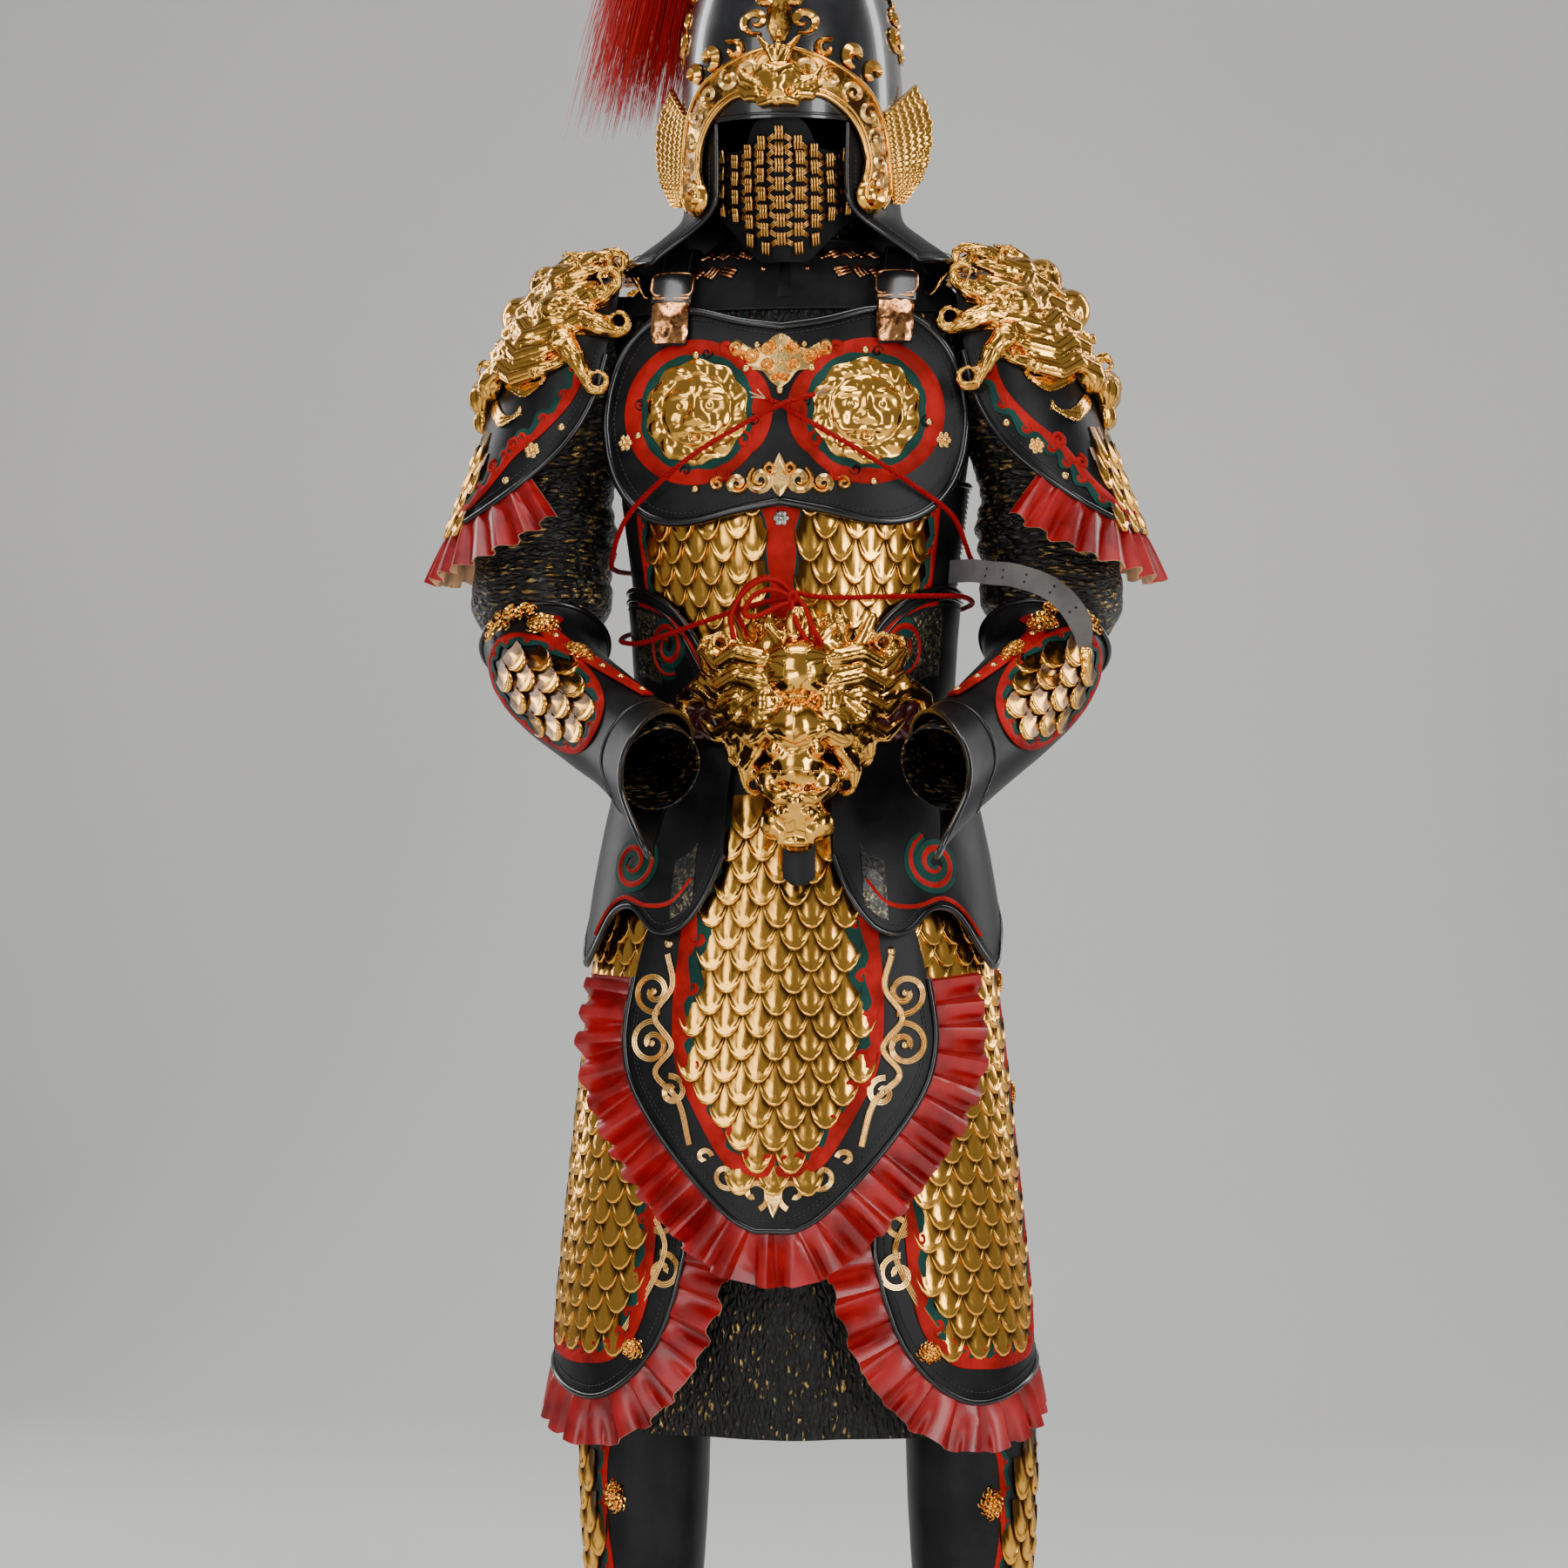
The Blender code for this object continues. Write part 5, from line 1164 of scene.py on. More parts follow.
def facing(form, a, b, out, size, spin=0.0):
    """A row for sow() at a place on a form."""
    lift, up = form.normal(a, b), form.up(a, b)
    if spin:
        up = Matrix.Rotation(math.radians(spin), 3, lift) @ up
    return (form.point(a, b, out), lift, up, size)


def studs(name, form, places, out, size=4 * MM, shape="stud", finish="bright_gold_trim"):
    rows = [facing(form, a, b, out, size) for a, b in places]
    return sow(name, rows, SHAPES[shape], finish)


GOLDEN_ANGLE, CURLS = 2.399963, 20  # the turn that spreads points evenly, and curls in a patch


def filigree(name, form, patches, out):
    """Crowded curls over oval patches: each patch is (a, b, half a, half b, curl size)."""
    rows = []
    for a, b, wide, high, size in patches:
        for k in range(CURLS):
            reach, angle = math.sqrt((k + 0.5) / CURLS), GOLDEN_ANGLE * k
            spot = (a + wide * reach * math.cos(angle), b + high * reach * math.sin(angle))
            rise = out + size * 0.9 * (1 - reach * reach)
            rows.append(facing(form, *spot, rise, size * (1.15 - 0.4 * reach), 137 * k))
    return sow(name, rows, SHAPES["curl"], "polished_gold")


def level(v, *heights):
    """A height between rows that are spaced evenly over v."""
    last = len(heights) - 1
    i = min(int(v * last), last - 1)
    return mix(heights[i], heights[i + 1], v * last - i)


# %% [markdown]
# The robe is thin, and it has been crushed into hundreds of small creases that never press
# out. The smallest ones are in its finish. The large ones are modelled: each row below is one
# soft trough, with its own length, depth and lean.


# %% Creases
def creased(creases, a, b, grip):
    """How far the cloth sinks at (a, b): rows are (a, b, half length, half width, depth, lean)."""
    sink = 0.0
    for mid_a, mid_b, long, wide, depth, lean in creases:
        da = (a - mid_a + math.pi) % (2 * math.pi) - math.pi
        x, y = da * grip, b - mid_b
        turn = math.radians(lean)
        along = y * math.cos(turn) + x * math.sin(turn)
        cross = x * math.cos(turn) - y * math.sin(turn)
        if abs(along) < 2 * long and abs(cross) < 3 * wide:
            sink += depth * math.exp(-((along / long) ** 2) - (cross / wide) ** 2)
    return sink


ROBE_CREASES = (
    (0.1, -0.92, 0.16, 0.012, 6 * MM, 4),
    (-0.16, -0.98, 0.12, 0.01, 5 * MM, -6),
    (0.38, -0.96, 0.14, 0.011, 5 * MM, 9),
    (-0.45, -0.9, 0.17, 0.012, 6 * MM, -3),
    (0.02, -1.05, 0.06, 0.009, 4 * MM, 12),
    (1.35, -0.8, 0.2, 0.014, 6 * MM, 5),
    (1.72, -0.93, 0.15, 0.01, 5 * MM, -4),
    (2.1, -0.7, 0.22, 0.016, 7 * MM, 3),
    (2.48, -0.9, 0.18, 0.012, 6 * MM, -6),
    (2.86, -0.75, 0.23, 0.015, 7 * MM, 2),
    (3.2, -0.95, 0.14, 0.011, 5 * MM, 5),
    (3.55, -0.72, 0.24, 0.015, 7 * MM, -3),
    (3.95, -0.92, 0.17, 0.012, 6 * MM, 6),
    (4.32, -0.78, 0.2, 0.014, 6 * MM, -5),
    (4.75, -0.94, 0.15, 0.01, 5 * MM, 3),
    (5.1, -0.85, 0.18, 0.012, 5 * MM, -7),
)
HEM_Z, HEM_FOLD, HEM_FOLDS = -1.105, 5 * MM, 9


def robe():
    """The robe's body: a standing collar above, hem folds below."""

    def spot(u, v, face):
        angle = 2 * math.pi * u
        z = level(v, HEM_Z, -0.86, -0.62, -0.4, -0.2, -0.03, 0.01, 0.036, 0.078)
        drop = min(max((-0.6 - z) / 0.5, 0.0), 1.0)
        fold = HEM_FOLD * drop * (math.cos(HEM_FOLDS * angle) - 1)
        sink = creased(ROBE_CREASES, angle, z, 0.18) if z < -0.45 else 0.0
        ripple = 1.2 * MM * drop * noise.noise(Vector((14 * angle, z * 26, 3.1)))
        return TORSO_FORM.point(angle, z, CLOTH * face + fold - sink * drop + ripple)

    made = wall("robe", spot, 116, 66, "crinkled_robe_cloth", ring=True)
    return piece(made, "robe_cloth", "robe")


SLEEVE_CREASES = (  # rows follow the sleeve: a is the angle round it and b the share along it
    (0.6, 0.36, 0.06, 0.01, 5 * MM, 70),
    (-0.4, 0.44, 0.05, 0.009, 5 * MM, -62),
    (1.5, 0.5, 0.06, 0.01, 6 * MM, 80),
    (2.3, 0.4, 0.05, 0.01, 5 * MM, -75),
    (3.2, 0.47, 0.06, 0.01, 5 * MM, 66),
    (4.2, 0.38, 0.05, 0.01, 5 * MM, -70),
    (0.2, 0.56, 0.05, 0.008, 5 * MM, 84),
    (1.2, 0.6, 0.05, 0.008, 4 * MM, -80),
    (5.2, 0.53, 0.05, 0.009, 5 * MM, 72),
)


def sleeves():
    for side_name, side in SIDES:
        arm = ARMS[side]

        def spot(u, v, face):
            angle = 2 * math.pi * u
            s = mix(0.03, 1.0, v)
            loose = bump(s, 0.46, 0.16)
            bunch = 4 * MM * loose * math.sin(2 * math.pi * s / 0.2 + 1.2 * math.sin(angle))
            fine = 1.6 * MM * loose * math.sin(2 * math.pi * s / 0.047 + 2.1 * math.sin(angle + 0.6))
            sink = creased(SLEEVE_CREASES, angle, s, 0.12) * loose
            ripple = 1.5 * MM * loose * noise.noise(
                Vector((3 * math.cos(angle), 3 * math.sin(angle), 22 * s)),
            )
            return arm.point(angle, s, CLOTH * face + bunch + fine - 0.6 * sink + ripple)

        made = wall(f"sleeve_{side_name}", spot, 60, 78, "crinkled_sleeve_cloth", ring=True)
        piece(made, "robe_cloth", f"sleeve_{side_name}")


robe()
sleeves()
print("robe and sleeves", TALLY[-3:])

# %% [markdown]
# The body of the armour is one leather shell that closes under the left arm. On its front two
# fields of pressed scales are let into red and green trimming, with a red strip between them.
# The scales are sown on a staggered grid, and the trimming hides the field's cut edge.

# %% Scale fields
CUIRASS_OUT = CLOTH + 1.5 * MM
CUIRASS_TOP, CUIRASS_LOW = -0.2, -0.415
BELLY_TOP = -0.205


def scale_field(node, shape, form, inside, grid, out, grip, tall=2.1):
    """A staggered field of scales: grid is (first a, a step, top b, b step, rows, columns)."""
    a0, step_a, top, step_b, rows, columns = grid
    size = (abs(step_a) * grip * 1.05, step_b * tall, step_b * tall)
    made = []
    for row in range(rows):
        b = top - step_b * row
        for column in range(columns + 1):
            a = a0 + step_a * (column + (0.5 if row % 2 else 0.0))
            if inside(a, b - 0.6 * step_b):
                made.append(facing(form, a, b, out, size))
    piece(sow(node, made, SHAPES[shape], "aged_gold_scale"), "gold", node)


def leather_panel(name, form, place, out, thick, across, down, ring=False):
    """A leather wall whose edges are rounded and whose face is very slightly uneven."""

    def spot(u, v, face):
        a, b = place(u, v)
        inset = min(v, 1 - v) if ring else min(u, 1 - u, v, 1 - v)
        full = 1 - 0.35 * math.exp(-inset * 90)
        dent = 0.35 * MM * noise.noise(Vector((a * 9, b * 60, 1.7)))
        return form.point(a, b, out + dent + thick * full * face)

    return wall(name, spot, across, down, "satin_black_leather", ring=ring)


def bound(name, body, edge, *insets):
    """A panel with piping along its edge and rows of stitches that far inside it."""
    piping = pipe(f"{name}_piping", [edge.line(0.6 * MM, 1.4 * MM)], 3 * MM, "glossy_piping")
    sewn = stitches(f"{name}_stitches", [edge.line(-inset, LEATHER * 0.6) for inset in insets])
    return joined(name, [body, piping, sewn])


def cuirass():
    seam = math.radians(90)

    def place(u, v):
        return seam + math.radians(359.7) * u, mix(CUIRASS_LOW, CUIRASS_TOP, v)

    out = CUIRASS_OUT + LEATHER
    body = leather_panel("cuirass", TORSO_FORM, place, CUIRASS_OUT, LEATHER, 88, 14)
    rims = [hoop(TORSO_FORM, z, out, 120) for z in (CUIRASS_TOP, CUIRASS_LOW)]
    rim = pipe("cuirass_rim", rims, 3 * MM, "glossy_piping", cyclic=True)
    seam_line = [TORSO_FORM.point(seam, mix(CUIRASS_LOW, CUIRASS_TOP, k / 20), out) for k in range(21)]
    rows = [[p + Vector((0, aside, 0)) for p in seam_line] for aside in (-8 * MM, 8 * MM)]
    sewn = stitches("cuirass_seam", rows)
    piece(joined("cuirass", [body, rim, sewn]), "black_leather", "cuirass")


BELLY_BAND = ((56, -0.2), (58, -0.235), (58, -0.29), (57, -0.335), (50, -0.362), (30, -0.368), (8, -0.366))
BELLY_FLARES = (  # height, and how much wider the middle strip is there
    (-0.2, 0.014),
    (-0.222, 0.006),
    (-0.25, 0.0),
    (-0.27, 0.001),
    (-0.3, -0.001),
    (-0.33, 0.001),
    (-0.352, 0.01),
    (-0.372, 0.018),
)
BELLY_LAYERS = (  # finish, half width and rise of the middle strip's layers
    ("satin_black_leather", 0.015, 3.2 * MM),
    ("green_applique", 0.014, 3.6 * MM),
    ("red_applique", 0.0125, 4.4 * MM),
)


def belly():
    out = CUIRASS_OUT + LEATHER + 0.3 * MM
    grip = 0.15
    for side_name, side in SIDES:

        def inside(a, b, side=side):
            return math.radians(7) < side * a < math.radians(57)

        grid = (side * math.radians(9.5), side * math.radians(10.6), BELLY_TOP + 0.012, 0.0212, 7, 5)
        scale_field(f"belly_scales_{side_name}", "scale", TORSO_FORM, inside, grid, out, grip)
    trims = []
    for _, side in SIDES:
        route = on_side(side, BELLY_BAND)[::-side]
        trims += trimming("belly_trim", TORSO_FORM, route, out + 1.8 * MM, grip, 9)
    for finish, wide, lift in BELLY_LAYERS:
        route = [(0, z, -wide - flare, wide + flare) for z, flare in BELLY_FLARES]
        trims.append(strip("belly_middle", TORSO_FORM, route, out, lift, finish, 60, grip=grip))
    piece(joined("belly_trims", trims), "red_leather")
    rose = studs("belly_rosette", TORSO_FORM, [(0, -0.238)], out + 4 * MM, 8 * MM, "rosette", "pale_silver")
    piece(rose, "gold")


cuirass()
belly()
print("cuirass and belly", TALLY[-4:])

# %% [markdown]
# The chest plate is a padded leather shield. Two round gilt masks of a lion sit in red rings
# with green scallops, a winged gilt crest lies between them above, and a scroll below.

# %% The chest plate and its padding
CHEST_OUTLINE = Table(
    "x high low",
    (0.0, -0.058, -0.2235),
    (0.04, -0.052, -0.231),
    (0.085, -0.041, -0.241),
    (0.115, -0.044, -0.24),
    (0.14, -0.06, -0.227),
    (0.158, -0.084, -0.204),
    (0.168, -0.113, -0.176),
    (0.1715, -0.137, -0.15),
)
CHEST_HALF, CHEST_THICK = 0.1715, 4 * MM
DISC_X, DISC_Z, DISC_RADIUS = 0.079, -0.138, 0.049


def chest_loop(inset, out, count=220):
    """A closed line inside the plate's outline, that far from its edge."""
    made = []
    for k in range(count):
        angle = 2 * math.pi * k / count
        x = (CHEST_HALF - inset) * math.sin(angle)
        top = math.cos(angle) > 0
        wide = min(abs(x) * CHEST_HALF / (CHEST_HALF - inset), CHEST_HALF)
        edge = CHEST_OUTLINE("high" if top else "low", wide) + (-inset if top else inset)
        made.append(CHEST_FORM.point(x, edge, out))
    return made


def chest_plate():
    def spot(u, v, face):
        x = CHEST_HALF * math.sin(math.pi * (u - 0.5))
        high, low = CHEST_OUTLINE("high", abs(x)), CHEST_OUTLINE("low", abs(x))
        full = min(1.0, 64 * u * (1 - u) * v * (1 - v))
        return CHEST_FORM.point(x, mix(low, high, v), (CHEST_THICK - 1 * MM + 1.0 * MM * full) * face)

    body = wall("chest_plate", spot, 72, 26, "satin_black_leather")
    rim = pipe(
        "chest_piping", [chest_loop(0.5 * MM, CHEST_THICK - 1 * MM)], 4.4 * MM, "glossy_piping", 12,
        True,
    )
    sewn = stitches("chest_stitches", [chest_loop(9 * MM, CHEST_THICK + 0.2 * MM)])
    piece(joined("chest_plate", [body, rim, sewn]), "black_leather", "chest_plate")


def polar_strip(name, middle, height, inner, outer, out, thick, finish):
    """A flat ring on the chest: inner(angle) and outer(angle) are its radii."""

    def spot(u, v, face):
        angle = 2 * math.pi * u
        reach = mix(inner(angle), outer(angle), v)
        crown = min(1.0, 0.4 + 2.4 * min(v, 1 - v))
        x, z = middle + reach * math.sin(angle), height + reach * math.cos(angle)
        return CHEST_FORM.point(x, z, out + thick * crown * face)

    return wall(name, spot, 150, 3, finish, ring=True, thin=True)


COMMA = (  # x, z and half width of the tail that each ring sends down between the discs
    (0.03, -0.098, 4.0 * MM),
    (0.02, -0.114, 7.0 * MM),
    (0.0145, -0.136, 8.0 * MM),
    (0.017, -0.158, 6.0 * MM),
    (0.026, -0.173, 4.0 * MM),
    (0.036, -0.174, 2.5 * MM),
)
RING_HOOKS = ((0.0335, -0.1655, 90, 1), (0.052, -0.08, 200, -1), (0.054, -0.196, 150, 1))
RING_LOBES = (0, math.pi / 2, math.pi, 1.5 * math.pi)  # where the red ring swells over the green


def ring_swell(angle):
    off = [(angle - lobe + math.pi) % (2 * math.pi) - math.pi for lobe in RING_LOBES]
    return 4.5 * MM * sum(bump(x, 0, 0.22) for x in off)


def red_hollow(angle):
    return 0.054 - ring_swell(angle) * 0.9 + 2.2 * MM * abs(math.sin(8 * angle + 0.4)) ** 0.6


def chest_rings():
    out = CHEST_THICK
    made = []
    for _, side in SIDES:
        middle = side * DISC_X
        for colour, inner, outer, rise in (
            ("green", lambda t: 0.047, lambda t: 0.059 - ring_swell(t) * 0.5, 1.6 * MM),
            ("red", red_hollow, lambda t, side=side: 0.0685 + 0.003 * side * math.sin(t), 2.4 * MM),
        ):
            finish = f"{colour}_applique"
            made.append(polar_strip(f"ring_{colour}", middle, DISC_Z, inner, outer, out, rise, finish))
        tail = [(side * x, z, -w, w) for x, z, w in COMMA]
        made.append(strip("ring_comma", CHEST_FORM, tail, out, 2.6 * MM, "red_applique", 40))
        for x, z, start, hand in RING_HOOKS:
            hook = curl(side * x, z, 7.5 * MM, 1.0, mirrored(start, side), hand * side, 2.2 * MM)
            made.append(strip("ring_hook", CHEST_FORM, hook, out, 2.9 * MM, "red_applique", 30))
        for angle in (10, 100, 190, 280):
            turn = math.radians(angle)
            x, z = middle + 0.056 * math.sin(turn), DISC_Z + 0.056 * math.cos(turn)
            hook = curl(x, z, 5.8 * MM, 1.1, angle, side, 1.4 * MM)
            made.append(strip("ring_eye", CHEST_FORM, hook, out, 3.0 * MM, "satin_black_leather", 24, 2))
    piece(joined("chest_rings", made), "red_leather")


MASK_LUMPS = (  # x, z, half width, half height and rise of each lump of the lion's mask
    (0.0, -0.12, 0.15, 0.17, 0.85),
    (0.0, 0.16, 0.08, 0.22, 0.45),
    (0.16, -0.19, 0.09, 0.08, 0.45),
    (0.29, 0.1, 0.11, 0.1, 0.55),
    (0.29, 0.1, 0.05, 0.05, -0.45),
    (0.32, 0.31, 0.23, 0.085, 0.7),
    (0.1, 0.46, 0.1, 0.11, 0.35),
    (0.46, -0.16, 0.14, 0.17, 0.55),
    (0.2, -0.37, 0.19, 0.075, 0.55),
    (0.0, -0.6, 0.2, 0.08, 0.5),
    (0.12, -0.48, 0.035, 0.07, 0.4),
    (0.0, -0.47, 0.2, 0.05, -0.35),
)


def mask_height(x, z):
    """A generic lion's mask: how high it stands at (x, z), both from -1 to 1."""
    r = math.hypot(x, z)
    locks = 0.5 + 0.5 * math.cos(13 * math.atan2(x, z) + 7 * r)
    height = 0.45 * (1 - r * r) + 0.5 * locks * bump(r, 0.84, 0.16) - 0.3 * bump(r, 0.68, 0.055)
    for mx, mz, wide, high, rise in MASK_LUMPS:
        height += rise * bump(abs(x), mx, wide) * bump(z, mz, high)
    return height


def disc(side_name, side):
    middle = side * DISC_X

    def spot(u, v, face):
        angle = 2 * math.pi * u
        share = 1.0 - v * 0.985
        x, z = share * math.sin(angle), share * math.cos(angle)
        rim = 1 + 0.035 * math.cos(10 * angle) * share**3
        lift = 0.0
        if face:
            lift = 1 * MM + 5.6 * MM * mask_height(x, z) * min(1.0, (1.02 - share) * 9)
        place = (middle + DISC_RADIUS * rim * x, DISC_Z + DISC_RADIUS * rim * z)
        return CHEST_FORM.point(*place, CHEST_THICK + GAP + lift)

    made = wall(f"chest_disc_{side_name}", spot, 120, 48, "polished_gold", ring=True, sharp=80, thin=True)
    piece(made, "gold", f"chest_disc_{side_name}")


chest_plate()
chest_rings()
for side_name, side in SIDES:
    disc(side_name, side)
print("chest", TALLY[-4:])

# %% [markdown]
# Gilt ornaments lie on the leather: a winged crest, a scroll, a palmette. Each is a thin plate
# cut to an outline, with a raised rim, and soldered curls fill it.


# %% Gilt ornaments of the chest
def ornament(name, form, outline, out, thick):
    """A plate the same to both sides, laid on a form, with a raised rim."""
    reach = outline.at[-1]

    def spot(u, v, face):
        x = reach * (2 * u - 1)
        low, high = outline("low", abs(x)), outline("high", abs(x))
        inset = min(min(v, 1 - v) * (high - low), reach - abs(x))
        rim = 1.0 if inset < 1.6 * MM else 0.55
        return form.point(x, mix(low, high, v), out + thick * rim * face)

    return wall(name, spot, 48, 8, "bright_gold_trim", thin=True)


CHEST_CREST = Table(
    "x high low",
    (0.0, -0.066, -0.118),
    (0.008, -0.07, -0.112),
    (0.016, -0.078, -0.102),
    (0.026, -0.08, -0.1),
    (0.038, -0.074, -0.094),
    (0.045, -0.076, -0.088),
    (0.049, -0.079, -0.084),
)
CREST_CURLS = (  # metres from the middle, height, radius, turns, start, hand and half width
    (0.041, -0.079, 0.0085, 1.4, 200, 1, 2.0 * MM),
    (0.027, -0.086, 0.008, 1.4, 20, -1, 1.9 * MM),
    (0.012, -0.079, 0.0075, 1.4, 110, 1, 1.8 * MM),
    (0.0125, -0.096, 0.0065, 1.3, 250, -1, 1.6 * MM),
    (0.005, -0.107, 0.0048, 1.2, 120, 1, 1.4 * MM),
)
SCROLL_CURLS = (
    (0.018, -0.203, 0.013, 1.5, 60, -1, 2.6 * MM),
    (0.04, -0.206, 0.01, 1.4, 180, 1, 2.2 * MM),
    (0.059, -0.206, 0.0072, 1.3, 140, -1, 1.9 * MM),
    (0.009, -0.192, 0.0075, 1.3, 200, 1, 1.8 * MM),
)
SCROLL_LEAF = Table(
    "x high low", (0.0, -0.178, -0.219), (0.004, -0.186, -0.215), (0.0085, -0.199, -0.208)
)


CHEST_STUDS = (
    (-0.08, -0.0845),
    (-0.136, -0.158),
    (-0.08, -0.2105),
    (-0.032, -0.099),
    (0.029, -0.099),
    (0.078, -0.0815),
    (0.136, -0.148),
    (0.086, -0.2045),
    (0.0, -0.119),
)


def chest_ornaments():
    out = CHEST_THICK + GAP
    parts = [ornament("chest_crest", CHEST_FORM, CHEST_CREST, out, 1.8 * MM)]
    parts += scrollwork("crest_curl", CHEST_FORM, CREST_CURLS, out, 4.2 * MM, "bright_gold_trim")
    beads = [(0, -0.093), (0, -0.08), (0, -0.07), (0, -0.121), (0.022, -0.0765), (-0.022, -0.0765)]
    parts.append(studs("crest_beads", CHEST_FORM, beads, out + 1.6 * MM, 3 * MM))
    piece(joined("chest_crest", parts), "gold", "chest_crest")
    parts = [ornament("chest_scroll", CHEST_FORM, SCROLL_LEAF, out, 3.4 * MM)]
    parts += scrollwork("scroll_curl", CHEST_FORM, SCROLL_CURLS, out, 3.6 * MM, "bright_gold_trim")
    piece(joined("chest_scroll", parts), "gold", "chest_scroll")
    piece(studs("chest_studs", CHEST_FORM, CHEST_STUDS, CHEST_THICK + 2.4 * MM, 3.6 * MM), "gold")
    flowers = [(s * 0.15, -0.164) for s in (1, -1)]
    piece(studs("chest_rosettes", CHEST_FORM, flowers, CHEST_THICK + 0.8 * MM, 8.5 * MM, "rosette"), "gold")


chest_ornaments()
print("chest ornaments", TALLY[-4:])

# %% [markdown]
# Round the neck lies a band of black cloth with a slit in front. Copper links are sewn on it
# at both sides. Two leather straps come over the shoulders to buckles on the chest plate.

# %% Neck band and shoulder straps
GORGET_OUT, YOKE = CLOTH + 0.8 * MM, 2 * MM
STRAP_X, STRAP_HALF = 0.107, 0.016
STRAP_ROUTE = (
    (-0.115, -0.074),
    (-0.112, -0.05),
    (-0.092, -0.022),
    (-0.067, 0.006),
    (-0.04, 0.0231),
    (0.0, 0.0301),
    (0.04, 0.0236),
    (0.07, 0.0071),
    (0.093, -0.03),
    (0.102, -0.08),
    (0.1045, -0.15),
    (0.1045, -0.225),
)


def gorget():
    def spot(u, v, face):
        angle = 2 * math.pi * u
        z = level(v, -0.04, -0.012, 0.01, 0.03)
        pucker = 0.5 * MM * math.sin(44 * angle) * bump(v, 0.95, 0.1)
        return TORSO_FORM.point(angle, z, GORGET_OUT + YOKE * face + pucker)

    band = wall("gorget", spot, 100, 12, "matt_black_cloth", ring=True)
    top = GORGET_OUT + YOKE
    route = [(0, z, -3 * MM, 3 * MM) for z in (0.029, -0.028)]
    slit = strip("slit", TORSO_FORM, route, top, 0.8 * MM, "satin_black_leather", 12, grip=0.08)
    rims = [hoop(TORSO_FORM, z, top) for z in (0.029, -0.039)]
    rim = pipe("gorget_rim", rims, 1.2 * MM, "satin_black_leather", cyclic=True)
    made = joined("gorget", [band, slit, rim])
    piece(made, "black_cloth", "gorget")
    rows = []
    for side in (1, -1):
        for k in range(5):
            for j, z in enumerate((0.014, -0.004)):
                a = side * math.radians(19 + 7.5 * k + 3.5 * j)
                rows.append(facing(TORSO_FORM, a, z, top, (13 * MM, 15 * MM, 10 * MM), 90 * ((k + j) % 2)))
    links = sow("gorget_links", rows, SHAPES["link"], "hammered_copper")
    spots = [(math.radians(a), 0.0) for a in (-9, 9)]
    stud = studs("gorget_studs", TORSO_FORM, spots, top, 3 * MM, finish="hammered_copper")
    piece(joined("gorget_links", [links, stud]), "gold")


STRAP_LINE = Table("s y z", *((i, y, z) for i, (y, z) in enumerate(STRAP_ROUTE)))


def strap_at(s, side, across, out):
    """A place on a shoulder strap, s rows along its route."""
    dy, dz = (STRAP_LINE(k, s + 0.05) - STRAP_LINE(k, s - 0.05) for k in "yz")
    lift = Vector((0, -dz, dy)).normalized() * out
    return Vector((side * STRAP_X + across, STRAP_LINE("y", s), STRAP_LINE("z", s))) + lift


def straps():
    last = len(STRAP_ROUTE) - 1
    for side_name, side in SIDES:

        def spot(u, v, face, side=side):
            full = 1 - 0.3 * abs(2 * u - 1) ** 4
            return strap_at(v * last, side, mix(-STRAP_HALF, STRAP_HALF, u), 2.5 * MM * full * face)

        band = wall(f"shoulder_strap_{side_name}", spot, 6, 50, "satin_black_leather")
        rows = [12.5 * MM * hand for hand in (-1, 1)]
        sides = [[strap_at(k * last / 100, side, x, 2.4 * MM) for k in range(101)] for x in rows]
        sewn = stitches("strap_stitches", sides)
        piece(joined("strap", [band, sewn]), "black_leather", f"shoulder_strap_{side_name}")

        def keeper(u, v, face, side=side):
            bow = 4 * MM + 3 * MM * math.cos(math.pi * (u - 0.5))
            return strap_at(mix(1.5, 2.5, v), side, mix(-19 * MM, 19 * MM, u), bow + 2 * MM * face)

        def tip(u, v, face, side=side):
            wide = 17.5 * MM * (1 - 0.9 * max(0.0, 0.35 - v) ** 1.6)
            dent = 1.2 * MM * noise.noise(Vector((u * 7, v * 8, 3 * side)))
            swell = 3.5 * MM * math.sin(math.pi * min(max(u, 0.0), 1.0)) ** 0.5
            s = mix(0.05, 1.5, v)
            return strap_at(s, side, wide * (2 * u - 1), 3 * MM + (swell + dent + 1.5 * MM) * face)

        loop = []
        for k in range(48):
            t = 2 * math.pi * k / 48
            reach = (abs(math.cos(t)) ** 5 + abs(math.sin(t)) ** 5) ** -0.2
            s, across = 2.15 + 0.42 * reach * math.cos(t), 19.5 * MM * reach * math.sin(t)
            loop.append(strap_at(s, side, across, 6.5 * MM))
        prong = [strap_at(1.62, side, mix(-17 * MM, 17 * MM, k / 12), 7.5 * MM) for k in range(13)]
        parts = [
            wall("keeper", keeper, 16, 8, "glossy_piping"),
            wall("tip", tip, 16, 16, "hammered_copper", sharp=25),
            pipe("loop", [loop], 1.5 * MM, "hammered_copper", cyclic=True),
            pipe("prong", [prong], 1.5 * MM, "hammered_copper"),
        ]
        piece(joined("strap_buckle", parts), "gold", name=f"strap_buckle_{side_name}")


gorget()
straps()
print("neck", TALLY[-5:])

# %% [markdown]
# The waist wrap goes round the back and stands open in front, where the buckle closes it. Red
# and green spirals are sewn on its fronts, over patches of dark gilt hide.

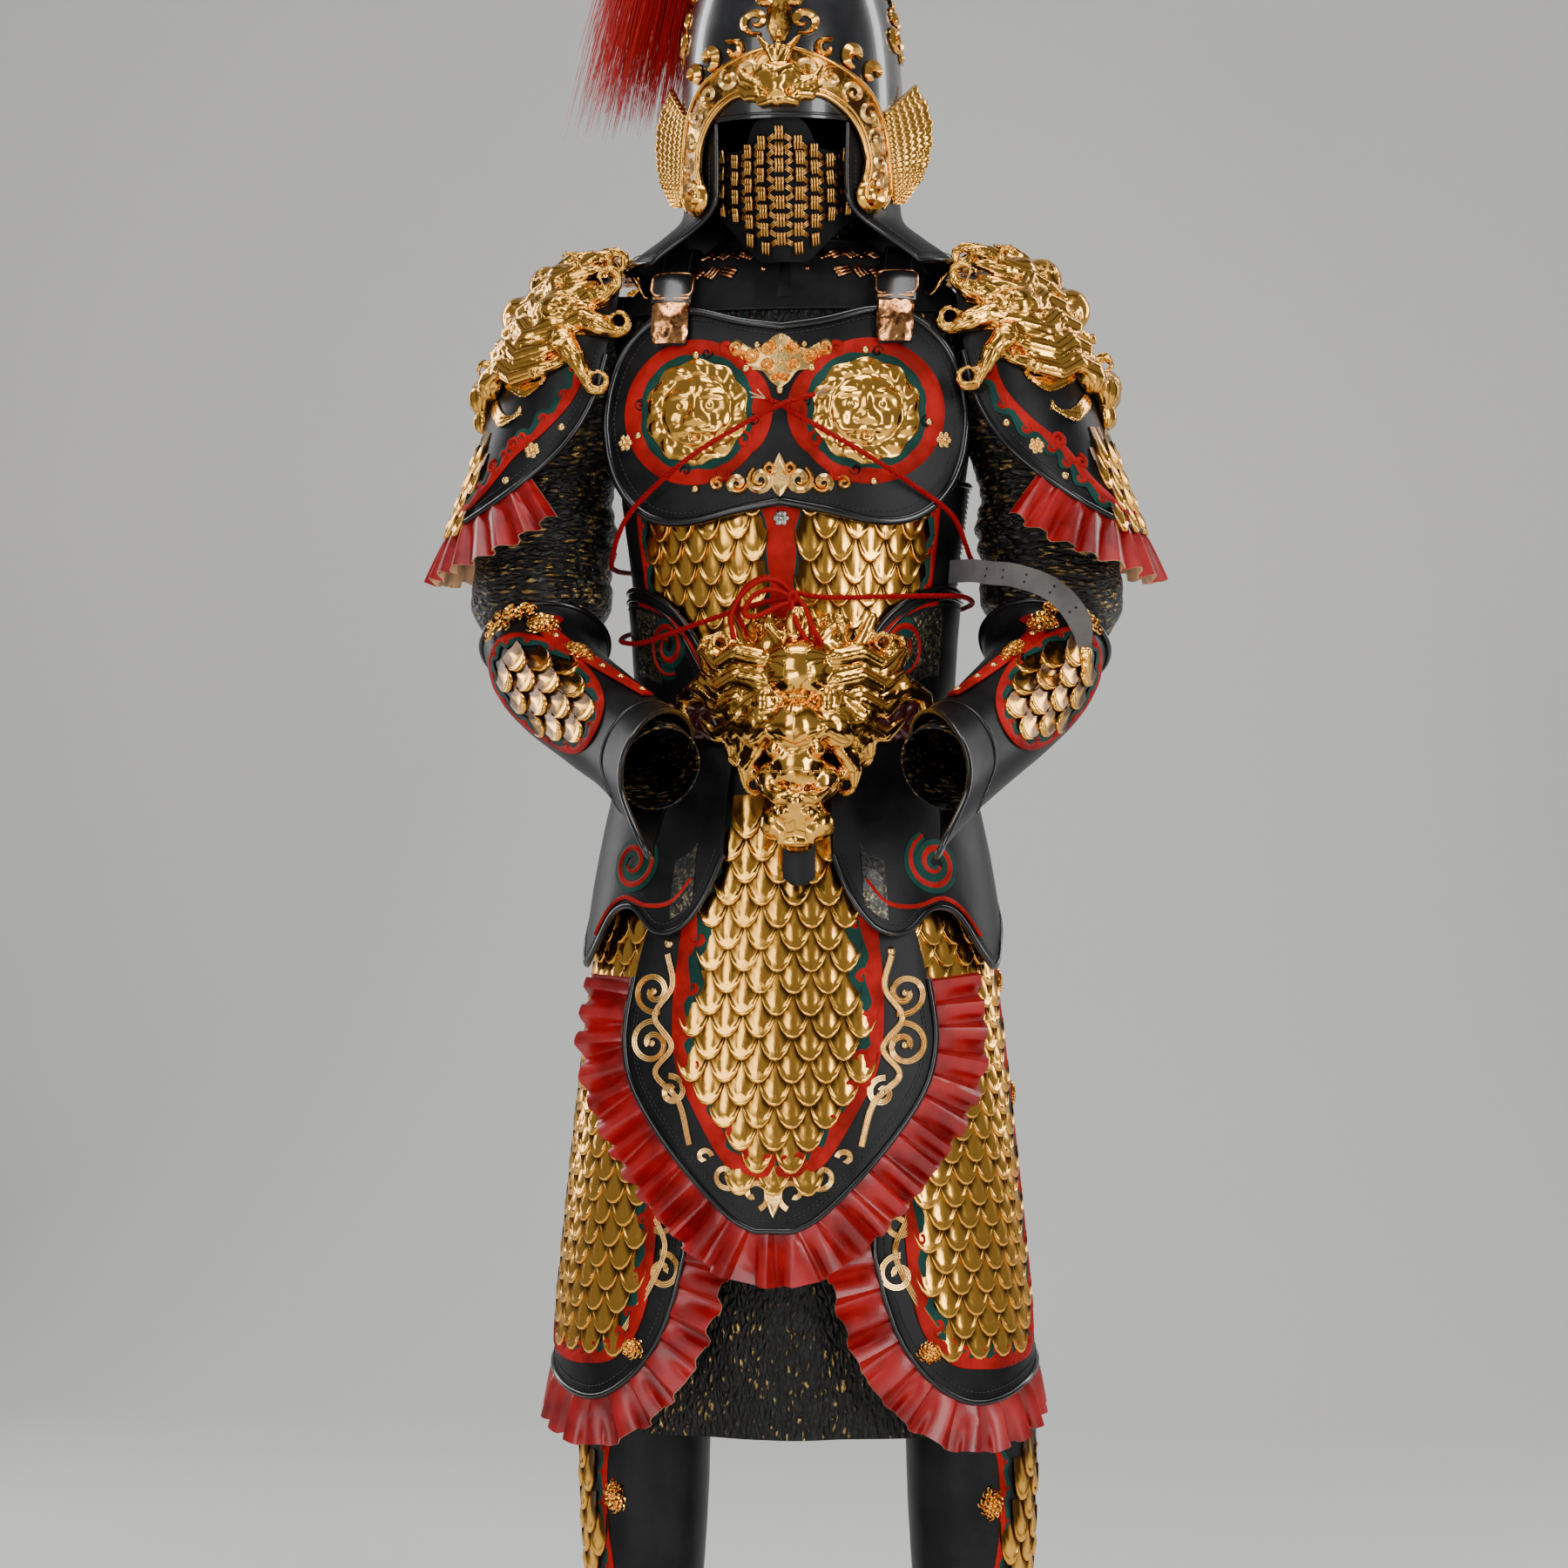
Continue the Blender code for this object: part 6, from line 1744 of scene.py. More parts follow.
# %% Waist wrap and belt
WRAP_EDGE = Table(
    "degrees high low",
    (16, -0.44, -0.555),
    (20, -0.415, -0.59),
    (27, -0.375, -0.622),
    (36, -0.338, -0.628),
    (46, -0.316, -0.606),
    (56, -0.306, -0.612),
    (66, -0.302, -0.648),
    (74, -0.302, -0.664),
    (84, -0.304, -0.64),
    (100, -0.304, -0.612),
    (120, -0.3, -0.64),
    (150, -0.296, -0.61),
    (180, -0.294, -0.64),
)
WRAP_START, WRAP_OUT = 16, -0.3 * MM
BELT_Z, BELT_HALF = -0.43, 0.02
BELT_WIDE, BELT_FRONT, BELT_BACK = 0.1671, 0.1356, 0.1251


def wrap_place(u, kind):
    degrees = mix(WRAP_START, 360 - WRAP_START, u)
    return math.radians(degrees), WRAP_EDGE(kind, near(degrees))


def waist_wrap():
    def place(u, v):
        angle, low = wrap_place(u, "low")
        return angle, mix(low, wrap_place(u, "high")[1], v)

    body = leather_panel("waist_wrap", WRAP_FORM, place, WRAP_OUT, LEATHER, 108, 20)
    rows = [[wrap_place(k / 150, kind) for k in range(151)] for kind in ("low", "high")]
    low = Edge(WRAP_FORM, rows[0], WRAP_OUT + LEATHER * 0.5)
    high = Edge(WRAP_FORM, rows[1][::-1], WRAP_OUT + LEATHER * 0.5)
    parts = [
        body,
        pipe("welts", [low.line(), high.line()], 3 * MM, "glossy_piping"),
        pipe("inner_welt", [high.line(-9 * MM, LEATHER * 0.6)], 2 * MM, "glossy_piping"),
        stitches("wrap_stitches", [low.line(-8 * MM, LEATHER * 0.6), high.line(-15 * MM, LEATHER * 0.6)]),
    ]
    piece(joined("waist_wrap", parts), "black_leather", "waist_wrap")


WRAP_BANDS = (  # two red bands, in degrees and metres
    ((62, -0.316), (52, -0.321), (42, -0.334), (34, -0.356), (28, -0.386)),
    ((25, -0.578), (31, -0.6), (40, -0.604), (50, -0.597), (58, -0.608), (66, -0.634)),
)
WRAP_SPIRALS = ((45, -0.358, 250), (48.5, -0.564, 110))  # degrees, height and first direction
WRAP_LAYERS = (("green_applique", 6 * MM, 1.4 * MM), ("red_applique", 2.3 * MM, 2.6 * MM))


def wrap_patch(side, first, last, edge, base, tall, across, down):
    """A patch of gilt hide between two angles. Base is its height over an edge of the wrap."""

    def spot(u, v, face):
        degrees = mix(first, last, u)
        low = WRAP_EDGE(edge, degrees) + base
        out = WRAP_OUT + LEATHER + 1.2 * MM * face * soft(v)
        return WRAP_FORM.point(side * math.radians(degrees), mix(low, low + tall, v), out)

    return wall("wrap_patch", spot, across, down, "dark_gilt_hide")


def wrap_trims():
    out, grip = WRAP_OUT + LEATHER, 0.16
    parts = []
    for _, side in SIDES:
        for route in WRAP_BANDS:
            band = [(a, b, -2 * MM, 2 * MM) for a, b in on_side(side, route)]
            parts.append(strip("wrap_band", WRAP_FORM, band, out, 2.2 * MM, "red_applique", 50, 2, grip=grip))
        for angle, z, start in on_side(side, WRAP_SPIRALS):
            for finish, half, rise in WRAP_LAYERS:
                rows = curl(angle, z, 0.028, 1.6, mirrored(start, side), side, half, grip, 24)
                parts.append(strip("wrap_spiral", WRAP_FORM, rows, out, rise, finish, 80, 2, grip=grip))
        parts.append(wrap_patch(side, 49, 66, "high", -0.083, 0.065, 12, 14))
        parts.append(wrap_patch(side, 24, 31, "low", 0.012, 0.055, 8, 12))
    piece(joined("wrap_trims", parts), "red_leather")


def belt():
    """A plait of three thick strands."""
    strands, turns = 3, 26
    paths = []
    for k in range(strands):
        path = []
        for i in range(turns * 8):
            angle = 2 * math.pi * i / (turns * 8)
            phase = turns * angle + 2 * math.pi * k / strands
            grow = 5.5 * MM + 2.0 * MM * math.sin(2 * phase)
            depth = BELT_FRONT if math.cos(angle) > 0 else BELT_BACK
            place = ((BELT_WIDE + grow) * math.sin(angle), -(depth + grow) * math.cos(angle))
            path.append(Vector((*place, BELT_Z + (BELT_HALF - 7 * MM) * math.sin(phase))))
        paths.append(path)
    plait = pipe("belt", paths, 6.2 * MM, "plaited_dark_red", 8, cyclic=True)

    def tongue(u, v, face):
        z = mix(-0.583, -0.545, v)
        half = 0.015 * min(1.0, 0.45 + 3 * v)
        place = Vector((BUCKLE_SHIFT + half * (2 * u - 1), 0, z))
        place.y = -0.172 - (4 * MM + 3 * MM * math.sin(math.pi * u)) * face
        return place

    piece(plait, "braid", "belt")
    piece(wall("belt_tongue", tongue, 12, 16, "satin_black_leather"), "black_leather")


waist_wrap()
wrap_trims()
belt()
print("waist", TALLY[-4:])

# %% [markdown]
# The apron hangs in front of the thighs. Its scales run down the middle inside red and green
# trimming, wire scrolls stand beside them, and a box-pleated ruffle hangs from its edge. The
# ruffle is thin glossy leather: its back and its raw edges are cream.

# %% The apron
APRON_OUTLINE = Table(
    "z half",
    (-0.44, 0.06),
    (-0.5, 0.082),
    (-0.57, 0.108),
    (-0.64, 0.13),
    (-0.7, 0.1425),
    (-0.735, 0.145),
    (-0.775, 0.135),
    (-0.825, 0.102),
    (-0.87, 0.062),
    (-0.893, 0.036),
    (-0.902, 0.018),
)
APRON_TOP, APRON_LOW, APRON_RUFFLE_TOP = -0.44, -0.902, -0.672
APRON_FIELD = Table(
    "z half",
    (-0.47, 0.05),
    (-0.56, 0.066),
    (-0.64, 0.078),
    (-0.7, 0.084),
    (-0.75, 0.08),
    (-0.79, 0.062),
    (-0.83, 0.036),
)
SEAM, RUFFLE = 1.4 * MM, 1.2 * MM


def pleat(p):
    """A pleat's swing over one wave: a long flat face and a quick return under it."""
    p %= 1
    return -1 + 2 * p / 0.84 if p < 0.84 else 1 - 2 * (p - 0.84) / 0.16


def ruffle(name, edge, waves, wide, depth, *nodes):
    """A pleated strip along an edge, nearly flat where it is sewn and fluted at its free edge."""

    def spot(u, v, face):
        wave = waves * u + 0.06 * math.sin(2.9 * waves * u)
        uneven = 1 + 0.16 * math.sin(2.3 * waves * u + 1.1)
        swing = sum(pleat(wave + k * 0.025) for k in (-1, 0, 1)) / 3
        lift = mix(1.6 * MM, depth * uneven * 0.92, v**0.55) * swing
        lean = 0.3 * v * math.sin(2 * math.pi * wave + 0.9) / (waves * 2)
        reach = SEAM + wide * v * (1 + 0.03 * math.sin(5.1 * waves * u))
        at = min(max(u + lean, 0), 1)
        return edge.at(at, reach, lift) + edge.lift_at(u) * (RUFFLE * (face - 0.5))

    made = wall(name, spot, waves * 14, 8, "glossy_red_leather", inner="cream_flesh_side", sharp=35)
    return piece(made, "red_leather", *nodes)


def apron_row(v):
    return mix(APRON_LOW, APRON_TOP, 1 - math.cos(0.5 * math.pi * v))


def apron_edge():
    rows = [apron_row(i / 40) for i in range(41)]
    rows = [z for z in rows if z < APRON_RUFFLE_TOP] + [APRON_RUFFLE_TOP]
    half = [(APRON_OUTLINE("half", z), z) for z in reversed(rows)]
    return [(-x, z) for x, z in half] + [(x, z) for x, z in reversed(half)]


def apron():
    def place(u, v):
        z = apron_row(v)
        return APRON_OUTLINE("half", z) * (2 * u - 1), z

    body = leather_panel("apron", APRON_FORM, place, 0.0, LEATHER, 44, 52)
    edge = Edge(APRON_FORM, apron_edge(), LEATHER * 0.5)
    piece(bound("apron", body, edge, 9 * MM, 12 * MM), "black_leather", "apron")
    ruffle("apron_ruffle", edge, 28, 0.05, 9 * MM, "apron_ruffle")


APRON_BAND = (  # x and z of the trimming down the left side
    (0.058, -0.505),
    (0.072, -0.56),
    (0.084, -0.64),
    (0.089, -0.7),
    (0.085, -0.75),
    (0.067, -0.79),
    (0.042, -0.832),
    (0.02, -0.846),
    (0.0, -0.846),
)


def apron_field():
    out = LEATHER + 0.4 * MM

    def inside(a, b):
        return abs(a) < APRON_FIELD("half", b) - 0.004 and b > -0.845

    grid = (-0.093, 0.031, -0.5, 0.0205, 17, 6)
    scale_field("apron_scales", "broad_scale", APRON_FORM, inside, grid, out, 1.0)
    parts = []
    for side in (1, -1):
        route = [(side * x, z) for x, z in APRON_BAND][::-side]
        parts += trimming("apron_trim", APRON_FORM, route, out + 0.6 * MM, 1.0, 11, 9 * MM, 150)
    piece(joined("apron_trims", parts), "red_leather")


WIRE_SCROLL = (  # x, z, radius, turns, start and hand of the spirals down the left side
    (0.1165, -0.685, 0.02, 1.35, 250, 1),
    (0.117, -0.733, 0.021, 1.35, 100, -1),
    (0.0975, -0.776, 0.014, 1.15, 80, 1),
)
SCROLL_SPINE = (
    (0.104, -0.65),
    (0.0985, -0.68),
    (0.115, -0.708),
    (0.0975, -0.735),
    (0.113, -0.76),
    (0.09, -0.785),
    (0.079, -0.825),
)


def wire(form, points, out, gap=2.0 * MM):
    """Three wires side by side along (a, b) points."""
    edge = Edge(form, points, out)
    paths = [edge.line(k * gap, 0.0, step=3 * MM) for k in (-1, 0, 1)]
    return pipe("wires", paths, 1.0 * MM, "bright_gold_trim", 5)


def scroll_points(a, b, radius, turns, start, hand, grip):
    """A line of places that winds in to a spiral's middle."""
    count, made = 44, []
    for k in range(count):
        t = k / (count - 1)
        angle = math.radians(start) + hand * 2 * math.pi * turns * t
        reach = radius * (1 - 0.8 * t)
        made.append((a + reach * math.cos(angle) / grip, b + reach * math.sin(angle)))
    return made


def spiral_wires(form, rows, side, out, grip=1.0, gap=2.0 * MM):
    """A wire spiral for each row: a, b, radius, turns, start and hand on the left side."""
    made = []
    for a, b, radius, turns, start, hand in rows:
        points = scroll_points(side * a, b, radius, turns, mirrored(start, side), hand * side, grip)
        made.append(wire(form, points, out, gap))
    return made


def smooth_line(points, count):
    """That many points on a smooth curve through the ones given."""
    axes = "abc"[: len(points[0])]
    route = Table("s " + " ".join(axes), *((i, *p) for i, p in enumerate(points)))
    steps = ((len(points) - 1) * i / (count - 1) for i in range(count))
    return [tuple(route(axis, s) for axis in axes) for s in steps]


PALMETTE = (  # metres from the middle, height, radius, turns, start and hand of each pair
    (0.018, -0.868, 0.015, 0.95, 250, -1),
    (0.044, -0.852, 0.014, 0.95, 200, 1),
    (0.065, -0.836, 0.008, 0.8, 170, -1),
)


def apron_ornaments():
    out = LEATHER + 1.6 * MM
    for side_name, side in SIDES:
        parts = spiral_wires(APRON_FORM, WIRE_SCROLL, side, out)
        spine = [(side * x, z) for x, z in smooth_line(SCROLL_SPINE, 50)]
        parts.append(wire(APRON_FORM, spine, out + 0.5 * MM))
        beads = [(side * x, z) for x, z, *_ in WIRE_SCROLL]
        parts.append(studs("scroll_beads", APRON_FORM, beads, out, 3.4 * MM))
        piece(joined("apron_scroll", parts), "gold", f"apron_scroll_{side_name}")
    leaf = Table("x high low", (0.0, -0.843, -0.89), (0.004, -0.854, -0.882), (0.008, -0.864, -0.872))
    parts = [ornament("palmette", APRON_FORM, leaf, LEATHER + GAP, 3.4 * MM)]
    for side in (1, -1):
        parts += spiral_wires(APRON_FORM, PALMETTE, side, out, gap=1.7 * MM)
    piece(joined("apron_palmette", parts), "gold", "apron_palmette")
    spots = [(-0.104, -0.64), (0.104, -0.646)]
    piece(studs("apron_studs", APRON_FORM, spots, LEATHER, 4.5 * MM), "gold")


apron()
apron_field()
apron_ornaments()
print("apron", TALLY[-7:])

# %% [markdown]
# A thigh skirt hangs at each side, with a long field of scales to the front and side, and a
# ruffle that starts high on its front edge and goes round its bottom.

# %% Thigh skirts
SKIRT_EDGE = Table(
    "degrees low",
    (24, -0.93),
    (27, -0.982),
    (31, -1.018),
    (38, -1.05),
    (48, -1.07),
    (60, -1.07),
    (75, -1.058),
    (90, -1.046),
    (105, -1.036),
    (120, -1.014),
    (130, -0.982),
    (135, -0.95),
    (138, -0.91),
)
SKIRT_TOP, SKIRT_START, SKIRT_END = -0.445, 24, 138
SKIRT_RUFFLE_TOP, SKIRT_RUFFLE_BACK = -0.835, -0.86
SKIRT_FIELD = Table(
    "z front rear",
    (-0.47, 38, 84),
    (-0.7, 38, 84),
    (-0.85, 37, 84),
    (-0.96, 38, 83),
    (-1.01, 44, 78),
)
SKIRT_GRIP = 0.2


def thigh_skirt(side_name, side):
    def place(u, v):
        degrees = mix(SKIRT_START, SKIRT_END, u)
        return side * math.radians(degrees), mix(SKIRT_EDGE("low", degrees), SKIRT_TOP, v)

    spots = [mix(SKIRT_START, SKIRT_END, i / 52) for i in range(53)]
    rows = [(degrees, SKIRT_EDGE("low", degrees)) for degrees in spots]
    rows = [(SKIRT_START, SKIRT_RUFFLE_TOP), *rows, (SKIRT_END, SKIRT_RUFFLE_BACK)]
    edge = Edge(SKIRT_FORM, on_side(side, rows), LEATHER * 0.5, outward=side)
    body = leather_panel("thigh_skirt", SKIRT_FORM, place, 0.0, LEATHER, 50, 32)
    piece(bound("skirt", body, edge, 9 * MM), "black_leather", f"thigh_skirt_{side_name}")
    ruffle(f"thigh_ruffle_{side_name}", edge, 26, 0.046, 9 * MM, f"thigh_ruffle_{side_name}")


SKIRT_BANDS = (  # degrees and height of the trimming before and behind the scales
    ((35.5, -0.61), (35, -0.75), (34, -0.88), (36, -0.98), (43, -1.024), (55, -1.034), (66, -1.034)),
    ((86, -0.61), (86.5, -0.75), (86.5, -0.88), (85.5, -0.98), (79, -1.024), (66, -1.034)),
)
SKIRT_SPIRALS = (  # degrees, height, radius, turns, start and hand
    (30, -0.9, 0.017, 1.25, 90, -1),
    (29.5, -0.948, 0.018, 1.3, 80, 1),
    (91.5, -0.955, 0.013, 1.1, 120, 1),
    (93, -0.985, 0.015, 1.1, 80, -1),
)
SKIRT_SPINE = ((29, -0.855), (33, -0.89), (29, -0.925), (33, -0.965), (40, -1.005))
SKIRT_NUGGETS = (
    (37, -1.022, 0.05, 0.008, 4.5 * MM),
    (95, -0.68, 0.05, 0.012, 5 * MM),
    (96, -0.79, 0.05, 0.012, 5 * MM),
)


def thigh_field(side_name, side):
    out = LEATHER + 0.4 * MM

    def inside(a, b):
        degrees = math.degrees(side * a)
        return SKIRT_FIELD("front", b) < degrees < SKIRT_FIELD("rear", b) and b > -1.018

    grid = (side * math.radians(38.5), side * math.radians(9.2), -0.6, 0.0205, 21, 5)
    scale_field(f"thigh_scales_{side_name}", "broad_scale", SKIRT_FORM, inside, grid, out, SKIRT_GRIP)
    parts = []
    for band, order, lobes in zip(SKIRT_BANDS, (side, -side), (12, 11)):
        route = on_side(side, band)[::order]
        parts += trimming("skirt_trim", SKIRT_FORM, route, out + 0.6 * MM, SKIRT_GRIP, lobes, 8 * MM, 140)
    piece(joined("skirt_trims", parts), "red_leather", name=f"skirt_trims_{side_name}")
    rows = on_side(1, SKIRT_SPIRALS)
    wires = spiral_wires(SKIRT_FORM, rows, side, out + 1.2 * MM, SKIRT_GRIP)
    spine = on_side(side, smooth_line(SKIRT_SPINE, 50))
    wires.append(wire(SKIRT_FORM, spine, out + 1.4 * MM))
    wires.append(filigree("skirt_nuggets", SKIRT_FORM, on_side(side, SKIRT_NUGGETS), out))
    piece(joined("skirt_ornaments", wires), "gold", name=f"skirt_ornaments_{side_name}")


for side_name, side in SIDES:
    thigh_skirt(side_name, side)
    thigh_field(side_name, side)
print("skirts", TALLY[-10:])

# %% [markdown]
# A shoulder guard is a leather bell with a ruffle under it. Its trimming follows its edge, and
# a row of scales shows below the beast.

# %% Shoulder guards
PAULDRON_EDGE = Table(
    "degrees low",
    (0, -0.248),
    (20, -0.246),
    (45, -0.233),
    (65, -0.212),
    (85, -0.18),
    (97, -0.148),
    (104, -0.11),
    (106, -0.08),
)
PAULDRON_REACH, PAULDRON_TOP, BELL_GRIP = 106, -0.006, 0.1


PAULDRON_BAND = (  # degrees and height of the trimming down the front
    (92, -0.085),
    (88, -0.12),
    (76, -0.15),
    (62, -0.172),
    (54, -0.19),
    (44, -0.212),
    (26, -0.232),
    (0, -0.236),
)


def pauldron(side_name, side):
    form = BELLS[side]

    def place(u, v):
        degrees = mix(-PAULDRON_REACH, PAULDRON_REACH, u)
        return math.radians(degrees), mix(PAULDRON_EDGE("low", abs(degrees)), PAULDRON_TOP, v)

    def rim(reach):
        spots = (mix(-reach, reach, k / 80) for k in range(81))
        rows = on_side(1, [(d, PAULDRON_EDGE("low", abs(d))) for d in spots])
        return Edge(form, rows, LEATHER * 0.5, outward=-side)

    body = leather_panel("pauldron", form, place, 0.0, LEATHER, 60, 28)
    piece(bound("pauldron", body, rim(PAULDRON_REACH), 9 * MM), "black_leather", f"pauldron_{side_name}")
    sewn_on = rim(PAULDRON_REACH * 10 / 14)
    ruffle(f"pauldron_ruffle_{side_name}", sewn_on, 16, 0.048, 8 * MM, f"pauldron_ruffle_{side_name}")

    def inside(a, b):
        return abs(math.degrees(a)) < 40

    out, grid = LEATHER + 0.6 * MM, (-0.7, 0.2, -0.15, 0.0205, 4, 7)
    node = f"pauldron_scales_{side_name}"
    scale_field(node, "broad_scale", form, inside, grid, LEATHER + 0.4 * MM, BELL_GRIP)
    parts, dots, flowers = [], [], []
    for turn in (1, -1):
        route = on_side(turn, PAULDRON_BAND)[:: turn * side]
        parts += trimming("pauldron_trim", form, route, out, BELL_GRIP, 9, 6.5 * MM, 110)
        for angle, z, start in on_side(turn, ((60, -0.166, 0), (50, -0.186, 90))):
            rows = curl(angle, z, 7 * MM, 1.2, mirrored(start, turn), turn, 2 * MM, BELL_GRIP)
            parts.append(
                strip("pauldron_curl", form, rows, out, 2.6 * MM, "red_applique", 34, grip=BELL_GRIP),
            )
        dots += on_side(turn, ((88, -0.15), (62, -0.2), (30, -0.243)))
        flowers += on_side(turn, ((74, -0.172),))
    piece(joined("pauldron_trims", parts), "red_leather", name=f"pauldron_trims_{side_name}")
    gold = [
        studs("pauldron_studs", form, dots, LEATHER, 4 * MM),
        studs("pauldron_rosettes", form, flowers, out, 8.5 * MM, "rosette"),
    ]
    piece(joined("pauldron_gilt", gold), "gold", name=f"pauldron_gilt_{side_name}")


for side_name, side in SIDES:
    pauldron(side_name, side)
print("shoulder guards", TALLY[-10:])

# %% [markdown]
# The forearm guards are leather tubes that flare over the hand. On the outer side an oval field
# of scales lies in red and green trimming, between a red strap and two lumps of filigree.

# %% Forearm and shin guards
BRACER_START, BRACER_END = 0.7, 0.965
BRACER_FIELD, BRACER_FIELD_HALF = 33, 44
BRACER_FLAP = Table(
    "degrees reach",
    (-180, 0.0),
    (-110, 0.01),
    (-60, 0.075),
    (-25, 0.13),
    (10, 0.075),
    (60, 0.045),
    (110, 0.02),
    (180, 0.0),
)
ARM_LENGTH = 0.7  # metres that one unit of b stands for on the forearm


def bracer_out(s):
    elbow = max(0.0, (0.8 - s) / 0.1)
    hand = max(0.0, (s - 0.93) / 0.1)
    return CLOTH + 3 * MM + 6 * MM * elbow**2 + 9 * MM * hand**1.5


BRACER_STRAP = ((104, 0.15), (89, 0.118), (99, 0.06), (112, 0.014))
BRACER_STUDS = ((90, 0.112), (98, 0.058), (103, 0.04), (110, 0.02))
BRACER_PATCHES = (  # degrees, metres from the wrist, half sizes and curl size
    (60, 0.168, 0.55, 0.014, 6.5 * MM),
    (88, 0.134, 0.22, 0.016, 6 * MM),
    (93, 0.082, 0.13, 0.015, 5 * MM),
)


class Bracer(Form):
    """The outside of a forearm guard: a is an angle, b is metres from the wrist to the elbow."""

    steps = (0.02, 0.003)

    def __init__(self, side):
        self.arm, self.turn = ARMS[side], -side

    def bare(self, a, b):
        s = BRACER_END - b / ARM_LENGTH
        return self.arm.point(a, s, bracer_out(s) + LEATHER)


def bracer(side_name, side):
    arm, face_form = ARMS[side], Bracer(side)

    def spot(u, v, face):
        degrees = mix(-180, 180, u)
        end = BRACER_END + BRACER_FLAP("reach", degrees)
        s = level(v, BRACER_START, 0.78, 0.88, 0.94, end)
        dent = 0.4 * MM * noise.noise(Vector((u * 9, v * 9, side)))
        return arm.point(math.radians(degrees), s, bracer_out(s) + dent + LEATHER * face)

    def rim(v):
        return [spot(k / 90, v, 1) for k in range(90)]

    parts = [
        wall("bracer", spot, 56, 34, "satin_black_leather", ring=True),
        pipe("bracer_piping", [rim(0.0), rim(1.0)], 2.8 * MM, "glossy_piping", cyclic=True),
        pipe("bracer_welt", [rim(0.86)], 1.8 * MM, "glossy_piping", cyclic=True),
    ]
    piece(joined("bracer", parts), "black_leather", f"bracer_{side_name}")
    grip, middle = 0.055, math.radians(BRACER_FIELD)
    mid_b, half_b, half_a = 0.08, 0.062, math.radians(BRACER_FIELD_HALF)

    def inside(a, b):
        return ((a - middle) / half_a) ** 2 + ((b - mid_b) / half_b) ** 2 < 0.92

    step = 2 * half_a / 3.6
    grid = (middle - 3 * step, step, 0.156, 0.0225, 7, 6)
    scale_field(f"bracer_scales_{side_name}", "flat_scale", face_form, inside, grid, 0.2 * MM, grip, 1.75)
    parts = []
    for first in (0, math.pi):
        turn = [first + math.pi * k / 12 for k in range(13)]
        loop = [(middle + 1.12 * half_a * math.cos(t), mid_b + 1.12 * half_b * math.sin(t)) for t in turn]
        parts += trimming("bracer_trim", face_form, loop, 0.8 * MM, grip, 7, 4.5 * MM, 80)
    band = [(a, b, -9 * MM, 9 * MM) for a, b in on_side(1, BRACER_STRAP)]
    parts.append(strip("bracer_strap", face_form, band, 1.6 * MM, 2.4 * MM, "red_applique", 60, 8, grip=grip))
    piece(joined("bracer_trims", parts), "red_leather", name=f"bracer_trims_{side_name}")
    gold = [
        filigree("bracer_filigree", face_form, on_side(1, BRACER_PATCHES), 2.4 * MM),
        studs("bracer_studs", face_form, on_side(1, BRACER_STUDS), 3.6 * MM, 3.6 * MM),
    ]
    piece(joined("bracer_gilt", gold), "gold", name=f"bracer_gilt_{side_name}")


SHIN_LOW, SHIN_TOP, SHIN_FIELD = -1.43, -1.105 - 1.05 * MM, 66
SHIN_BAND = ((1.25, -1.112), (1.0, -1.15), (0.95, -1.21), (1.1, -1.27), (0.7, -1.33))


def shin_guard(side_name, side):
    form = SHINS[side]

    def place(u, v):
        return 2 * math.pi * u, mix(SHIN_LOW, SHIN_TOP, v)

    rims = [hoop(form, z, LEATHER * 0.6, 80) for z in (SHIN_LOW + 3 * MM, SHIN_TOP - 3 * MM)]
    parts = [
        leather_panel("shin_guard", form, place, 0.0, LEATHER, 52, 20, ring=True),
        pipe("shin_piping", rims, 2.6 * MM, "glossy_piping", cyclic=True),
    ]
    piece(joined("shin_guard", parts), "black_leather", f"shin_guard_{side_name}")
    middle, grip = side * math.radians(SHIN_FIELD), 0.056

    def inside(a, b):
        return ((a - middle) / math.radians(25)) ** 2 + ((b + 1.2) / 0.078) ** 2 < 1

    step = math.radians(24)
    grid = (middle - 2 * step, step, -1.118, 0.0205, 9, 4)
    scale_field(f"shin_scales_{side_name}", "broad_scale", form, inside, grid, LEATHER + 0.4 * MM, grip)
    parts = []
    for shift, order in ((-34, 1), (34, -1)):
        route = [(middle + math.radians(shift * k), z) for k, z in SHIN_BAND][::order]
        parts += trimming("shin_trim", form, route, LEATHER, grip, 8, 3.4 * MM, 70)
    piece(joined("shin_trims", parts), "red_leather", name=f"shin_trims_{side_name}")
    patches = on_side(side, ((22, -1.182, 0.16, 0.014, 5 * MM),))
    piece(filigree("shin_gilt", form, patches, LEATHER), "gold", name=f"shin_gilt_{side_name}")


for side_name, side in SIDES:
    bracer(side_name, side)
    shin_guard(side_name, side)
print("arms and shins", TALLY[-16:])

# %% [markdown]
# The helmet is a lacquered bowl under a gilt arch. The arch has a moulded inner rim and an
# engraved field, a lion's face in the middle, cloud curls along its top and a round boss at
# the foot of each leg. Barbed feathers fan out behind it.

# %% Castings
def ball(fine):
    """The points and faces of a unit sphere."""
    bm = bmesh.new()
    bmesh.ops.create_icosphere(bm, subdivisions=fine, radius=1)
    bm.verts.ensure_lookup_table()
    made = [v.co.copy() for v in bm.verts], [[v.index for v in f.verts] for f in bm.faces]
    bm.free()
    return made


BALLS = ball(2), ball(3)


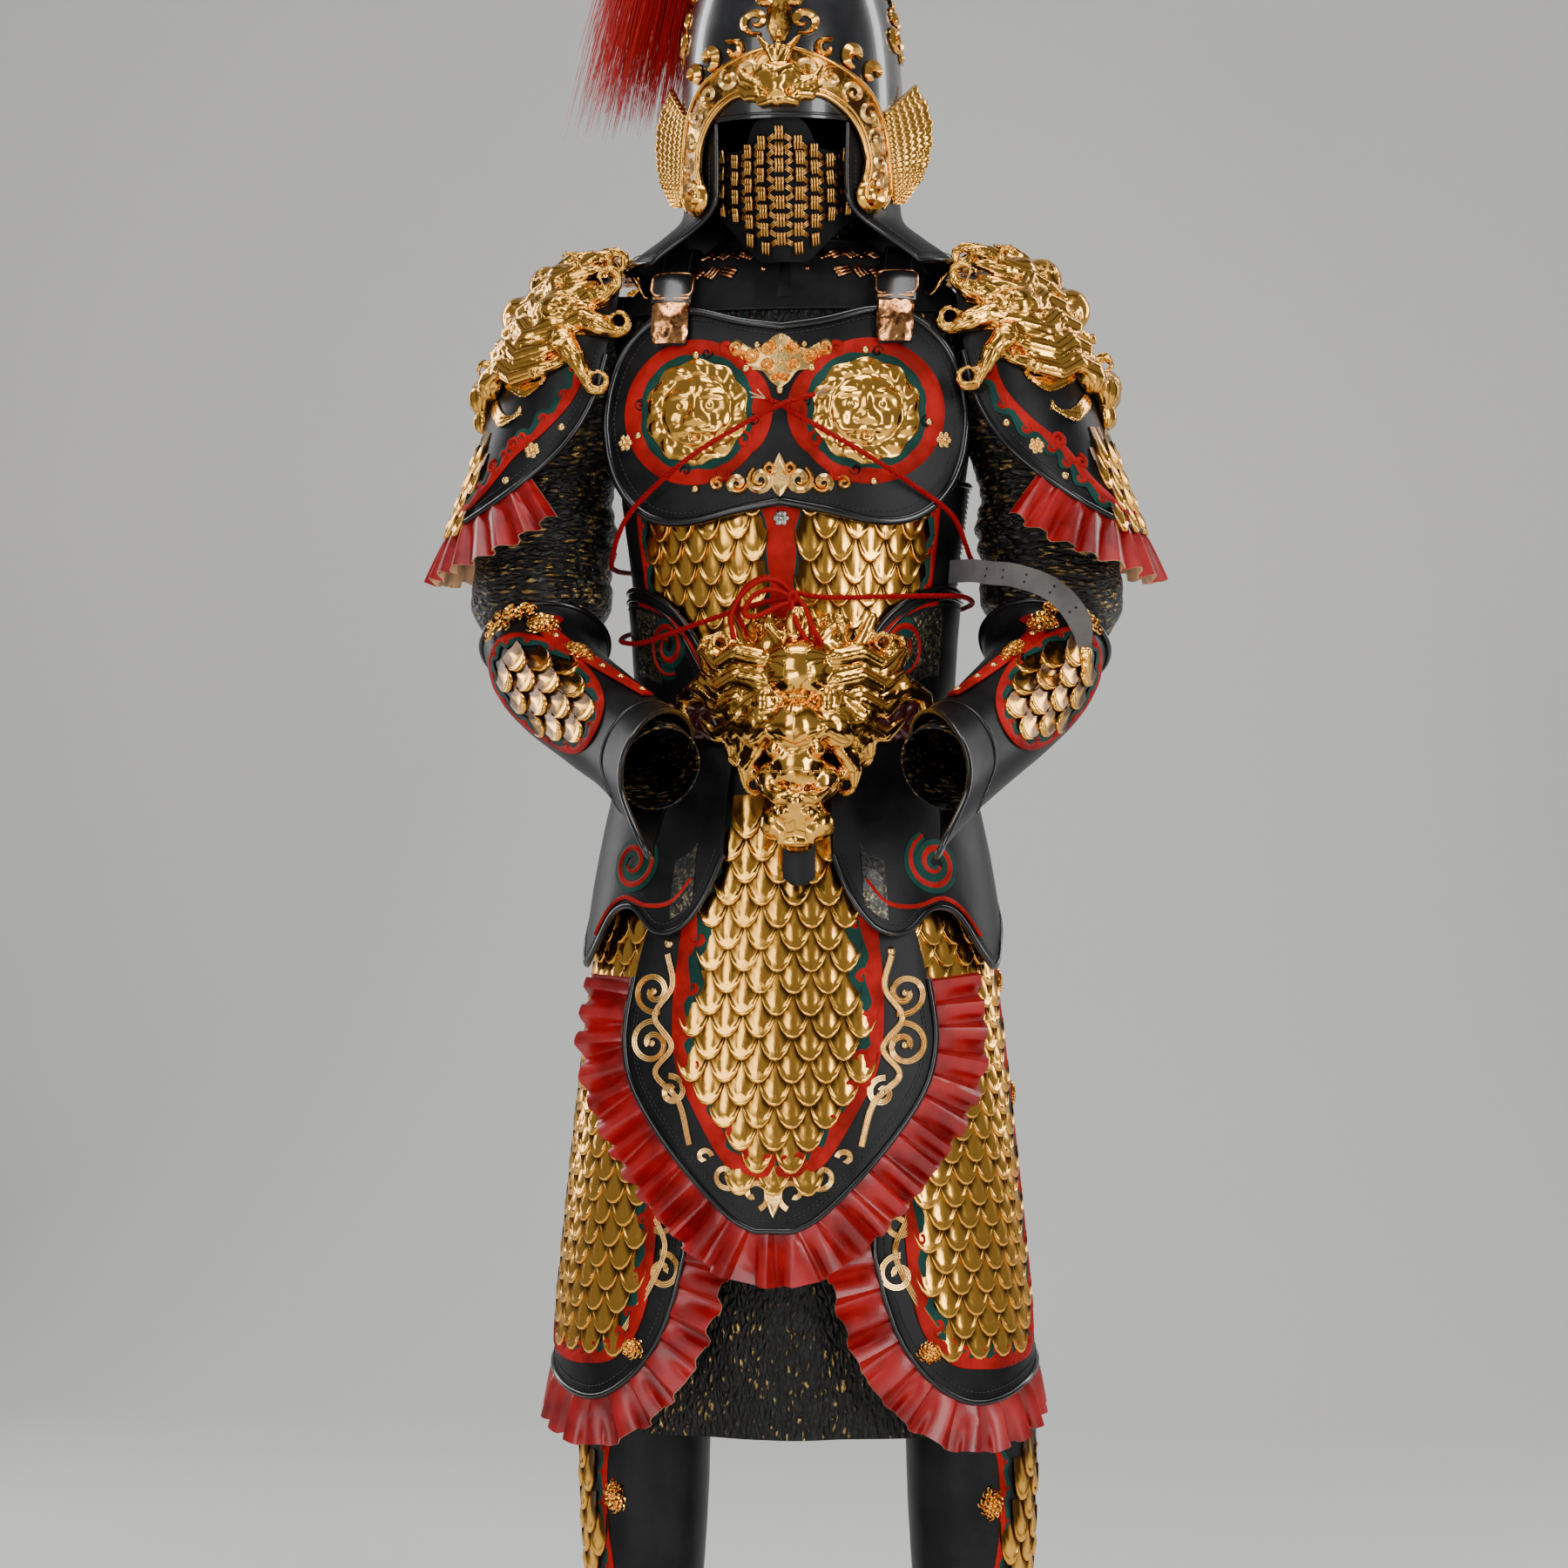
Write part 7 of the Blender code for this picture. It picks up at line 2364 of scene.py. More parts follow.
def lumps(name, parts, finish, voxel=2.9 * MM):
    """Balls and tapering horns melted into one skin, then carved with flutes along each lock.
    Each part is (points, radii, flute depth), a single point being a ball."""
    samples, verts, faces = [], [], []
    for points, radii, depth in parts:
        count = max(1, (len(points) - 1) * 5)
        for i in range(count + 1 if len(points) > 1 else 1):
            step, share = divmod(i / 5, 1)
            step = int(step)
            after = min(step + 1, len(points) - 1)
            place = points[step].lerp(points[after], share)
            radius = mix(radii[step], radii[after], share)
            ball_verts, ball_faces = BALLS[radius > 0.01]
            first = len(verts)
            verts += [place + radius * spot for spot in ball_verts]
            faces += [[first + i for i in face] for face in ball_faces]
            way = points[after] - points[max(after - 1, 0)]
            strands = round(math.pi * max(radii) / (6 * MM)) if depth else 0
            samples.append(
                (place, way.normalized() if way.length else Vector((0, 0, 1)), radius, depth, i, strands),
            )
    mesh = bpy.data.meshes.new(name)
    mesh.from_pydata(verts, [], faces)
    made = add_object(name, mesh, finish)
    skin = made.modifiers.new("skin", "REMESH")
    skin.mode, skin.voxel_size = "VOXEL", voxel
    soften = made.modifiers.new("soft", "SMOOTH")
    soften.factor, soften.iterations = 0.6, 6
    graph = bpy.context.evaluated_depsgraph_get()
    cast = bpy.data.meshes.new_from_object(made.evaluated_get(graph), depsgraph=graph)
    bpy.data.objects.remove(made)
    made = add_object(name, cast, finish)
    tree = KDTree(len(samples))
    for i, sample in enumerate(samples):
        tree.insert(sample[0], i)
    tree.balance()
    moved, strand = [], cast.attributes.new("strand", "FLOAT", "POINT")
    for vert in cast.vertices:
        _, i, _ = tree.find(vert.co)
        place, way, radius, depth, along, strands = samples[i]
        lift = 0.25 * MM * noise.noise(vert.co * 260)
        if depth:
            side = way.cross(Vector((0.31, 0.2, 0.93))).normalized()
            off = vert.co - place
            turn = math.atan2(off.dot(way.cross(side)), off.dot(side))
            flutes = max(3, round(2 * math.pi * radius / (11 * MM)))
            lift += 0.55 * depth * math.cos(flutes * turn + 0.16 * along)
            strand.data[vert.index].value = 2 * strands * abs(turn) + 1
        moved.append(vert.co + vert.normal * lift)
    for vert, place in zip(cast.vertices, moved):
        vert.co = place
    cast.shade_smooth()
    return made


def kept_off(made, *seats):
    """Moves the points that lie inside a seat out to its surface."""
    for vert in made.data.vertices:
        for seat in seats:
            vert.co = seat(vert.co)
    return made


def hooked(points, radii, hand=1):
    """A lock whose end curls over, seen from the front: its last direction turned on in steps."""
    points, radii = list(points), list(radii)
    way = (points[-1] - points[-2]).normalized()
    radius = max(radii[-1], 4 * MM)
    for k in range(5):
        way = Matrix.Rotation(hand * math.radians(56), 3, "Y") @ way
        points.append(points[-1] + way * radius * (2.1 - 0.15 * k))
        radii.append(radius * (0.95 - 0.14 * k))
    return points, radii


def cast_parts(rows, centre, axis):
    """Parts for lumps(), and their mirror images across an axis through a centre. A row is flute
    depth, hand of its curled end or 0, then x, y, z and radius of beads, all in millimetres."""
    made = []
    for depth, hand, *beads in rows:
        points = [Vector([c / 1000 for c in bead[:3]]) for bead in beads]
        radii = [bead[3] / 1000 for bead in beads]
        if hand:
            points, radii = hooked(points, radii, hand)
        for turn in (1, -1):
            if turn > 0 or any(abs(point[axis]) > 1e-6 for point in points):
                flip = Vector([turn if k == axis else 1 for k in range(3)])
                made.append(([centre + point * flip for point in points], radii, depth * MM))
    return made


# %% The helmet
BOWL, RIM_Z = 2.5 * MM, 0.135
BROW_HALF = (
    (0, 0.176, 0.027),
    (12, 0.176, 0.022),
    (26, 0.17, 0.017),
    (41, 0.153, 0.018),
    (50, 0.129, 0.017),
    (54, 0.101, 0.016),
    (54, 0.078, 0.019),
    (51, 0.06, 0.012),
)
BROW_OUT, BROW_THICK, BROW_GRIP = BOWL + 1.1 * MM, 5 * MM, 0.103
CREST = Table(
    "z half",
    (0.205, 0.014),
    (0.222, 0.032),
    (0.236, 0.03),
    (0.25, 0.012),
    (0.268, 0.024),
    (0.29, 0.026),
    (0.31, 0.012),
    (0.33, 0.018),
    (0.355, 0.006),
)
FINIAL = Table(
    "z r",
    (0.3789, 0.0285),
    (0.39, 0.025),
    (0.399, 0.013),
    (0.41, 0.021),
    (0.422, 0.011),
    (0.445, 0.0085),
    (0.47, 0.01),
)


def bowl():
    def spot(u, v, face):
        z = level(v, RIM_Z, 0.2, 0.26, 0.31, 0.347, 0.376)
        return HEAD_FORM.point(2 * math.pi * u, z, BOWL * face)

    body = wall("helmet_bowl", spot, 84, 28, "helmet_lacquer", ring=True)
    rim = hoop(HEAD_FORM, RIM_Z + 0.004, BOWL * 0.8)
    edge = pipe("bowl_rim", [rim], 1.8 * MM, "glossy_piping", cyclic=True)
    piece(joined("helmet_bowl", [body, edge]), "helmet_black", "helmet_bowl")


BROW_CURLS = (  # metres from the middle, height, radius, turns, start, hand and half width
    (0.091, 0.066, 0.017, 1.5, 90, 1, 3.4 * MM),
    (0.072, 0.196, 0.0125, 0.75, 250, -1, 4.0 * MM),
    (0.095, 0.184, 0.0115, 0.75, 230, -1, 3.8 * MM),
    (0.043, 0.2, 0.01, 0.9, 60, 1, 3.0 * MM),
)


BROW_FACE = (
    (0, 0, (0, -6, 170, 17)),
    (0, 0, (0, -16, 160, 7.5)),
    (0, 0, (4.5, -18, 157, 4.2)),
    (0, 0, (12, -11, 173, 6)),
    (0, 0, (12, -15.5, 172.5, 3)),
    (0.6, 0, (3, -14, 178, 3.5), (13, -14, 181, 4.5), (21, -8, 177, 3)),
    (0.7, 0, (2, -10, 184, 4), (10, -10, 199, 4.5), (20, -4, 212, 2.2)),
    (0.6, 0, (0, -8, 188, 6), (0, -10, 204, 4)),
    (0.8, 0, (20, -6, 166, 7), (33, -2, 172, 6), (40, 4, 184, 3)),
    (0.8, 0, (18, -8, 156, 6), (30, -3, 156, 6), (40, 3, 164, 3)),
    (0.5, 0, (8, -14, 150, 5.5), (17, -10, 148, 4.5)),
    (0, 0, (0, -14, 149, 5.5)),
)


def brow_moulding(v):
    inner = bump(v, 0.06, 0.05) + 0.7 * bump(v, 0.2, 0.035)
    return 0.42 + 0.3 * inner + 0.24 * bump(v, 0.95, 0.04) + 0.1 * math.sin(math.pi * v)


def brow():
    route = [(math.radians(-d), z, -h, h) for d, z, h in reversed(BROW_HALF)]
    route += [(math.radians(d), z, -h, h) for d, z, h in BROW_HALF[1:]]
    shape = {"grip": BROW_GRIP, "profile": brow_moulding}
    parts = [strip("helmet_brow", HEAD_FORM, route, BROW_OUT, BROW_THICK, "gold_ground", 120, 10, **shape)]
    at, reach = follow(route, BROW_GRIP)
    for share, radius in ((-0.93, 2.2 * MM), (-0.66, 1.3 * MM), (0.92, 1.8 * MM)):
        spots = (at(k / 110, share * reach(k / 110)[1]) for k in range(111))
        rim = [HEAD_FORM.point(a, b, BROW_OUT + 3.2 * MM) for a, b, _ in spots]
        parts.append(pipe("brow_rim", [rim], radius, "polished_gold"))
    for k in range(18):
        u = (k + 0.5) / 18
        hand = (1 if k % 2 else -1) * (1 if u > 0.5 else -1)
        a, b, heading = at(u, 0.16 * reach(u)[1])
        line = curl(a, b, 0.64 * reach(u)[1], 1.2, heading + 90 * hand, hand, 2.0 * MM, BROW_GRIP)
        out, finish = BROW_OUT + 1.6 * MM, "bright_gold_trim"
        parts.append(strip("brow_curl", HEAD_FORM, line, out, 3.2 * MM, finish, 26, 2, grip=BROW_GRIP))
    rows, finish = BROW_CURLS, "polished_gold"
    parts += scrollwork("brow_cloud", HEAD_FORM, rows, BROW_OUT, 6.5 * MM, finish, BROW_GRIP, steps=40)
    face = cast_parts(BROW_FACE, Vector((0, -0.1415, 0)), 0)
    parts.append(lumps("brow_face", face, "carved_gold", 1.8 * MM))
    piece(joined("helmet_brow", parts), "gold", "helmet_brow")


CREST_SCROLLS = (
    (0.019, 0.226, 0.013, 1.15, 250, 1, 2.3 * MM),
    (0.011, 0.248, 0.009, 1.1, 100, -1, 2.0 * MM),
    (0.016, 0.278, 0.012, 1.15, 260, 1, 2.2 * MM),
    (0.009, 0.3, 0.0085, 1.1, 100, -1, 1.9 * MM),
    (0.0095, 0.325, 0.009, 1.1, 260, 1, 1.8 * MM),
)


def crests():
    out, grip = BOWL + 1.1 * MM, 0.088
    for name, degrees in (("front", 0), ("left", 90), ("right", -90)):
        middle = math.radians(degrees)

        def spot(u, v, face, middle=middle):
            z = mix(0.206, 0.352, v)
            half = CREST("half", z)
            rise = 1.0 if min(u, 1 - u) * 2 * half < 2.0 * MM else 0.5
            angle = middle + 0.36 * half / HEAD("wide", z) * (2 * u - 1)
            return HEAD_FORM.point(angle, z, out + 1.4 * MM * rise * face)

        parts = [wall("crest", spot, 16, 48, "gold_ground", thin=True)]
        parts += scrollwork(
            "crest_scroll", HEAD_FORM, CREST_SCROLLS, out, 4 * MM, "polished_gold", grip, middle, 26,
        )
        beads = [(middle, z) for z in (0.213, 0.262, 0.289, 0.311, 0.341, 0.349)]
        parts.append(studs("crest_beads", HEAD_FORM, beads, out + 1 * MM, 3.6 * MM, finish="polished_gold"))
        piece(joined("crest", parts), "gold", f"helmet_crest_{name}")


WING_ROOT = Table("u degrees z", (0.0, 68, 0.064), (0.4, 67, 0.094), (1.0, 61, 0.15))
WING_TIP = Table(
    "u x y z",
    (0.0, 0.114, -0.056, 0.066),
    (0.3, 0.129, -0.024, 0.096),
    (0.6, 0.135, 0.0, 0.138),
    (0.8, 0.131, 0.006, 0.168),
    (1.0, 0.118, -0.006, 0.19),
)
FEATHERS = 6


def wing(side_name, side):
    """A crescent of long feathers, each with a midrib and slanting barbs."""

    def spot(u, v, face):
        share = min(v, 0.9999) * FEATHERS % 1
        root = HEAD_FORM.point(math.radians(WING_ROOT("degrees", u)), WING_ROOT("z", u), BOWL + 0.3 * MM)
        tip = Vector([WING_TIP(k, u) for k in "xyz"])
        reach = v * (1 - 0.35 * (1 - u) ** 3) * (1 - 0.06 * v * abs(math.sin(7 * math.pi * u)))
        ridge = 3.4 * MM * math.sin(math.pi * share) ** 0.7
        barb = 1.1 * MM * math.sin(2 * math.pi * (19 * u + 0.9 * share))
        lift = (1.6 * MM + ridge + barb) * face
        place = root.lerp(tip, reach) + Vector((0.92, -0.38, 0)) * lift
        return Vector((side * place.x, place.y, place.z))

    fan = wall("wing", spot, 96, 30, "polished_gold", sharp=60, thin=True)
    piece(fan, "gold", f"helmet_wing_{side_name}")


def finial():
    def spot(u, v, face):
        z = mix(FINIAL.at[0], FINIAL.at[-1], v)
        turn = 2 * math.pi * u
        bead = 0.5 * MM * math.sin(2 * math.pi * v * 9)
        lobes = 1 + 0.05 * math.cos(12 * turn) * (0.405 < z < 0.418 or z < 0.388)
        radius = (FINIAL("r", z) + bead) * lobes if face else 0.003
        return Vector((radius * math.sin(turn), HEAD_Y - radius * math.cos(turn), z))

    made = wall("helmet_finial", spot, 34, 48, "polished_gold", ring=True, sharp=60)
    piece(made, "gold", "helmet_finial")


bowl()
brow()
crests()
for side_name, side in SIDES:
    wing(side_name, side)
finial()
print("helmet", TALLY[-8:])

# %% [markdown]
# The plume is horsehair: guide lines come from its solid's locks, and the last tree copies
# each guide many times, spreads the copies apart towards their ends, trims them unevenly and
# turns them into hairs that narrow to a point.


# %% Tree: hair
def scaled(graph, vector, amount):
    """A vector times a number."""
    made = graph.node("ShaderNodeVectorMath", {"operation": "SCALE"}, vector)
    graph.feed(made.socket.node.inputs["Scale"], amount)
    return made


def hair_tree():
    inputs = {"Amount": "Int", "Spread": "Float", "Radius": "Float", "Seed": "Int", "Finish": "Material"}
    graph, given = new_tree("hair", **inputs)
    whole = {"domain": "SPLINE"}
    copies = graph.node("GeometryNodeDuplicateElements", whole, given["Geometry"], Amount=given["Amount"])
    index = graph.node("GeometryNodeInputIndex")
    spline = graph.node("GeometryNodeFieldOnDomain", {"domain": "CURVE", "data_type": "INT"}, index)

    def chance(kind, shift, *ends, out=0):
        """A random value for each hair."""
        seed = given["Seed"] + shift if shift else given["Seed"]
        settings = {"data_type": kind}
        return graph.node("FunctionNodeRandomValue", settings, *ends, out=out, ID=spline, Seed=seed)

    wander = chance("FLOAT_VECTOR", 0, (-1, -1, -1), (1, 1, 1))
    share = graph.node("GeometryNodeSplineParameter")
    offset = scaled(graph, wander, given["Spread"] * (0.25 + share**0.8))
    wave = graph.node("ShaderNodeTexNoise", {"noise_dimensions": "4D"}, Scale=22.0, Detail=1.0)
    ident = chance("FLOAT", 5, out=1)
    graph.feed(wave.socket.node.inputs["W"], ident * 9)
    sway = Term(graph, wave.socket.node.outputs["Color"])
    bend = graph.node("ShaderNodeVectorMath", {"operation": "SUBTRACT"}, sway, (0.5, 0.5, 0.5))
    bend = scaled(graph, bend, given["Spread"] * share * 1.6)
    moved = graph.node("ShaderNodeVectorMath", {"operation": "ADD"}, offset, bend)
    hairs = graph.node("GeometryNodeSetPosition", None, copies, Offset=moved)
    hairs = graph.node("GeometryNodeTrimCurve", None, hairs, End=0.8 + ident * 0.2)
    store = {"data_type": "FLOAT", "domain": "POINT"}
    tone = chance("FLOAT", 9, out=1)
    hairs = graph.node("GeometryNodeStoreNamedAttribute", store, hairs, Name="tone", Value=tone)
    thin = 1.0 - 0.75 * share**3
    circle = graph.node("GeometryNodeCurvePrimitiveCircle", None, Resolution=3, Radius=given["Radius"])
    tube = graph.node("GeometryNodeCurveToMesh", None, hairs, circle, Scale=thin)
    return close_tree(graph, tube, given["Finish"])


HAIR = hair_tree()
PLUME_ROOT = Vector((0, HEAD_Y, 0.4884))
PLUME_LEAN = Vector((-0.45, 0.25, 0.85)).normalized()
PLUME_SIDE = (Vector((1, 0, 0)) - PLUME_LEAN.x * PLUME_LEAN).normalized()
PLUME_CROWN, PLUME_END = PLUME_ROOT + 0.16 * PLUME_LEAN, Vector((-0.175, 0.07, 0.15))
PLUME_SPREAD, PLUME_RISE, PLUME_HEAD, PLUME_GUIDES = 0.09, 2.6, 0.018, 60


def plume():
    """Guides on a disc of roots: each arches over in order and falls to the wearer's right."""
    guides = []
    across = PLUME_LEAN.cross(PLUME_SIDE)
    for k in range(PLUME_GUIDES):
        reach, angle = 0.62 * math.sqrt((k + 0.5) / PLUME_GUIDES), GOLDEN_ANGLE * k
        side, back = reach * math.cos(angle), reach * math.sin(angle)
        lift = (PLUME_LEAN + PLUME_SIDE * side * 1.1 + across * back * 1.1).normalized()
        start = PLUME_ROOT + lift * PLUME_HEAD * 0.8
        outer, behind = PLUME_SPREAD * lift.dot(PLUME_SIDE), PLUME_SPREAD * lift.dot(across)
        crown = PLUME_CROWN + Vector((0, behind, PLUME_RISE * outer))
        end = PLUME_END + Vector((-outer, behind, 0.04 * ((k * 0.618) % 1)))
        steps = [i / 10 for i in range(11)]
        guides.append([start * (1 - t) ** 2 + 2 * t * (1 - t) * crown + end * t * t for t in steps])
    settings = {"Amount": 24, "Spread": 0.014, "Radius": 0.55 * MM, "Seed": 11}
    made = grown("plume", lines("plume", guides), HAIR, "red_horsehair", **settings)
    piece(made, "horsehair", "plume")
    root = lumps("plume_root", [([PLUME_ROOT], (PLUME_HEAD,), 0)], "red_horsehair")
    piece(root, "horsehair")


plume()
print("plume", TALLY[-2:])

# %% [markdown]
# The neck guard is leather, flared over the shoulders. The mask is soft black cloth with a
# plating of bronze links in front, woven like bricks that lean to and fro.

# %% Neck guard and mask
AVENTAIL_TOP, AVENTAIL_NECK = RIM_Z - 0.8 * MM, 0.062
AVENTAIL_OPEN, AVENTAIL_OPEN_LOW = 37, 52  # degrees from the front at which it starts
AVENTAIL_EDGE = Table(
    "degrees low",
    (37, 0.01),
    (52, 0.008),
    (70, 0.01),
    (95, 0.01),
    (120, -0.006),
    (150, -0.034),
    (180, -0.045),
)


def aventail_place(u, v):
    share = level(v, 0.0, 0.25, 0.5, 0.7, 1.0)
    start = mix(AVENTAIL_OPEN_LOW, AVENTAIL_OPEN, min(share / 0.7, 1.0))
    degrees = mix(start, 360 - start, u)
    if share < 0.7:
        z = mix(AVENTAIL_EDGE("low", near(degrees)), AVENTAIL_NECK, share / 0.7)
    else:
        z = mix(AVENTAIL_NECK, AVENTAIL_TOP, (share - 0.7) / 0.3)
    return math.radians(degrees), z


def aventail():
    body = leather_panel("aventail", AVENTAIL_FORM, aventail_place, 0.0, 2.5 * MM, 72, 20)
    trail = [aventail_place(0, 1 - k / 30) for k in range(31)]
    trail += [aventail_place(k / 120, 0) for k in range(1, 121)]
    trail += [aventail_place(1, k / 30) for k in range(1, 31)]
    edge = Edge(AVENTAIL_FORM, trail, 1.2 * MM)
    parts = [
        body,
        pipe("aventail_piping", [edge.line()], 2.8 * MM, "glossy_piping"),
        stitches("aventail_stitches", [edge.line(-9 * MM, 1.6 * MM, 0.03, 0.97)]),
    ]
    piece(joined("aventail", parts), "black_leather", "aventail")


MASK_EDGE = Table(
    "degrees high low",
    (0, 0.142, 0.006),
    (12, 0.134, 0.006),
    (24, 0.112, 0.008),
    (45, 0.112, 0.03),
    (70, 0.128, 0.058),
    (90, 0.132, 0.08),
)
LINK_FIELD = Table(  # the plated part's half width in metres
    "z half",
    (0.018, 0.001),
    (0.02, 0.022),
    (0.034, 0.034),
    (0.052, 0.05),
    (0.07, 0.066),
    (0.09, 0.079),
    (0.106, 0.074),
    (0.114, 0.04),
    (0.124, 0.016),
    (0.134, 0.004),
)


LINK_WIDE, LINK_TALL = 0.0138, 0.0162  # from one link to the next
LINK_SIZE, TIE_SIZE = (9.6 * MM, 13.6 * MM, 11 * MM), (5.5 * MM, 9 * MM, 6 * MM)


class MaskFace(Form):
    """The mask's outer face, with the swell of a nose: a is an angle and b is z."""

    def bare(self, a, b):
        degrees = math.degrees(a)
        nose = 12 * MM * bump(degrees, 0, 14) * bump(b, 0.095, 0.04)
        return FACE_FORM.point(a, b, CLOTH + nose)


def mask():
    face_form = MaskFace()

    def spot(u, v, face):
        degrees = mix(-90, 90, u)
        z = mix(MASK_EDGE("low", abs(degrees)), MASK_EDGE("high", abs(degrees)), v)
        return face_form.point(math.radians(degrees), z, CLOTH * (face - 1) - 1e-6)

    made = wall("mask", spot, 80, 22, "matt_black_cloth")
    piece(made, "black_cloth", "mask")
    rows = []
    for column in range(-5, 6):
        x = LINK_WIDE * column
        for row in range(7):
            z = 0.125 - LINK_TALL * row - (0.5 * LINK_TALL if column % 2 else 0.0)
            if abs(x) > LINK_FIELD("half", z):
                continue
            a = math.asin(min(0.99, abs(x) / FACE("wide", z))) * (1 if x > 0 else -1)
            rows.append(facing(face_form, a, z, 2.4 * MM, LINK_SIZE, 4 * column))
            for turn in (-1, 1):
                if abs(x + turn * 0.5 * LINK_WIDE) <= LINK_FIELD("half", z - 0.5 * LINK_TALL):
                    shift = a + turn * 0.5 * LINK_WIDE / FACE("wide", z)
                    rows.append(facing(face_form, shift, z - 0.0042, 0.4 * MM, TIE_SIZE, 58 * turn))
    links = sow("mask_links", rows, SHAPES["link"], "bronze_link")
    piece(links, "gold")


aventail()
mask()
print("neck guard and mask", TALLY[-3:])

# %% [markdown]
# The two shoulder beasts and the buckle are castings. They keep the lumps of their solids and
# add what a carver would: brows, eyes, nostrils, teeth and fluted locks.

# %% Beasts
BEAST_BEADS = (  # degrees from outward, height, distance off the guard and radius
    (0, -0.015, 0.016, 0.023),
    (0, -0.044, 0.018, 0.022),
    (14, -0.052, 0.014, 0.013),
    (34, -0.01, 0.01, 0.019),
    (36, -0.032, 0.01, 0.013),
    (58, -0.042, 0.008, 0.02),
    (50, -0.07, 0.006, 0.017),
    (38, -0.09, 0.006, 0.015),
    (24, -0.106, 0.012, 0.016),
    (0, -0.112, 0.014, 0.018),
    (10, -0.118, 0.014, 0.016),
    (8, -0.138, 0.006, 0.012),
)
MANE = (  # one lock of the mane: degrees, rise, distance off the guard and radius
    (24, 0.0, 0.018, 0.009),
    (38, 0.007, 0.016, 0.01),
    (52, -0.003, 0.013, 0.009),
    (66, 0.004, 0.01, 0.008),
    (80, 0.012, 0.007, 0.005),
)
BEAST_BODY = (
    (0.9, 0, (205, 0, -6, 26)),
    (0.9, 0, (190, 22, 0, 20)),
    (0.9, 0, (183, 0, 8, 18)),
    (0.9, 0, (158, 20, -10, 19.7)),
    (1, -1, (215, 26, 0, 12), (190, 34, 18, 10), (168, 36, 27, 5)),
    (1, 1, (200, 62, -24, 15), (176, 78, -22, 11), (160, 82, -12, 5)),
    (1, 1, (200, 80, -44, 15), (176, 94, -52, 11), (158, 94, -60, 5)),
    (1, 1, (212, 94, -66, 13), (196, 106, -86, 10), (184, 108, -114, 5)),
    (1, 1, (286, 20, -98, 7), (292, 20, -88, 6), (294, 19, -80, 4)),
)
BEAST_FACE = (
    (0.8, 0, (262, 14, -22, 6), (250, 30, -14, 7.5), (232, 40, -16, 4)),
    (0, 0, (268, 17, -34, 8.5)),
    (0, 0, (275.5, 19, -34.5, 4.8)),
    (0, 0, (290, 8, -60, 5.8)),
    (0.8, 0, (284, 18, -60, 6), (276, 30, -58, 6), (262, 40, -52, 3)),
    (0, 0, (284, 12, -72, 4.2), (286, 12, -84, 1.8)),
    (0, 0, (270, 26, -76, 4), (270, 27, -86, 1.6)),
    (1.2, 1, (240, 52, -50, 8), (222, 70, -48, 8), (206, 78, -34, 3)),
    (1.2, 1, (244, 56, -78, 8), (224, 78, -84, 8), (210, 90, -74, 3)),
    (1.2, 1, (254, 46, -100, 8), (240, 66, -112, 8), (228, 80, -106, 3)),
    (1.2, 1, (262, 34, -124, 7), (254, 50, -140, 7), (246, 62, -138, 3)),
    (1, 0, (276, 10, -134, 6), (276, 16, -150, 5), (272, 24, -156, 2)),
    (1, 0, (226, 18, 14, 6), (212, 16, 24, 6), (196, 12, 30, 3)),
    (1.2, 1, (236, 36, -6, 7), (220, 50, 2, 7), (204, 56, 10, 3)),
)
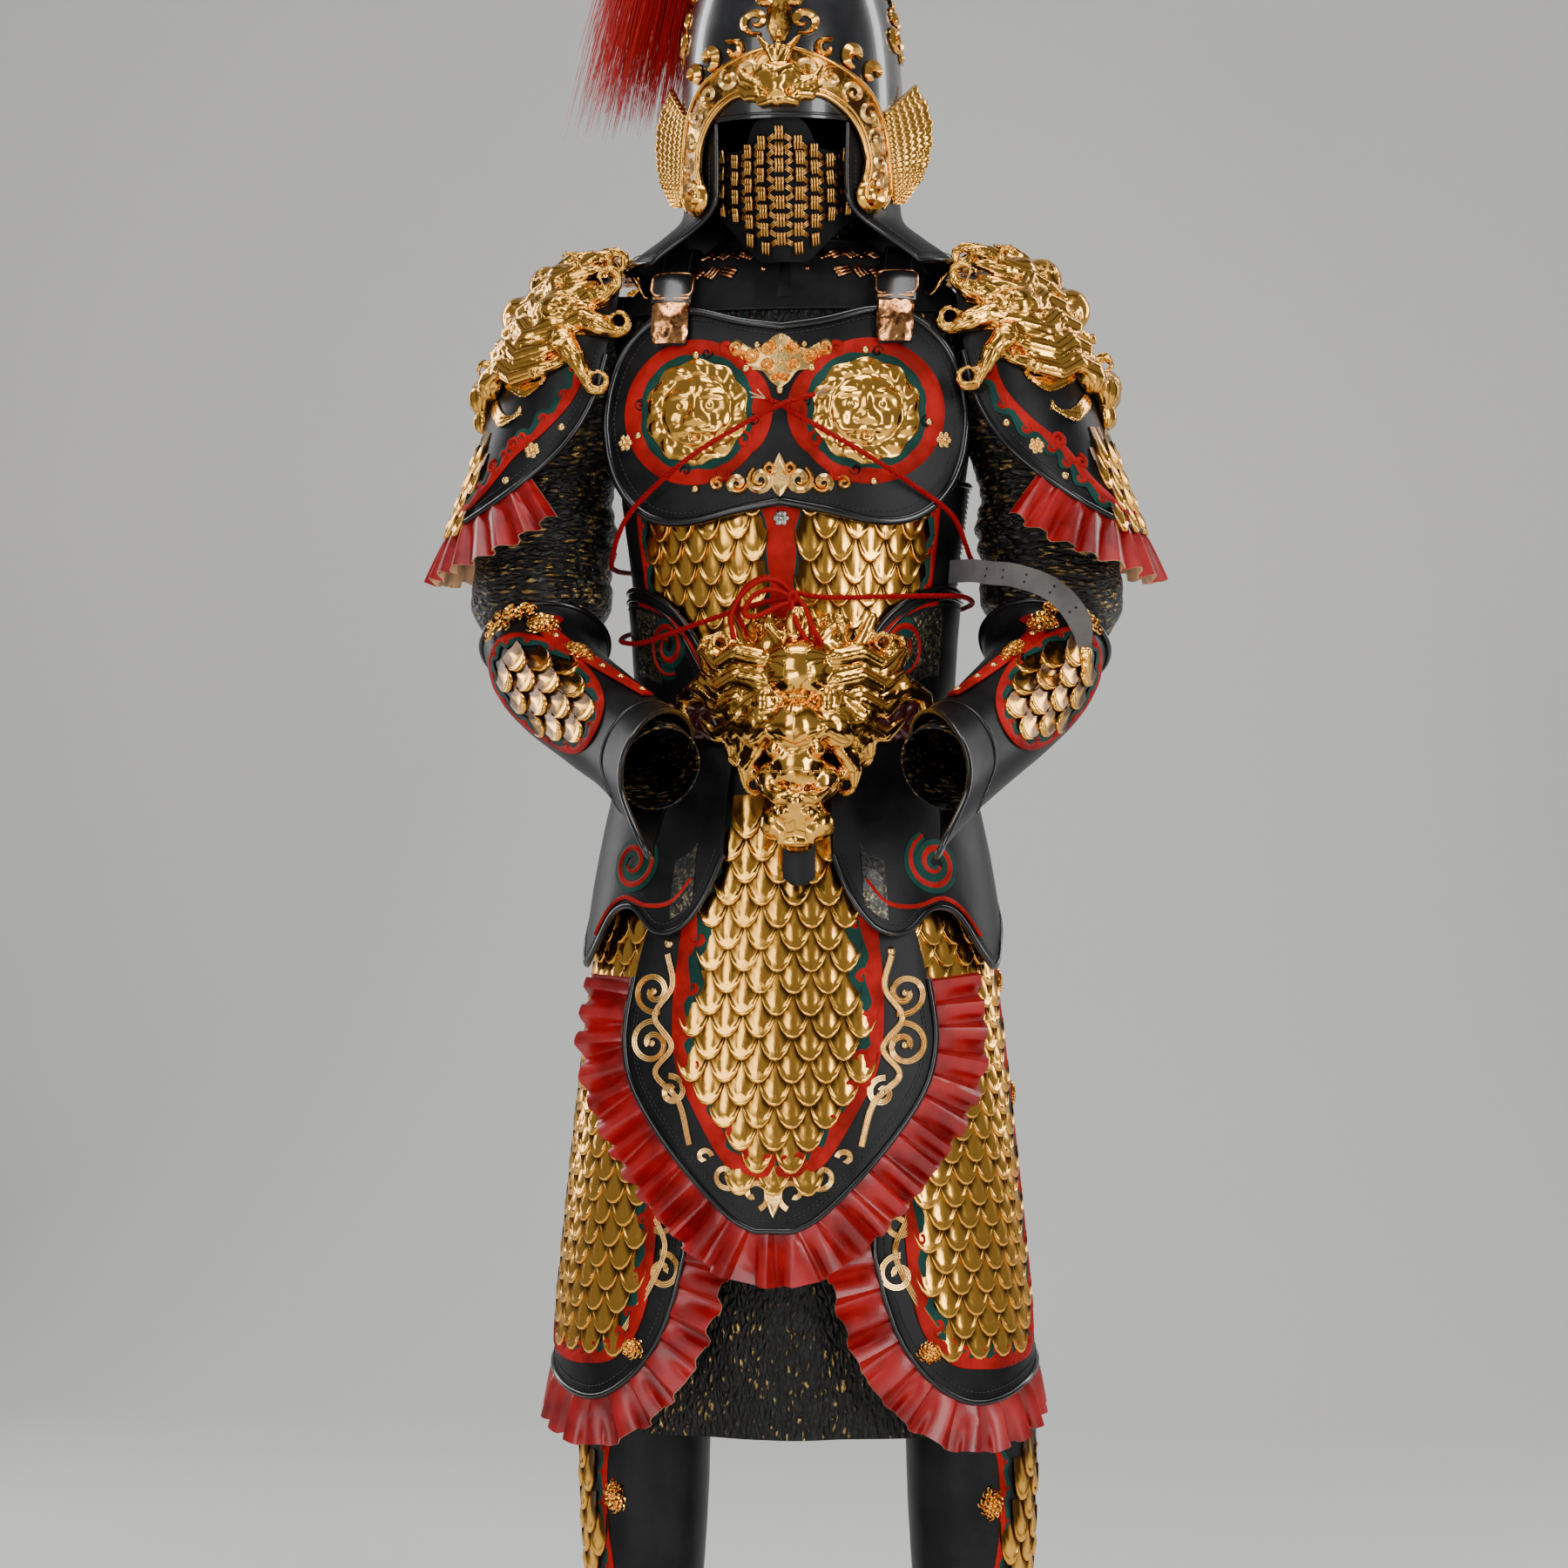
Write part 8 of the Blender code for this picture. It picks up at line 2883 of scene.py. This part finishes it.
BUCKLE = (
    (0.6, 0, (0, -150, -352, 22)),
    (0.6, 0, (12, -150, -344, 12)),
    (0.6, 0, (28, -150, -362, 18)),
    (0, 0, (0, -168, -385, 34)),
    (0.6, 0, (34, -170, -400, 16)),
    (0.6, 0, (52, -160, -388, 14)),
    (0.6, 0, (30, -182, -412, 12)),
    (0.6, 0, (48, -165, -436, 20)),
    (0.6, 0, (30, -176, -436, 24)),
    (0.6, 0, (0, -192, -436, 26)),
    (0.6, 0, (0, -186, -474, 27)),
    (0.6, 0, (22, -184, -486, 18)),
    (0.6, 0, (0, -188, -514, 25)),
    (0.6, 0, (20, -192, -526, 15)),
    (0.6, 0, (0, -186, -536, 18)),
    (0, 0, (50, -152, -392, 10), (54, -146, -362, 9), (66, -144, -334, 6)),
    (1, -1, (52, -158, -396, 18), (80, -148, -384, 13), (96, -138, -366, 6)),
    (1, 0, (56, -158, -412, 16), (92, -142, -398, 13), (114, -126, -408, 8)),
    (1, -1, (114, -126, -408, 8), (116, -124, -420, 7), (110, -126, -430, 5)),
    (1, 0, (52, -164, -446, 15), (50, -164, -462, 12), (42, -170, -478, 8)),
    (1, -1, (30, -152, -350, 8), (40, -152, -340, 7), (34, -152, -332, 4)),
    (0.9, 0, (10, -204, -446, 7), (26, -200, -438, 8), (40, -188, -446, 4)),
    (0, 0, (20, -204, -458, 8)),
    (0, 0, (20, -210.5, -459, 4.5)),
    (0, 0, (10, -210, -516, 6.2)),
    (0.8, 0, (6, -211, -498, 5), (18, -208, -502, 6), (30, -200, -494, 3)),
    (0, 0, (14, -204, -532, 4.2), (16, -204, -544, 1.8)),
    (0.5, 0, (0, -203, -529, 4.5), (11, -202, -532, 4.5), (20, -196, -527, 3)),
    (0.5, 0, (0, -202.5, -543, 4), (9, -201, -543, 4), (16, -196, -537, 2.5)),
    (0, 0, (0, -213, -505, 8)),
    (1.2, 1, (46, -176, -412, 8), (62, -170, -424, 8), (70, -160, -442, 3)),
    (1.2, 1, (50, -172, -430, 8), (64, -164, -448, 8), (66, -156, -466, 3)),
    (1.2, 1, (40, -178, -460, 8), (52, -170, -476, 7), (50, -164, -494, 3)),
    (1.2, -1, (70, -158, -378, 8), (86, -150, -366, 6), (84, -150, -352, 3)),
    (1, 0, (20, -166, -352, 7), (30, -164, -342, 6), (28, -162, -330, 3)),
    (1.1, -1, (6, -170, -346, 6), (8, -168, -334, 5), (2, -166, -326, 3)),
)
BUCKLE_SEAT = Table(
    "z wide front back",
    (-0.3, 0.175, 0.135, 0.1),
    (-0.4, 0.172, 0.134, 0.1),
    (-0.405, 0.1755, 0.1427, 0.1),
    (-0.455, 0.176, 0.1434, 0.1),
    (-0.5, 0.182, 0.153, 0.1),
    (-0.58, 0.198, 0.17, 0.1),
)


def round_seat(middle_x, middle_y, wide, deep, low, high):
    """Pushes a point out of an upright form: wide(z) and deep(z) are its half axes."""

    def seat(place):
        z = place.z
        if not low < z < high:
            return place
        across, along = (place.x - middle_x(z)) / wide(z), (place.y - middle_y) / deep(z)
        inside = math.hypot(across, along)
        if inside >= 1 or inside < 0.05:
            return place
        push = (1 - inside) * min(wide(z), deep(z))
        if high - z < push:
            return Vector((place.x, place.y, high))
        x = middle_x(z) + (place.x - middle_x(z)) / inside
        return Vector((x, middle_y + (place.y - middle_y) / inside, z))

    return seat


def shoulder_beasts():
    form, off, centre = BELLS[1], LEATHER + 2 * MM, Vector((0, SHOULDER_Y, 0))
    parts = []
    for degrees, z, out, radius in BEAST_BEADS:
        for turn in (1, -1) if degrees else (1,):
            parts.append(([form.point(math.radians(turn * degrees), z, out)], (radius,), 0.5 * MM))
    parts += cast_parts(BEAST_BODY, centre, 1)
    radii = [radius for *_, radius in MANE]
    for row in range(6):
        for turn in (1, -1):
            low = -0.006 - 0.019 * row
            line = [form.point(math.radians(turn * d), rise + low, out) for d, rise, out, _ in MANE]
            parts.append((line, radii, 1.1 * MM))
    parts += cast_parts(BEAST_FACE, centre, 1)
    bell = round_seat(
        lambda z: SHOULDER("x", z),
        SHOULDER_Y,
        lambda z: SHOULDER("r", z) + off,
        lambda z: SHOULDER("deep", z) + off,
        -0.22,
        0.001,
    )
    under = GORGET_OUT + YOKE + GAP
    left = kept_off(lumps("pauldron_beast_left", parts, "carved_gold"), bell)
    for vert in left.data.vertices:
        z = vert.co.z
        if -0.16 < z < 0.03:
            while z < 0.03:
                depth = TORSO("front" if vert.co.y < 0 else "back", z) + under
                if math.hypot(vert.co.x / (TORSO("wide", z) + under), vert.co.y / depth) >= 1:
                    break
                z += 0.5 * MM
            if z - vert.co.z < 0.02:
                vert.co.z = z
    mesh = left.data.copy()
    right = placed("pauldron_beast_right", mesh)
    for vert in mesh.vertices:
        vert.co.x = -vert.co.x
    mesh.flip_normals()
    piece(left, "gold", "pauldron_beast_left")
    piece(right, "gold", "pauldron_beast_right")


def buckle():
    manes = []
    for k in range(4):
        z = -372 - 22 * k
        beads = (36, -178, z, 10), (58, -170, z + 5, 10), (78, -158, z - 6, 8), (94, -146, z + 8, 4)
        manes.append((1.0, 0, *beads))
    parts = cast_parts([*BUCKLE, *manes], Vector((BUCKLE_SHIFT, 0, 0)), 0)
    wide, front = (lambda z: BUCKLE_SEAT("wide", z)), (lambda z: BUCKLE_SEAT("front", z))
    seat = round_seat(lambda z: 0.0, 0.0, wide, front, -0.58, -0.31)
    made = kept_off(lumps("belt_beast", parts, "carved_gold", 2.4 * MM), seat)
    piece(made, "gold", "belt_beast")


shoulder_beasts()
buckle()
print("beasts", TALLY[-3:])

# %% [markdown]
# Two red cords are tied round the body. Each is laid from three twisted strands and ends in
# a small frayed tuft. A suede strap stands out at the left, with a gilt tip.

# %% Cords and the side strap
CHEST_CORD = (
    (0.034, -0.15, -0.125),
    (0.012, -0.153, -0.131),
    (0.0, -0.154, -0.136),
    (-0.02, -0.15, -0.145),
    (-0.08, -0.148, -0.18),
    (-0.13, -0.118, -0.216),
    (-0.156, -0.09, -0.242),
    (-0.173, -0.045, -0.272),
    (-0.176, 0.0, -0.28),
    (-0.16, 0.064, -0.28),
    (-0.1, 0.112, -0.28),
    (0.0, 0.131, -0.28),
    (0.1, 0.112, -0.28),
    (0.16, 0.064, -0.28),
    (0.176, 0.0, -0.28),
    (0.173, -0.045, -0.27),
    (0.16, -0.088, -0.236),
    (0.13, -0.118, -0.212),
    (0.08, -0.148, -0.18),
    (0.02, -0.149, -0.145),
    (0.004, -0.1455, -0.135),
    (-0.012, -0.144, -0.128),
)
WAIST_CORD = (
    (0.036, -0.176, -0.35),
    (0.028, -0.166, -0.334),
    (0.012, -0.152, -0.317),
    (-0.01, -0.144, -0.318),
    (-0.05, -0.137, -0.329),
    (-0.1, -0.114, -0.344),
    (-0.14, -0.078, -0.354),
    (-0.167, -0.024, -0.35),
    (-0.163, 0.046, -0.34),
    (-0.11, 0.1, -0.335),
    (0.0, 0.1268, -0.33),
    (0.11, 0.099, -0.325),
    (0.166, 0.046, -0.315),
    (0.17, -0.024, -0.31),
    (0.15, -0.074, -0.31),
    (0.09, -0.118, -0.313),
    (0.04, -0.14, -0.314),
    (0.014, -0.156, -0.309),
    (-0.01, -0.159, -0.296),
    (-0.032, -0.156, -0.308),
    (-0.038, -0.152, -0.328),
    (-0.032, -0.156, -0.342),
)
BOW = (  # two loops and two strands of the bow, from its knot
    (
        (0.016, -0.156, -0.314),
        (0.004, -0.162, -0.301),
        (-0.014, -0.164, -0.299),
        (-0.033, -0.162, -0.313),
        (-0.043, -0.16, -0.333),
        (-0.04, -0.164, -0.354),
    ),
    (
        (0.016, -0.158, -0.316),
        (-0.002, -0.164, -0.308),
        (-0.021, -0.164, -0.313),
        (-0.03, -0.164, -0.329),
        (-0.02, -0.164, -0.333),
        (0.002, -0.162, -0.323),
        (0.018, -0.158, -0.318),
    ),
    (
        (0.016, -0.158, -0.312),
        (0.026, -0.166, -0.324),
        (0.034, -0.174, -0.342),
        (0.044, -0.176, -0.36),
    ),
    (
        (0.014, -0.158, -0.316),
        (0.016, -0.168, -0.33),
        (0.022, -0.176, -0.344),
        (0.03, -0.178, -0.356),
    ),
)
STRAP_FREE = (
    (0.1533, -0.0362, -0.285),
    (0.178, -0.076, -0.2865),
    (0.196, -0.098, -0.29),
    (0.222, -0.114, -0.294),
    (0.256, -0.122, -0.308),
    (0.28, -0.12, -0.336),
    (0.286, -0.114, -0.37),
)


CORD_RADIUS, CORD_STEPS = 2.7 * MM, 420


def twisted_cord(node, points, tuft):
    middle = [Vector(p) for p in smooth_line(points, CORD_STEPS)]
    paths = [[] for _ in range(3)]
    for i, place in enumerate(middle):
        way = (middle[min(i + 1, CORD_STEPS - 1)] - middle[max(i - 1, 0)]).normalized()
        side = way.cross(Vector((0.1, 0.2, 1))).normalized()
        other = way.cross(side)
        for k, path in enumerate(paths):
            turn = 1.2 * i + 2 * math.pi * k / 3
            path.append(place + 0.5 * CORD_RADIUS * (side * math.cos(turn) + other * math.sin(turn)))
    cord = pipe(node, paths, 0.56 * CORD_RADIUS, "red_cord_twist", 5)
    tufts = []
    for end, before in ((middle[0], middle[6]), (middle[-1], middle[-7])):
        way = (end - before).normalized()
        for k in range(9):
            drift = Vector((math.cos(2.4 * k), math.sin(2.4 * k), math.cos(1.3 * k))) * 0.004
            tufts.append([end, end + way * 0.006 + drift * 0.4, end + way * 0.013 + drift])
    frayed = pipe("tufts", tufts, 0.45 * MM, tuft, 5)
    piece(joined(node, [cord, frayed]), "red_cord", node)


def waist_bow():
    """The bow's loops and strands, and three turns of cord round their middle."""
    strands = [smooth_line(points, 60) for points in BOW]
    knot = []
    for k in range(16):
        across, high = 0.004 * math.cos(0.9 * k), 0.0045 * math.sin(0.9 * k)
        knot.append((0.015 + across, -0.16 + 0.0015 * math.sin(1.7 * k), -0.315 + high))
    parts = [
        pipe("bow", strands, 2.5 * MM, "red_cord_twist"),
        pipe("knot", [knot], 2.6 * MM, "red_cord_twist"),
    ]
    piece(joined("bow", parts), "red_cord", name="waist_bow")


def side_strap():
    route = Table("s x y z", *((i, *row) for i, row in enumerate(STRAP_FREE)))
    last = len(STRAP_FREE) - 1

    def at(s, aside, lift):
        dx, dz = (route(k, s + 0.05) - route(k, s - 0.05) for k in "xz")
        length = math.hypot(dx, dz)
        x, z = route("x", s) - dz / length * aside, route("z", s) + dx / length * aside
        return Vector((x, route("y", s) - lift, z))

    def spot(u, v, face):
        half = 0.011 * (1 - 0.6 * max(0.0, v - 0.85) / 0.15)
        return at(v * last, half * (2 * u - 1), 2 * MM * face)

    band = wall("side_strap", spot, 8, 70, "suede_grey")
    front, up, size = Vector((0, -1, 0)), Vector((0, 0, 1)), (1.3 * MM, 1.3 * MM, 0.4 * MM)
    spots = [(s * last, 3.5 * MM * turn) for s in (0.3, 0.42, 0.54, 0.66, 0.78) for turn in (-1, 1)]
    holes = [(at(s, aside, 2 * MM), front, up, size) for s, aside in spots]
    # Black dots stand in for the punched holes: their darkness is painted shade.
    hole_shadows = sow("strap_holes", holes, SHAPES["stud"], "matt_black_cloth")
    piece(joined("side_strap", [band, hole_shadows]), "grey_suede", "side_strap")
    end = at(last, 0, 1 * MM)
    spine = [end + Vector((0, 0, z)) for z in (0.004, -0.012)]
    tip = lumps("strap_tip", [(spine, (0.007, 0.004), 1.2 * MM)], "polished_gold", 1.4 * MM)
    piece(tip, "gold")


twisted_cord("cord_chest", CHEST_CORD, "cream_flesh_side")
twisted_cord("cord_waist", WAIST_CORD, "red_cord_twist")
waist_bow()
side_strap()
print("cords", TALLY[-4:])

# %% [markdown]
# The shapes go, and what is left is measured: how many triangles.

# %% Measure and finish
for shape in SHAPES.values():
    bpy.data.objects.remove(shape)
TALLY.sort(reverse=True)
print("pieces", len(TALLY), "triangles", sum(count for count, _ in TALLY), "largest", TALLY[:5])
